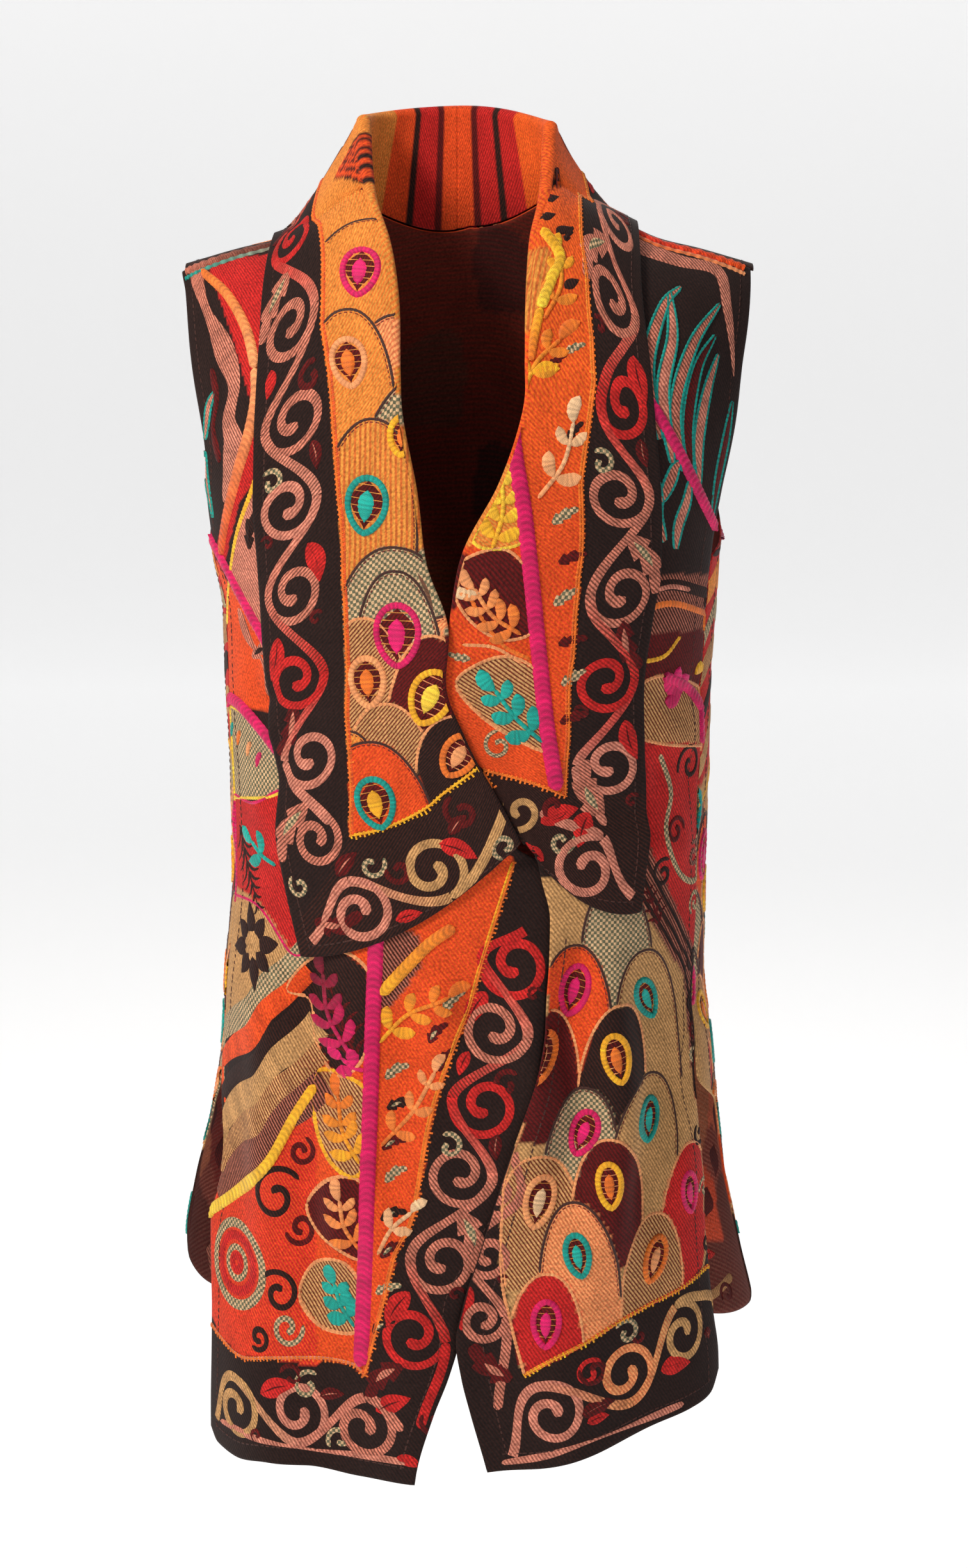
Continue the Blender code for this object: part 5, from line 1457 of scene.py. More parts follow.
front_r.paint([(262, 1500), (330, 1496), (400, 1376), (404, 1460), (404, 1744), (346, 1732), (307, 1730), (281, 1704),
               (262, 1660)], "ember")
wave = lambda dx, dy, *more: [(262 + dx, 1384 + dy), (292 + dx, 1340 + dy), (318 + dx, 1322 + dy), (338 + dx, 1290 + dy),
                              (366 + dx, 1268 + dy), (396 + dx, 1238 + dy)]
bands_r = [("check", 0.018, 0, -34), ("flame", 0.017, 0, 0), ("black", 0.013, 6, 34), ("beige", 0.020, 10, 66),
           ("twill", 0.018, 14, 102), ("brown", 0.021, 18, 140)]
for k, (weave, thick, dx, dy) in enumerate(bands_r):
    stripe(front_r, F(*wave(dx, dy)), lambda t, thick=thick: thick * (1 + 0.12 * np.sin(9.0 * t + thick * 900)), weave,
           across=9, square=True, height=0.0003 + 0.00012 * k)
centre = [(404, 1090), (404, 1744), (411, 1732), (450, 1740), (465, 1754), (489, 1662), (505, 1599), (527, 1552),
          (550, 1426), (581, 1332), (599, 1286), (616, 1226), (640, 1150), (656, 1090)]
front_r.paint(centre, "flame")
blob(front_r, [(366, 1262), (392, 1226), (432, 1212), (470, 1240), (474, 1300), (462, 1352), (430, 1372), (404, 1330),
               (396, 1276)], "black", "peach", 0.0030)
blob(front_r, [(404, 1368), (440, 1372), (472, 1400), (470, 1470), (452, 1502), (420, 1480), (402, 1430)], "twill", "gold", 0.0034)
blob(front_r, [(392, 1534), (420, 1504), (460, 1508), (468, 1560), (464, 1606), (428, 1592), (402, 1566)], "maroon", "peach", 0.0028)
blob(front_r, [(382, 1648), (402, 1610), (440, 1612), (464, 1650), (458, 1696), (424, 1698), (396, 1680)], "twill", "peach", 0.0028)
blob(front_r, [(482, 1196), (530, 1190), (536, 1232), (486, 1290)], "brown", None)

stripe(front_r, F((246, 338), (262, 392), (282, 438), (298, 488), (292, 536), (298, 574), (286, 640)),
       lambda t: 0.0165 + 0.006 * np.sin(17.0 * t + 0.6), "salmon", across=9, end="rose")
cord(front_r, F((258, 346), (290, 376), (314, 420), (326, 470)), "orange", 0.0088, end="peach", height=0.0020)
cord(front_r, F((326, 470), (326, 508), (318, 550), (302, 606), (288, 664), (282, 706)), "peach", 0.0088,
     end="orange_red", height=0.0020)
stripe(front_r, F((270, 470), (276, 510), (272, 548), (280, 590)), lambda t: 0.006 + 0.002 * np.sin(9 * t), "maroon",
       height=0.0008)
for k, (x, y) in enumerate([(346, 352), (338, 398), (344, 430)]):
    lobe(front_r, Q(x, y), -1.4 - 0.3 * k, 0.016, 0.0056, ("magenta", "violet", "magenta")[k])
chain_line(front_r, F((338, 572), (322, 622), (302, 680), (292, 742), (290, 796)), "gold", 0.0042, end="yellow")
cord(front_r, F((264, 676), (288, 722), (318, 780), (356, 848)), "magenta", 0.0082)
cord(front_r, F((272, 884), (300, 894), (330, 926), (358, 962)), "magenta", 0.0088)
lobe(front_r, Q(338, 376), -1.2, 0.018, 0.0058, "magenta")
lobe(front_r, Q(348, 350), -1.9, 0.016, 0.0054, "violet")
fan(front_r, [[(262, 560), (266, 520), (274, 500)], [(272, 660), (264, 612), (262, 575)]], ["rose"], "teal", 0.0060)
for k, (x, y) in enumerate([(318, 700), (334, 742), (338, 800), (322, 838)]):
    acanthus(front_r, Q(x, y), 1.2 - 0.3 * k, 0.026, 0.016, ("black", "salmon")[k % 2], "black", lobes=3)
stripe(front_r, F((304, 776), (316, 812), (336, 846), (346, 888)), lambda t: 0.007 + 0.004 * np.sin(8 * t), "salmon")
for k in range(4):
    lobe(front_r, Q(292 + 12 * k, 936 + 14 * k), 1.1, 0.012, 0.0036, ("teal", "orange", "peach", "magenta")[k])
fern(front_r, Q(306, 1052), -1.05, 0.060, 8, "black", size=0.017)
sprig(front_r, Q(352, 1104), 2.75, 0.030, 1, "teal", "aqua", size=(0.0165, 0.0070), bend=0.06)
star(front_r, Q(322, 1206), 0.026, "black", "beige")
cord(front_r, F((402, 1384), (372, 1430), (340, 1486), (302, 1520), (264, 1546)), "gold", 0.0088, end="yellow", height=0.0022)
for x, y, r, start, hand, weave in ((352, 1526, 0.0215, 0.6, 1, "black"), (356, 1650, 0.0160, 2.6, -1, "black"),
                                    (384, 1566, 0.0120, 3.4, 1, "maroon"), (366, 1694, 0.0125, 0.2, -1, "check"),
                                    (384, 1468, 0.0110, 1.2, -1, "maroon"), (330, 1706, 0.0090, 4.0, 1, "black")):
    curl(front_r, Q(x, y), r, start, hand, weave, width=0.0044 + 0.06 * r, turns=1.30)
middle = Q(302, 1610)
for r, weave, wide in ((0.0262, "check", 0.0074), (0.0178, "coral", 0.0072), (0.0100, "check", 0.0050), (0.0045, "coral", 0.0060)):
    a = np.linspace(0, 2 * np.pi, 49)
    stripe(front_r, middle + r * np.stack([np.cos(a), np.sin(a)], -1), wide, weave, closed=True)
cord(front_r, F((480, 1176), (478, 1240), (475, 1320), (472, 1420), (468, 1520), (465, 1620), (460, 1742)), "magenta", 0.0108)
fern(front_r, Q(456, 1356), 1.95, 0.056, 6, "maroon", size=0.016, width=0.0050)
sprig(front_r, Q(446, 1344), 1.95, 0.052, 4, "magenta", "plum", size=(0.0175, 0.0064), spread=0.85)
sprig(front_r, Q(468, 1366), 2.75, 0.018, 1, "magenta", "violet", size=(0.0130, 0.0074))
sprig(front_r, Q(458, 1484), 1.90, 0.044, 4, "gold", "orange", size=(0.0165, 0.0062), spread=0.85)
sprig(front_r, Q(458, 1594), 1.95, 0.036, 3, "orange", "peach", size=(0.0160, 0.0060), spread=0.85)
sprig(front_r, Q(452, 1692), 2.05, 0.030, 3, "teal", "aqua", size=(0.0150, 0.0078))
cord(front_r, F((486, 1268), (516, 1236), (548, 1204), (580, 1182)), "gold", 0.0082, end="orange", height=0.0022)
sprig(front_r, Q(484, 1330), 0.62, 0.056, 3, "gold", "orange", size=(0.0170, 0.0070), bend=0.08)
sprig(front_r, Q(486, 1462), 0.95, 0.062, 3, "orange", "peach", size=(0.0150, 0.0058), bend=-0.06)
sprig(front_r, Q(482, 1600), 0.90, 0.036, 1, "peach", "cream", size=(0.0140, 0.0056))
for k, (x, y, lean) in enumerate([(492, 1376, 0.5), (494, 1414, 0.2), (488, 1466, 0.4), (492, 1508, 0.6), (486, 1556, 0.3),
                                  (486, 1604, 0.6), (480, 1650, 0.4), (476, 1700, 0.6), (548, 1330, 0.9), (566, 1290, 0.7),
                                  (420, 1396, 2.8), (560, 1366, 1.0), (416, 1352, 3.0)]):
    acanthus(front_r, Q(x, y), lean, 0.018, 0.0115, ("check", "black", "maroon")[k % 3], "check", lobes=3)
field = [(656, 1100), (640, 1150), (616, 1226), (599, 1286), (581, 1332), (550, 1426), (527, 1552), (505, 1599), (489, 1662), (465, 1754)]
hem_line = [(465, 1754), (450, 1740), (411, 1732), (346, 1732), (307, 1730), (281, 1704), (268, 1684)]
line = F(*field)
blanket(front_r, line, "orange", 1.0)
chain_line(front_r, line - np.array([0.0014, 0]), "gold", 0.0019, end="orange_red")
line = F(*hem_line)
chain_line(front_r, line, "salmon", 0.0026)
blanket(front_r, line, "orange", 1.0)
guide, length = along(F((658, 1186), (651, 1236), (641, 1290), (626, 1360), (606, 1440), (591, 1500), (577, 1560),
                        (560, 1610), (543, 1664), (528, 1720), (515, 1775), (508, 1820)), -1.0)
vine(front_r, guide, [
    (0.020, 1, "coral", "leaf"), (0.060, -1, "salmon", "wine"), (0.106, 1, "coral", "small"), (0.150, -1, "salmon", "acanthus"),
    (0.204, 1, "salmon", "leaf"), (0.252, -1, "coral", "plume"), (0.298, 1, "salmon", "none")],
    0.0240, start=(0.0, -0.006), finish=(length - 0.002, -0.014), stretch=1.10, limit=length - 0.022)
guide, length = along(F((274, 1782), (330, 1800), (390, 1806), (450, 1814), (505, 1830)), 1.0)
vine(front_r, guide, [(0.022, 1, "beige", "leaf"), (0.064, -1, "rose", "small"), (0.100, 1, "salmon", "wine")],
     0.0240, start=(0.0, -0.014), finish=(length + 0.004, 0.004), stretch=1.30, limit=length - 0.012)

leaf(front_r, Q(480, 1800), 0.5, 0.026, 0.0140, "coral", "maroon")
curl(front_r, Q(392, 1768), 0.0110, 0.9, 1, "check", width=0.0046, turns=1.1)
curl(front_r, Q(372, 1756), 0.0090, 2.9, -1, "maroon", width=0.0044, turns=1.0)
stripe(front_r, F((282, 1812), (330, 1836), (392, 1848), (460, 1856), (520, 1866)), lambda t: 0.004 + 0.002 * np.sin(9 * t),
       "rose")

# ---------------------------------------------------------------------------------------------------------------
# Left front.
F = lambda *points: front_l.to(spline(points, 3.0), "A", "V")
Q = lambda x, y: front_l.to([(x, y)], "A", "V")[0]
front_l.paint(rounded([(826, 742), (880, 732), (925, 742), (925, 800), (870, 812), (826, 806)]), "brown")
front_l.paint([(800, 812), (930, 800), (930, 880), (880, 900), (800, 880)], "maroon")
blob(front_l, [(812, 880), (850, 862), (900, 882), (930, 930), (900, 950), (840, 948), (806, 930)], "twill", "peach", 0.0026)
front_l.paint([(780, 948), (930, 948), (940, 1240), (890, 1420), (884, 1389), (872, 1245), (809, 1137), (780, 1080)], "coral")
front_l.paint([(770, 1060), (809, 1137), (872, 1245), (884, 1389), (910, 1380), (900, 1240), (856, 1140), (816, 1050)], "brown")
region = [(690, 1120), (701, 1169), (690, 1300), (666, 1432), (643, 1511), (639, 1620), (669, 1754), (745, 1714), (788, 1687),
          (826, 1665), (872, 1641), (899, 1614), (906, 1560), (904, 1450), (884, 1389), (872, 1245), (809, 1137), (790, 1100)]
front_l.paint([(884, 1380), (950, 1380), (950, 1600), (905, 1614), (906, 1560), (904, 1450)], "coral")
front_l.paint(region, "beige")
orange_, magenta_, teal_ = ("orange", "peach"), ("magenta", "violet"), ("teal", "aqua")
gold_, peach_ = ("gold", "orange"), ("peach", "cream")
drops = [orange_, magenta_, teal_, gold_, peach_, ("magenta", "magenta"), ("teal", "teal")]
colours = ["check", "twill", "beige", "flame", "maroon", "brown", "peach", "black", "check", "coral", "beige", "twill", "maroon",
           "honey", "brown"]
# Rows of cells from the top: a weave and the colours of its teardrop, from the left.
cell_rows = [
    [("ochre", orange_), ("check", None), ("brown", None)],
    [("honey", None), ("flame", magenta_), ("beige", teal_), ("brown", None)],
    [("maroon", orange_), ("black", gold_), ("twill", magenta_)],
    [("honey", None), ("check", magenta_), ("beige", teal_), ("twill", orange_)],
    [("twill", peach_), ("maroon", gold_), ("coral", magenta_)],
    [("beige", None), ("peach", teal_), ("twill", orange_), ("check", None)],
    [("coral", magenta_), ("black", peach_), ("maroon", gold_)],
    [("ochre", None), ("beige", teal_), ("check", None), ("twill", None)]]
cells = []
for r, row in enumerate(cell_rows):
    for c, (weave, pair) in enumerate(row):
        k = 4 * r + c
        x = 690 + 94 * c - (47 if r % 2 else 0) + 6 * math.sin(2.3 * r + 1.7 * c)
        y = 1216 + 84 * r + 8 * math.sin(1.9 * r + 2.9 * c) - 0.16 * (x - 760) * (1 if r > 5 else 0.3)
        cells.append((x, y, 0.0535 + 0.004 * math.sin(3.3 * k), 0.0480 + 0.004 * math.cos(2.1 * k), 0.12 * math.sin(1.3 * k),
                      weave, (*pair, 0.86 + 0.08 * math.sin(1.7 * k), 0.34 * math.sin(2.2 * k + 0.6), 0.78) if pair else None))
view_region = np.asarray(region, float)
ok = []
for c in cells:
    middle = inside(np.array([[c[0], c[1] - 26]]), view_region)[0]
    if middle or inside(np.array([[c[0], c[1]]]), view_region)[0]:
        ok.append(c if middle else c[:6] + (None,))
spots = front_l.to([c[:2] for c in ok], "A", "V")
placed = [tuple(p) + c[2:] for p, c in zip(spots, ok)]
corner = [(701, 1172), (690, 1300), (666, 1432), (643, 1511), (639, 1620), (669, 1754), (745, 1714), (788, 1687), (826, 1665),
          (872, 1641), (897, 1614), (903, 1560), (900, 1450), (884, 1389), (872, 1245), (809, 1137), (796, 1110), (720, 1130)]
region_a = front_l.to(corner, "A", "V")
scales(front_l, placed, region_a)
for k in range(3):
    stripe(front_l, F((786 + 13 * k, 1076 - 4 * k), (816 + 13 * k, 1137 - 2 * k), (852 + 11 * k, 1196), (876 + 9 * k, 1250 + 2 * k),
                      (886 + 8 * k, 1392)), 0.0036, "black", across=3, height=0.0006)
fern(front_l, Q(842, 1180), 2.0, 0.030, 4, "maroon", size=0.012)
for k, y in enumerate((1260, 1330, 1400, 1470, 1540)):
    curl(front_l, Q(918, y), 0.0085, 1.1 * k, (1, -1)[k % 2], ("black", "check")[k % 2], width=0.0042, turns=1.2)

stripe(front_l, F((772, 286), (812, 312), (866, 332), (916, 346), (928, 392), (934, 440), (936, 480)),
       lambda t: (0.0150 + 0.003 * np.sin(9.0 * t + 0.4)) * (1 - 0.8 * np.clip(2.6 * t - 1.6, 0, 1)), "salmon", across=9, end="rose")
chain_line(front_l, F((790, 262), (840, 300), (900, 328), (940, 334)), "orange", 0.0050, end="coral")
fan(front_l, [
    [(842, 560), (826, 470), (846, 392), (868, 366)],
    [(858, 590), (846, 500), (858, 430), (854, 372)],
    [(872, 600), (862, 520), (884, 440), (918, 388)],
    [(882, 606), (878, 540), (890, 470), (912, 428)],
    [(892, 620), (892, 560), (902, 500), (916, 452)],
    [(848, 690), (838, 660), (838, 632), (832, 600)],
    [(862, 700), (866, 670), (876, 640), (880, 612)],
    [(844, 640), (856, 612), (862, 596), (870, 588)],
    [(908, 660), (916, 610), (926, 560), (934, 512)]], ["salmon", "rose", "salmon", "maroon", "rose"], "teal", 0.0088)
cord(front_l, F((790, 478), (826, 510), (852, 550), (880, 604), (914, 676)), "magenta", 0.0082)
stripe(front_l, F((826, 752), (860, 746), (900, 756), (930, 764)), 0.0085, "black", across=5)
stripe(front_l, F((838, 752), (858, 748), (880, 752)), 0.0042, "rose", height=0.0006)
chain_line(front_l, F((820, 778), (858, 770), (900, 782), (930, 792)), "orange", 0.0052)
chain_line(front_l, F((806, 846), (846, 838), (868, 812)), "gold", 0.0036)
cord(front_l, F((846, 862), (880, 880), (912, 934)), "magenta", 0.0080)
for k, a in enumerate((2.5, 1.7, 3.3, 0.9)):
    lobe(front_l, Q(868, 884), a, 0.021 - 0.002 * k, 0.0085, ("magenta", "violet")[k % 2])
lobe(front_l, Q(886, 860), 0.2, 0.016, 0.0070, "gold")
for x, y, r, start, hand, weave in ((880, 974, 0.0155, 3.4, -1, "black"), (862, 1060, 0.0100, 0.0, 1, "maroon"),
                                    (884, 1090, 0.0095, 2.0, -1, "brown"), (846, 1114, 0.0105, 1.0, 1, "black"),
                                    (886, 1150, 0.0090, 4.0, -1, "check"), (902, 1210, 0.0100, 3.0, 1, "black"),
                                    (904, 1300, 0.0095, 1.5, -1, "maroon")):
    curl(front_l, Q(x, y), r, start, hand, weave, width=0.0042, turns=1.3)
stripe(front_l, F((842, 962), (856, 1010), (850, 1060), (866, 1112), (888, 1120), (892, 1060)), 0.0050, "check", across=5)
field = [(666, 1432), (650, 1478), (643, 1511), (639, 1620), (652, 1690), (669, 1754)]
line = F(*field)
chain_line(front_l, line, "peach", 0.0026)
hem_l = [(669, 1754), (706, 1734), (745, 1714), (788, 1687), (826, 1665), (872, 1641), (905, 1612)]
line = F(*hem_l)
chain_line(front_l, line, "orange", 0.0034, end="coral")
blanket(front_l, line, "gold", -1.0)
guide, length = along(F((650, 1470), (634, 1530), (620, 1600), (618, 1670), (632, 1740), (646, 1796)), -1.0)
vine(front_l, guide, [(0.030, -1, "salmon", "none"), (0.072, 1, "salmon", "leaf"), (0.116, -1, "salmon", "none")],
     0.0165, start=(0.0, 0.0), finish=(length, 0.006), width=0.0058)
guide, length = along(F((642, 1838), (690, 1812), (740, 1786), (790, 1758), (840, 1724), (884, 1690), (914, 1656)), 1.0)
vine(front_l, guide, [(0.030, 1, "rose", "wine"), (0.074, -1, "peach", "leaf"), (0.116, 1, "beige", "small"),
                      (0.152, -1, "salmon", "none")],
     0.0265, radius=0.0215, start=(0.0, -0.012), finish=(length, 0.002), stretch=1.25, limit=length - 0.012)

leaf(front_l, Q(742, 1806), 0.2, 0.024, 0.0130, "maroon", "salmon")
curl(front_l, Q(752, 1752), 0.0100, 0.6, 1, "coral", width=0.0046, turns=1.1)
curl(front_l, Q(800, 1700), 0.0100, 2.6, -1, "check", width=0.0046, turns=1.1)
acanthus(front_l, Q(652, 1760), 2.4, 0.036, 0.026, "maroon", "salmon", bend=0.1)
stripe(front_l, F((640, 1866), (700, 1856), (760, 1836), (820, 1812), (872, 1790)), lambda t: 0.004 + 0.002 * np.sin(9 * t),
       "rose")
for sheet, colour, last in ((front_r, "black", "salmon"), (front_l, "coral", "orange_red")):
    seam = sheet.systems["A"][0][2]
    band(sheet, seam[3:-3], 0.0068, colour, height=0.0021, chain=0.0125, wobble=0.22, end=last, across=7, layer="weave",
         second="maroon", share=0.4)
    band(sheet, seam[3:-3] - np.array([0.0, 0.0062]), 0.0034, last, height=0.0012, chain=0.0090, wobble=0.25,
         end="peach" if sheet is front_l else "teal", across=5)
for sheet, columns in ((front_r, 1), (front_l, 1)):
    grid = sheet.systems["A"][0]
    for inset, line in ((5, grid[:, -6]), (4, grid[-6, :])):
        dashes(sheet, line[4:-4], "brown")
    low = sheet.systems["V"][0][:, 0, 1] > 1180
    dashes(sheet, grid[low, 5][4:-4], "brown")

# ---------------------------------------------------------------------------------------------------------------
# Back: two scroll borders beside a middle band with a stem, cells and bands outside them, a scroll border at the hem.
grid = back.systems["A"][0]
hem_height = grid[-1, :, 1]
above = grid[..., 1] - hem_height[None, :]
X, Z = grid[..., 0], grid[..., 1]
back.paint(None, "flame", where=np.abs(X) < 0.072)
back.paint(None, "coral", where=(np.abs(X) > 0.113) & (Z > -0.33))
back.paint(None, "black", where=(np.abs(X) > 0.113) & (Z > -0.115))
back.paint(None, "beige", where=(np.abs(X) > 0.113) & (Z <= -0.33))


def wavy(x0, x1, z, n=7, amp=0.010, phase=0.0, slope=0.12):
    x = np.linspace(x0, x1, n)
    return spline(np.stack([x, z + slope * (x - x0) + amp * np.sin(2.1 * np.arange(n) + phase)], -1), 0.0018)


for side in (-1, 1):
    for k, (weave, thick) in enumerate([("salmon", 0.020), ("black", 0.013), ("ochre", 0.018), ("check", 0.013),
                                        ("twill", 0.018), ("black", 0.012), ("beige", 0.015)]):
        line = wavy(side * 0.1135, side * 0.26, -0.135 - 0.027 * k, phase=0.8 * k + side, slope=-0.10 * side)
        stripe(back, line, lambda t, thick=thick: thick * (1 + 0.14 * np.sin(8 * t + 60 * thick)), weave, across=5,
               step=0.0026, square=True)
    chain_line(back, wavy(side * 0.1135, side * 0.26, -0.332, phase=side, slope=-0.06 * side, amp=0.004), "gold", 0.0048)
    cord(back, wavy(side * 0.1135, side * 0.255, -0.122, phase=side + 1, slope=-0.10 * side, amp=0.006), "magenta", 0.0078)
    cells = []
    count = 0
    for r in range(10):
        for c in range(5):
            x = side * (0.128 + 0.040 * c + (0.020 if r % 2 else 0.0)) + 0.003 * math.sin(2.1 * r + 1.3 * c)
            z = -0.362 - 0.037 * r + 0.004 * math.sin(1.7 * r + 2.3 * c)
            ring = drops[(count * 3 + r) % len(drops)]
            has = (count + 2 * r) % 3 != 2
            cells.append((x, z, 0.046, 0.042, 0.08 * math.sin(1.9 * count), colours[(count * 4 + r * 3 + (2 if side > 0 else 0)) % len(colours)],
                          (*ring, 0.84, 0.15 * math.sin(2.7 * count)) if has else None))
            count += 1
    foot = np.interp(np.linspace(0.113, 0.245, 12) * side, grid[-1, :, 0], grid[-1, :, 1]) + 0.058
    region = [(side * 0.113, -0.334), (side * 0.262, -0.350)] + [(side * x, z) for x, z in zip(np.linspace(0.262, 0.113, 12), foot[::-1])]
    scales(back, cells, region)
    for x, colour in ((0.0715, "orange"), (0.1140, "gold")):
        line = np.stack([np.full(240, side * x), np.linspace(0.07, float(np.interp(side * x, grid[-1, :, 0], grid[-1, :, 1])) + 0.060, 240)], -1)
        blanket(back, line, colour, side if x < 0.1 else -side, length=0.0046, spacing=0.0052)
    run = lambda q, side=side: np.stack([side * (0.0925 + q[:, 1]), 0.045 - q[:, 0]], -1)
    crests = []
    kinds = ["leaf", "small", "acanthus", "wine", "leaf", "plume", "small"]
    shades = ["salmon", "rose", "coral", "salmon", "beige"]
    for k in range(14):
        crests.append((0.030 + 0.0545 * k, 1 if k % 2 else -1, shades[(k + (side > 0)) % 5], kinds[(k + 2 * (side > 0)) % 7]))
    vine(back, run, [c for c in crests if c[0] < 0.76], 0.0200, start=(0.0, 0.0), finish=(0.768, 0.0), width=0.0060)
for k, (z, side) in enumerate([(-0.02, 1), (-0.10, -1), (-0.18, 1), (-0.26, -1), (-0.34, 1), (-0.42, -1), (-0.50, 1),
                              (-0.58, -1), (-0.66, 1)]):
    weave, rim = [("maroon", "peach"), ("twill", "gold"), ("black", "peach"), ("ochre", "yellow")][k % 4]
    pts = [(side * 0.006, z + 0.026), (side * 0.032, z + 0.030), (side * 0.058, z + 0.008), (side * 0.052, z - 0.024),
           (side * 0.026, z - 0.034), (side * 0.006, z - 0.030)]
    blob(back, pts, weave, rim, 0.0028, system="A")
    colour, tip = [("orange", "peach"), ("gold", "orange"), ("magenta", "violet"), ("teal", "aqua")][k % 4]
    sprig(back, (side * 0.012, z - 0.020), math.pi / 2 - side * 0.75, 0.036, 2, colour, tip, size=(0.0155, 0.0068))
    sprig(back, (-side * 0.010, z - 0.028), math.pi / 2 + side * 0.55, 0.048, 2, ("gold", "peach", "orange")[k % 3],
          ("orange", "cream", "gold")[k % 3], size=(0.0150, 0.0060))
    for m in range(2):
        acanthus(back, (-side * (0.012 + 0.030 * m), z + 0.018 - 0.030 * m), math.pi / 2 - side * (0.9 - 0.5 * m), 0.018, 0.011,
                 ("check", "black")[m], "check", lobes=3)
cord(back, spline([(0.0, 0.030), (0.003, -0.15), (-0.003, -0.35), (0.003, -0.52), (0.0, -0.718)], 0.002), "magenta", 0.0106)
hem = spline([(x, float(np.interp(x, grid[-1, :, 0], grid[-1, :, 1])) + 0.0275) for x in np.linspace(-0.215, 0.215, 15)], 0.003)
guide, length = along(hem, 1.0)
back.paint(None, "black", where=above < 0.056)
crests = [(0.024 + 0.0525 * k, 1 if k % 2 else -1, ["salmon", "beige", "rose", "coral", "peach"][k % 5],
           ["leaf", "small", "wine", "acanthus"][k % 4]) for k in range(8)]
vine(back, guide, crests, 0.0235, start=(0.0, 0.0), finish=(length, 0.0), stretch=1.12, limit=length - 0.02)
line = np.stack([np.linspace(-0.25, 0.25, 200), np.interp(np.linspace(-0.25, 0.25, 200), grid[-1, :, 0], grid[-1, :, 1]) + 0.057], -1)
blanket(back, line, "orange", 1.0, spacing=0.0052)
for line in (grid[:, 4], grid[:, -5], grid[-4, :]):
    dashes(back, line[3:-3], "brown")
for side in (-1, 1):
    for k in range(3):
        line = spline([(side * 0.120, 0.052 - 0.030 * k), (side * 0.150, 0.040 - 0.030 * k + 0.006 * (-1) ** k),
                       (side * 0.180, 0.034 - 0.030 * k)], 0.0018)
        stripe(back, line, lambda t: 0.011 + 0.004 * np.sin(8.0 * t + 1.0), (("peach", "teal_twill", "rose") if side < 0 else
               ("coral", "flame", "rose"))[k], end=None, square=True)
    for k in range(5):
        base = np.array([side * 0.150, -0.112])
        a = math.pi / 2 - side * (0.55 - 0.28 * k)
        line = rotate(spline([(0, 0), (0.030, 0.004 * side), (0.062, -0.004 * side)], 0.0018), a) + base + np.array([side * 0.006 * k, 0])
        stripe(back, line, lambda t: 0.0085 * np.sin(np.pi * np.clip(t * 0.93 + 0.05, 0, 1)) ** 0.7 + 0.0006,
               ("salmon", "rose")[k % 2], square=True)
        chain_line(back, line + np.array([0.0040, 0.0]), "teal" if side < 0 else "gold", 0.0019)
        chain_line(back, line - np.array([0.0040, 0.0]), "teal" if side < 0 else "gold", 0.0019)


# ---------------------------------------------------------------------------------------------------------------
# Materials. Every colour comes from the yarn colours stored on the meshes.
def node(tree, kind, x, y, **settings):
    n = tree.nodes.new(kind)
    n.location = (x, y)
    for key, value in settings.items():
        setattr(n, key, value)
    return n


def math_node(tree, operation, a, b, x, y):
    n = node(tree, "ShaderNodeMath", x, y, operation=operation)
    for socket, value in ((n.inputs[0], a), (n.inputs[1], b)):
        if value is None:
            continue
        if isinstance(value, (int, float)):
            socket.default_value = value
        else:
            tree.links.new(value, socket)
    return n.outputs[0]


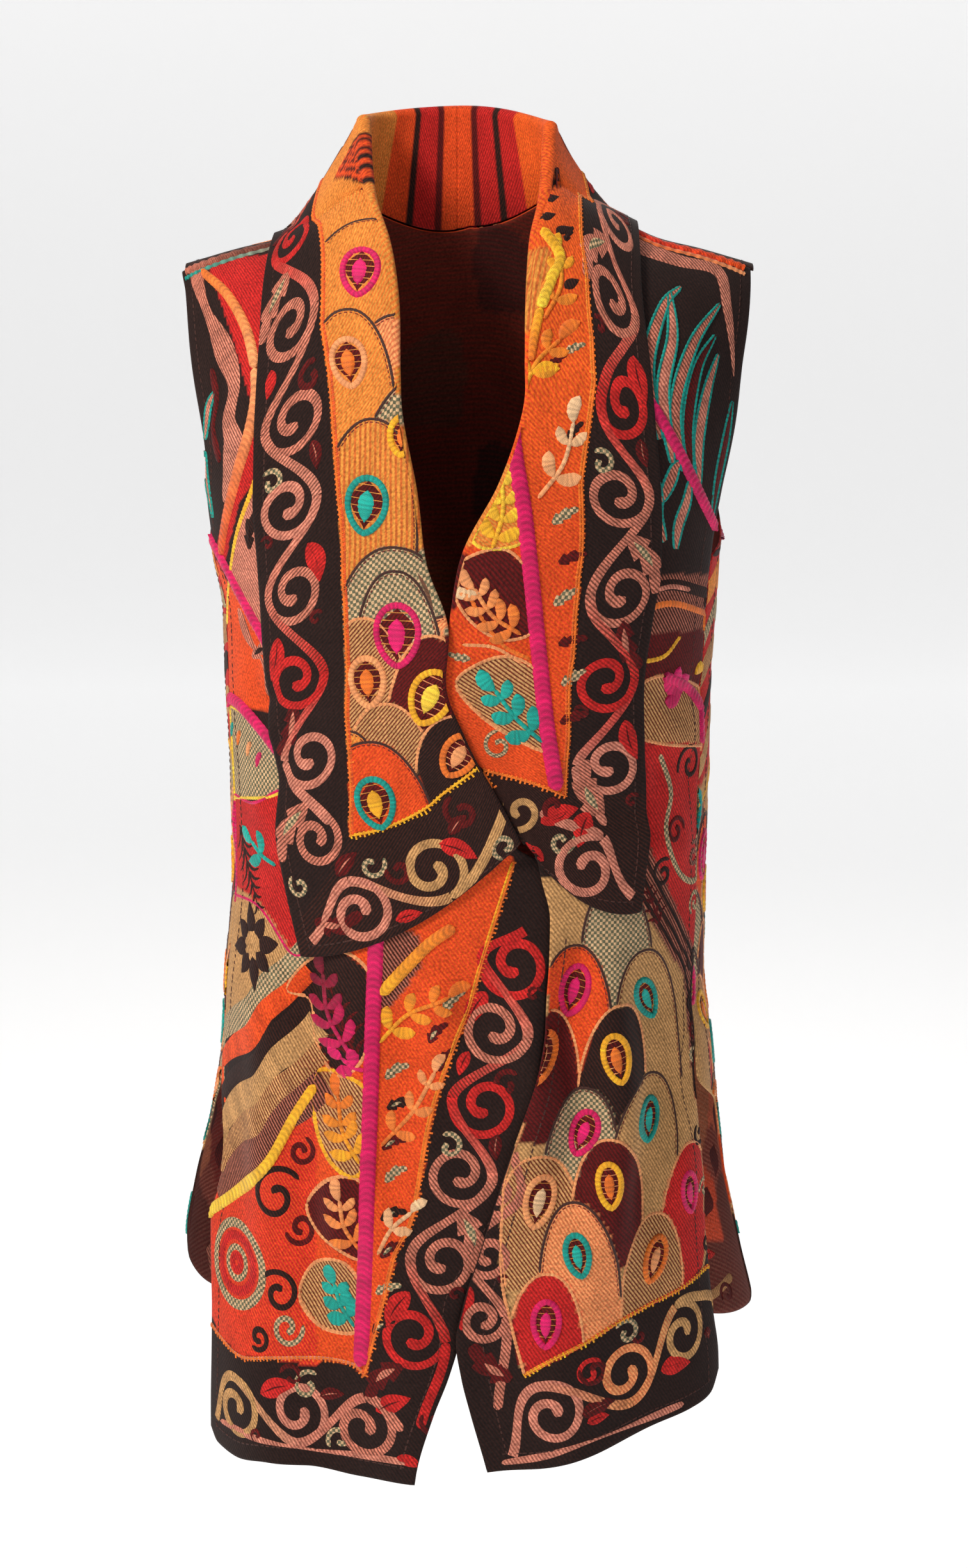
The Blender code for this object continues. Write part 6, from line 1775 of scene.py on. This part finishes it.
def cloth_material(name, roughness=0.86, relief=0.35, faded=1.0):
    """Woven cloth: two yarns in a twill, a small check or fine stripes, as each place's weave says."""
    m = bpy.data.materials.new(name)
    m.use_nodes = True
    tree = m.node_tree
    shader = tree.nodes["Principled BSDF"]
    uv = node(tree, "ShaderNodeUVMap", -1500, 0, uv_map="yarn")
    split = node(tree, "ShaderNodeSeparateXYZ", -1320, 0)
    tree.links.new(uv.outputs[0], split.inputs[0])
    x, y = split.outputs[0], split.outputs[1]
    kind = node(tree, "ShaderNodeAttribute", -1320, -420, attribute_name="kind").outputs["Fac"]
    share = node(tree, "ShaderNodeAttribute", -1320, -600, attribute_name="share").outputs["Fac"]
    first = node(tree, "ShaderNodeAttribute", -700, 420, attribute_name="yarn_a").outputs["Color"]
    second = node(tree, "ShaderNodeAttribute", -700, 240, attribute_name="yarn_b").outputs["Color"]
    wander = node(tree, "ShaderNodeTexNoise", -1320, 260)
    wander.inputs["Scale"].default_value = 900.0
    wander.inputs["Detail"].default_value = 1.0
    tree.links.new(uv.outputs[0], wander.inputs["Vector"])
    drift = math_node(tree, "MULTIPLY_ADD", wander.outputs[0], 1.7, -1140, 260)
    # twill ribs
    slant = math_node(tree, "ADD", x, math_node(tree, "MULTIPLY", y, 0.72, -1140, -40), -960, 0)
    turns = math_node(tree, "ADD", math_node(tree, "MULTIPLY", slant, 2 * math.pi / 0.0027, -780, 0), drift, -600, 0)
    rib = math_node(tree, "SINE", turns, None, -420, 0)
    # small check
    cx = math_node(tree, "SINE", math_node(tree, "MULTIPLY", x, 2 * math.pi / 0.0040, -960, -160), None, -780, -160)
    cy = math_node(tree, "SINE", math_node(tree, "MULTIPLY", y, 2 * math.pi / 0.0040, -960, -280), None, -780, -280)
    check = math_node(tree, "MULTIPLY", math_node(tree, "MULTIPLY", cx, cy, -600, -220), 2.2, -420, -220)
    # stripes across
    rows = math_node(tree, "ADD", math_node(tree, "MULTIPLY", y, 2 * math.pi / 0.0036, -780, -400), drift, -600, -400)
    line = math_node(tree, "SINE", rows, None, -420, -400)
    is_check = math_node(tree, "SUBTRACT", 1.0, math_node(tree, "ABSOLUTE", math_node(tree, "SUBTRACT", kind, 1.0, -780, -520), None, -600, -520), -420, -520)
    pick_check = node(tree, "ShaderNodeClamp", -240, -520)
    tree.links.new(is_check, pick_check.inputs[0])
    pick_line = node(tree, "ShaderNodeClamp", -240, -640)
    tree.links.new(math_node(tree, "SUBTRACT", kind, 1.0, -420, -640), pick_line.inputs[0])
    blend1 = node(tree, "ShaderNodeMix", -60, -200)
    tree.links.new(pick_check.outputs[0], blend1.inputs[0])
    tree.links.new(rib, blend1.inputs[2])
    tree.links.new(check, blend1.inputs[3])
    blend2 = node(tree, "ShaderNodeMix", 120, -260)
    tree.links.new(pick_line.outputs[0], blend2.inputs[0])
    tree.links.new(blend1.outputs[0], blend2.inputs[2])
    tree.links.new(line, blend2.inputs[3])
    pattern = node(tree, "ShaderNodeMapRange", 300, -200, interpolation_type="SMOOTHSTEP")
    pattern.inputs["From Min"].default_value = -0.35
    pattern.inputs["From Max"].default_value = 0.65
    tree.links.new(blend2.outputs[0], pattern.inputs["Value"])
    amount = math_node(tree, "MULTIPLY", pattern.outputs[0], share, 480, -120)
    mix = node(tree, "ShaderNodeMix", 660, 200, data_type="RGBA")
    tree.links.new(amount, mix.inputs[0])
    tree.links.new(first, mix.inputs[6])
    tree.links.new(second, mix.inputs[7])
    cloud = node(tree, "ShaderNodeTexNoise", 300, 520)
    cloud.inputs["Scale"].default_value = 55.0
    cloud.inputs["Detail"].default_value = 5.0
    cloud.inputs["Roughness"].default_value = 0.65
    tree.links.new(uv.outputs[0], cloud.inputs["Vector"])
    grain = node(tree, "ShaderNodeTexNoise", 300, 760)
    grain.inputs["Scale"].default_value = 560.0
    grain.inputs["Detail"].default_value = 2.0
    tree.links.new(uv.outputs[0], grain.inputs["Vector"])
    tone = node(tree, "ShaderNodeMapRange", 480, 520)
    tone.inputs["From Min"].default_value, tone.inputs["From Max"].default_value = 0.30, 0.70
    tone.inputs["To Min"].default_value, tone.inputs["To Max"].default_value = 0.84 * faded, 1.12 * faded
    tree.links.new(cloud.outputs[0], tone.inputs["Value"])
    speck = node(tree, "ShaderNodeMapRange", 480, 760)
    speck.inputs["From Min"].default_value, speck.inputs["From Max"].default_value = 0.30, 0.70
    speck.inputs["To Min"].default_value, speck.inputs["To Max"].default_value = 0.60, 1.30
    tree.links.new(grain.outputs[0], speck.inputs["Value"])
    both = math_node(tree, "MULTIPLY", tone.outputs[0], speck.outputs[0], 660, 640)
    shade = node(tree, "ShaderNodeMix", 860, 300, data_type="RGBA", blend_type="MULTIPLY")
    shade.inputs[0].default_value = 1.0
    grey = node(tree, "ShaderNodeCombineColor", 760, 640)
    for k in range(3):
        tree.links.new(both, grey.inputs[k])
    tree.links.new(mix.outputs[2], shade.inputs[6])
    tree.links.new(grey.outputs[0], shade.inputs[7])
    tree.links.new(shade.outputs[2], shader.inputs["Base Color"])
    lift = math_node(tree, "MULTIPLY_ADD", blend2.outputs[0], 0.5, 480, -420)
    tree.links.new(grain.outputs[0], lift.node.inputs[2])
    bump = node(tree, "ShaderNodeBump", 860, -300)
    bump.inputs["Strength"].default_value = relief
    bump.inputs["Distance"].default_value = 0.00035
    tree.links.new(lift, bump.inputs["Height"])
    tree.links.new(bump.outputs[0], shader.inputs["Normal"])
    shader.inputs["Roughness"].default_value = roughness
    shader.inputs["Specular IOR Level"].default_value = 0.16
    shader.inputs["Sheen Weight"].default_value = 0.045
    shader.inputs["Sheen Roughness"].default_value = 0.45
    return m


def yarn_material(name):
    """Embroidery yarn: small links along each row, soft sheen."""
    m = bpy.data.materials.new(name)
    m.use_nodes = True
    tree = m.node_tree
    shader = tree.nodes["Principled BSDF"]
    uv = node(tree, "ShaderNodeUVMap", -1100, 0, uv_map="yarn")
    split = node(tree, "ShaderNodeSeparateXYZ", -920, 0)
    tree.links.new(uv.outputs[0], split.inputs[0])
    x, y = split.outputs[0], split.outputs[1]
    first = node(tree, "ShaderNodeAttribute", -300, 320, attribute_name="yarn_a").outputs["Color"]
    side = math_node(tree, "ABSOLUTE", y, None, -740, -120)
    ply = math_node(tree, "ADD", math_node(tree, "MULTIPLY", x, 2 * math.pi / 0.0012, -740, 60),
                    math_node(tree, "MULTIPLY", side, 3600.0, -560, -120), -380, 0)
    twist = math_node(tree, "SINE", ply, None, -200, 0)
    fuzz = node(tree, "ShaderNodeTexNoise", -560, -320)
    fuzz.inputs["Scale"].default_value = 1100.0
    fuzz.inputs["Detail"].default_value = 3.0
    tree.links.new(uv.outputs[0], fuzz.inputs["Vector"])
    tone = node(tree, "ShaderNodeMapRange", -200, -320)
    tone.inputs["From Min"].default_value, tone.inputs["From Max"].default_value = 0.25, 0.75
    tone.inputs["To Min"].default_value, tone.inputs["To Max"].default_value = 0.80, 1.22
    tree.links.new(fuzz.outputs[0], tone.inputs["Value"])
    # painted shade and highlight: the yarn's colour is darker in the grooves of its twist and lighter on its ridges, in
    # step with the bump
    ply_shade_tone = math_node(tree, "MULTIPLY_ADD", twist, 0.09, -20, -100)
    tree.links.new(tone.outputs[0], ply_shade_tone.node.inputs[2])
    grey = node(tree, "ShaderNodeCombineColor", 140, -100)
    for k in range(3):
        tree.links.new(ply_shade_tone, grey.inputs[k])
    shade = node(tree, "ShaderNodeMix", 300, 200, data_type="RGBA", blend_type="MULTIPLY")
    shade.inputs[0].default_value = 1.0
    tree.links.new(first, shade.inputs[6])
    tree.links.new(grey.outputs[0], shade.inputs[7])
    tree.links.new(shade.outputs[2], shader.inputs["Base Color"])
    lift = math_node(tree, "MULTIPLY_ADD", twist, 0.5, 140, -400)
    tree.links.new(fuzz.outputs[0], lift.node.inputs[2])
    bump = node(tree, "ShaderNodeBump", 300, -360)
    bump.inputs["Strength"].default_value = 0.45
    bump.inputs["Distance"].default_value = 0.0003
    tree.links.new(lift, bump.inputs["Height"])
    tree.links.new(bump.outputs[0], shader.inputs["Normal"])
    shader.inputs["Roughness"].default_value = 0.62
    shader.inputs["Specular IOR Level"].default_value = 0.34
    shader.inputs["Sheen Weight"].default_value = 0.16
    shader.inputs["Sheen Roughness"].default_value = 0.35
    return m


def build_mesh(name, verts, quads, uv, first, second, kind, share, material):
    """One object from arrays. Colours are display values and become linear here."""
    verts, quads = np.asarray(verts, np.float32), np.asarray(quads, np.int32)
    mesh = bpy.data.meshes.new(name)
    mesh.vertices.add(len(verts))
    mesh.vertices.foreach_set("co", verts.ravel())
    mesh.loops.add(quads.size)
    mesh.loops.foreach_set("vertex_index", quads.ravel())
    mesh.polygons.add(len(quads))
    mesh.polygons.foreach_set("loop_start", np.arange(0, quads.size, 4, dtype=np.int32))
    mesh.polygons.foreach_set("loop_total", np.full(len(quads), 4, dtype=np.int32))
    mesh.update(calc_edges=True)
    mesh.validate()
    layer = mesh.uv_layers.new(name="yarn")
    index = np.empty(len(mesh.loops), np.int32)
    mesh.loops.foreach_get("vertex_index", index)
    layer.data.foreach_set("uv", np.asarray(uv, np.float32)[index].ravel())
    for key, value in (("yarn_a", first), ("yarn_b", second)):
        attribute = mesh.attributes.new(key, "FLOAT_COLOR", "POINT")
        rgba = np.concatenate([linear(value), np.ones((len(verts), 1))], 1).astype(np.float32)
        attribute.data.foreach_set("color", rgba.ravel())
    for key, value in (("kind", kind), ("share", share)):
        attribute = mesh.attributes.new(key, "FLOAT", "POINT")
        attribute.data.foreach_set("value", np.broadcast_to(np.asarray(value, np.float32), (len(verts),)).copy())
    mesh.shade_smooth()
    mesh.materials.append(material)
    obj = bpy.data.objects.new(name, mesh)
    bpy.context.scene.collection.objects.link(obj)
    return obj


def shell(sheet, material, lining):
    """The cloth itself: face, reverse and a rounded edge, one closed mesh."""
    rows, cols = sheet.shape
    count = rows * cols
    outer = sheet.middle + sheet.normal * (CLOTH / 2)
    inner = sheet.middle - sheet.normal * (CLOTH / 2)
    index = np.arange(count).reshape(rows, cols)
    face = np.stack([index[:-1, :-1], index[:-1, 1:], index[1:, 1:], index[1:, :-1]], -1).reshape(-1, 4)
    if sheet.sign < 0:
        face = face[:, ::-1]
    loop = np.concatenate([index[0, :-1], index[:-1, -1], index[-1, :0:-1], index[:0:-1, 0]])
    middle = sheet.middle.reshape(-1, 3)
    ahead, behind = middle[np.roll(loop, -1)], middle[np.roll(loop, 1)]
    tangent = ahead - behind
    tangent /= np.maximum(np.linalg.norm(tangent, axis=1, keepdims=True), 1e-9)
    out = np.cross(tangent, sheet.normal.reshape(-1, 3)[loop]) * sheet.sign
    rim = middle[loop] + out * 0.00055
    rim_index = 2 * count + np.arange(len(loop))
    after = np.roll(rim_index, -1)
    after_loop = np.roll(loop, -1)
    upper = np.stack([loop, rim_index, after, after_loop], -1)
    lower = np.stack([rim_index, loop + count, after_loop + count, after], -1)
    if sheet.sign < 0:
        upper, lower = upper[:, ::-1], lower[:, ::-1]
    reverse = face[:, ::-1] + count
    verts = np.concatenate([outer.reshape(-1, 3), inner.reshape(-1, 3), rim])
    quads = np.concatenate([face, reverse, upper, lower])
    base = sheet.systems["E" if "E" in sheet.systems else "A"][0].reshape(-1, 2)
    uv = np.concatenate([base, base + 0.4, base[loop]])
    first, second = sheet.first.reshape(-1, 3), sheet.second.reshape(-1, 3)
    share_seen = 1.0
    if sheet is back:
        down, across = np.linspace(0, 1, rows)[:, None], np.abs(np.linspace(-1, 1, cols))[None, :]
        share_seen = (0.5 + 1.4 * ramp(down, 0.54, 0.66) * ramp(across, 0.30, 0.50)).reshape(-1, 1)
    low = np.clip((share_seen - 0.5) / 1.4, 0, 1) if sheet is back else 0.0
    back_first = share_seen * (0.22 * first + 0.18 * second) + (1 - 0.40 * share_seen) * ink("brown")
    back_second = share_seen * (0.22 * second + 0.26 * first) + (1 - 0.48 * share_seen) * ink("maroon")
    back_first = (1 - low) * back_first + low * (0.45 * first + 0.10 * second + 0.45 * np.array([0.66, 0.24, 0.19]))
    back_second = (1 - low) * back_second + low * (0.30 * first + 0.30 * second + 0.40 * ink("salmon"))
    first = np.concatenate([first, back_first, first[loop]])
    second = np.concatenate([second, back_second, second[loop]])
    kind = sheet.kind.reshape(-1)
    share = sheet.share.reshape(-1)
    kind = np.concatenate([kind, kind * 0 + 2.0, kind[loop]])
    share = np.concatenate([share, share * 0 + 0.55, share[loop]])
    return build_mesh(sheet.name + "_cloth", verts, quads, uv, first, second, kind, share, material)


def worked(sheet, layer, material, reverse=False):
    """What is worked on the cloth, laid on it and joined into one object. The woven motifs of the back also show,
    faintly raised, on its reverse."""
    verts, quads, uv, first, second, kind, share = [], [], [], [], [], [], []
    count = 0
    for system in ("A", "E", "V"):
        items = [w for w in sheet.work if w["layer"] == layer and w["system"] == system]
        if not items:
            continue
        xy = np.concatenate([w["xy"] for w in items])
        h = np.concatenate([w["h"] for w in items])
        start = np.cumsum([0] + [len(w["h"]) for w in items])
        faces = np.concatenate([w["quads"] + s for w, s in zip(items, start)])
        col = np.concatenate([w["col"] for w in items])
        other = np.concatenate([w["other"] for w in items])
        k = np.concatenate([np.full(len(w["h"]), w["kind"]) for w in items])
        sh = np.concatenate([np.full(len(w["h"]), w["share"]) for w in items])
        i, j, off = sheet.locate(system, xy)
        good = off < 0.0003
        seen = ~sheet.hidden[np.clip(np.round(i).astype(int), 0, sheet.shape[0] - 1),
                             np.clip(np.round(j).astype(int), 0, sheet.shape[1] - 1)]
        point = sheet.sample(sheet.outer, i, j)
        normal = sheet.sample(sheet.normal, i, j)
        if reverse:
            point, normal = point - normal * CLOTH, -normal
            h = 0.8 * h
            faces = faces[((i[faces] > 0.60 * sheet.shape[0]) & (np.abs(j[faces] / sheet.shape[1] - 0.5) > 0.25)).all(1)]
            col, other = 0.82 * col + 0.18 * ink("brown"), 0.82 * other + 0.18 * ink("brown")
        place = point + normal * h[:, None]
        keep = (good & seen)[faces].all(1)
        partly = good[faces].any(1) & seen[faces].all(1) & (off[faces].max(1) < 0.004)
        faces = faces[keep | partly]
        a = place[faces[:, 1]] - place[faces[:, 0]]
        b = place[faces[:, 3]] - place[faces[:, 0]]
        c = place[faces[:, 2]] - place[faces[:, 1]]
        area = np.linalg.norm(np.cross(a, b), axis=1) + np.linalg.norm(np.cross(a, c), axis=1)
        faces = faces[area > 2e-10]
        a = place[faces[:, 2]] - place[faces[:, 0]]
        b = place[faces[:, 3]] - place[faces[:, 1]]
        facing = (np.cross(a, b) * normal[faces[:, 0]]).sum(1)
        faces = np.where((facing < 0)[:, None], faces[:, ::-1], faces)
        used, inverse = np.unique(faces, return_inverse=True)
        faces = inverse.reshape(faces.shape)
        if layer == "weave":
            grid = sheet.systems["E" if "E" in sheet.systems else "A"][0]
            coordinates = sheet.sample(grid, i, j)
        else:
            coordinates = np.concatenate([w["uv"] for w in items])
        verts.append(place[used])
        quads.append(faces + count)
        uv.append(coordinates[used])
        first.append(col[used])
        second.append(other[used])
        kind.append(k[used])
        share.append(sh[used])
        count += len(used)
    if not count:
        return None
    join = lambda parts: np.concatenate(parts)
    return build_mesh(sheet.name + "_" + layer + ("_reverse" if reverse else ""), join(verts), join(quads), join(uv), join(first), join(second), join(kind),
                      join(share), material)


cloth_look = cloth_material("shawl_cloth")
weave_look = cloth_material("woven_motif", 0.84, 0.40)
yarn_look = yarn_material("embroidery_yarn")
for sheet in (back, front_r, front_l, lapel_r, lapel_l):
    body = shell(sheet, cloth_look, None)
    extra = [worked(sheet, "weave", weave_look), worked(sheet, "stitch", yarn_look)]
    if sheet is back:
        extra.append(worked(sheet, "weave", weave_look, True))
    extra = [o for o in extra if o is not None]
    for obj in [body] + extra:
        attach(obj, "root")
    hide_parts(sheet.name)
    print("PIECE", sheet.name, "cloth", len(body.data.polygons) * 2, [(o.name, len(o.data.polygons) * 2) for o in extra])


# ---------------------------------------------------------------------------------------------------------------
# Plain pale studio.
def stage_mesh():
    """Floor that sweeps up into a backdrop."""
    profile = [(-12.0, -1.30), (6.0, -1.30)]
    for k in range(1, 13):
        a = math.radians(90 * k / 12)
        profile.append((6.0 + 2.0 * math.sin(a), -1.30 + 2.0 * (1 - math.cos(a))))
    profile.append((8.0, 9.0))
    mesh = bpy.data.meshes.new("floor")
    verts = [(x, y, z) for y, z in profile for x in (-14.0, 14.0)]
    faces = [(2 * k, 2 * k + 1, 2 * k + 3, 2 * k + 2) for k in range(len(profile) - 1)]
    mesh.from_pydata(verts, [], faces)
    mesh.shade_smooth()
    m = bpy.data.materials.new("studio_pale")
    m.use_nodes = True
    shader = m.node_tree.nodes["Principled BSDF"]
    shader.inputs["Base Color"].default_value = (0.86, 0.86, 0.86, 1)
    shader.inputs["Roughness"].default_value = 0.9
    shader.inputs["Emission Color"].default_value = (1.0, 1.0, 1.0, 1)
    shader.inputs["Emission Strength"].default_value = 0.50
    mesh.materials.append(m)
    obj = bpy.data.objects.new("floor", mesh)
    bpy.context.scene.collection.objects.link(obj)


def light(name, place, target, size, power, colour):
    data = bpy.data.lights.new(name, "AREA")
    data.shape = "RECTANGLE"
    data.size, data.size_y = size
    data.energy = power
    data.color = colour
    obj = bpy.data.objects.new(name, data)
    obj.location = place
    direction = Vector(target) - Vector(place)
    obj.rotation_euler = direction.to_track_quat("-Z", "Y").to_euler()
    bpy.context.scene.collection.objects.link(obj)


stage_mesh()
light("key", (-1.45, -1.5, 1.35), (0.0, 0.0, -0.35), (0.6, 0.6), 57.0, (1.0, 0.93, 0.84))
light("fill", (2.2, -2.4, 0.3), (0.0, 0.0, -0.4), (1.8, 1.8), 9.0, (0.98, 0.98, 1.0))
light("above", (-0.4, 0.2, 2.6), (0.0, 0.0, -0.3), (1.8, 1.8), 18.0, (1.0, 0.98, 0.95))
light("behind", (0.3, 2.4, 1.2), (0.0, 0.0, -0.4), (1.8, 1.8), 14.0, (1.0, 0.98, 0.96))
world = bpy.data.worlds.new("studio")
world.use_nodes = True
world.node_tree.nodes["Background"].inputs[0].default_value = (0.95, 0.96, 1.0, 1)
world.node_tree.nodes["Background"].inputs[1].default_value = 0.16
bpy.context.scene.world = world
bpy.context.scene.view_settings.view_transform = "Standard"

lens = bpy.data.cameras.new("camera")
lens.sensor_width = 36.0
lens.sensor_fit = "AUTO"
lens.lens = 77.0
lens.clip_start, lens.clip_end = 0.05, 50.0
camera = bpy.data.objects.new("camera", lens)
camera.location = tuple(float(c) for c in CAMERA)
camera.rotation_euler = (math.radians(90.0 - 11.0), 0.0, 0.0)
bpy.context.scene.collection.objects.link(camera)
bpy.context.scene.camera = camera
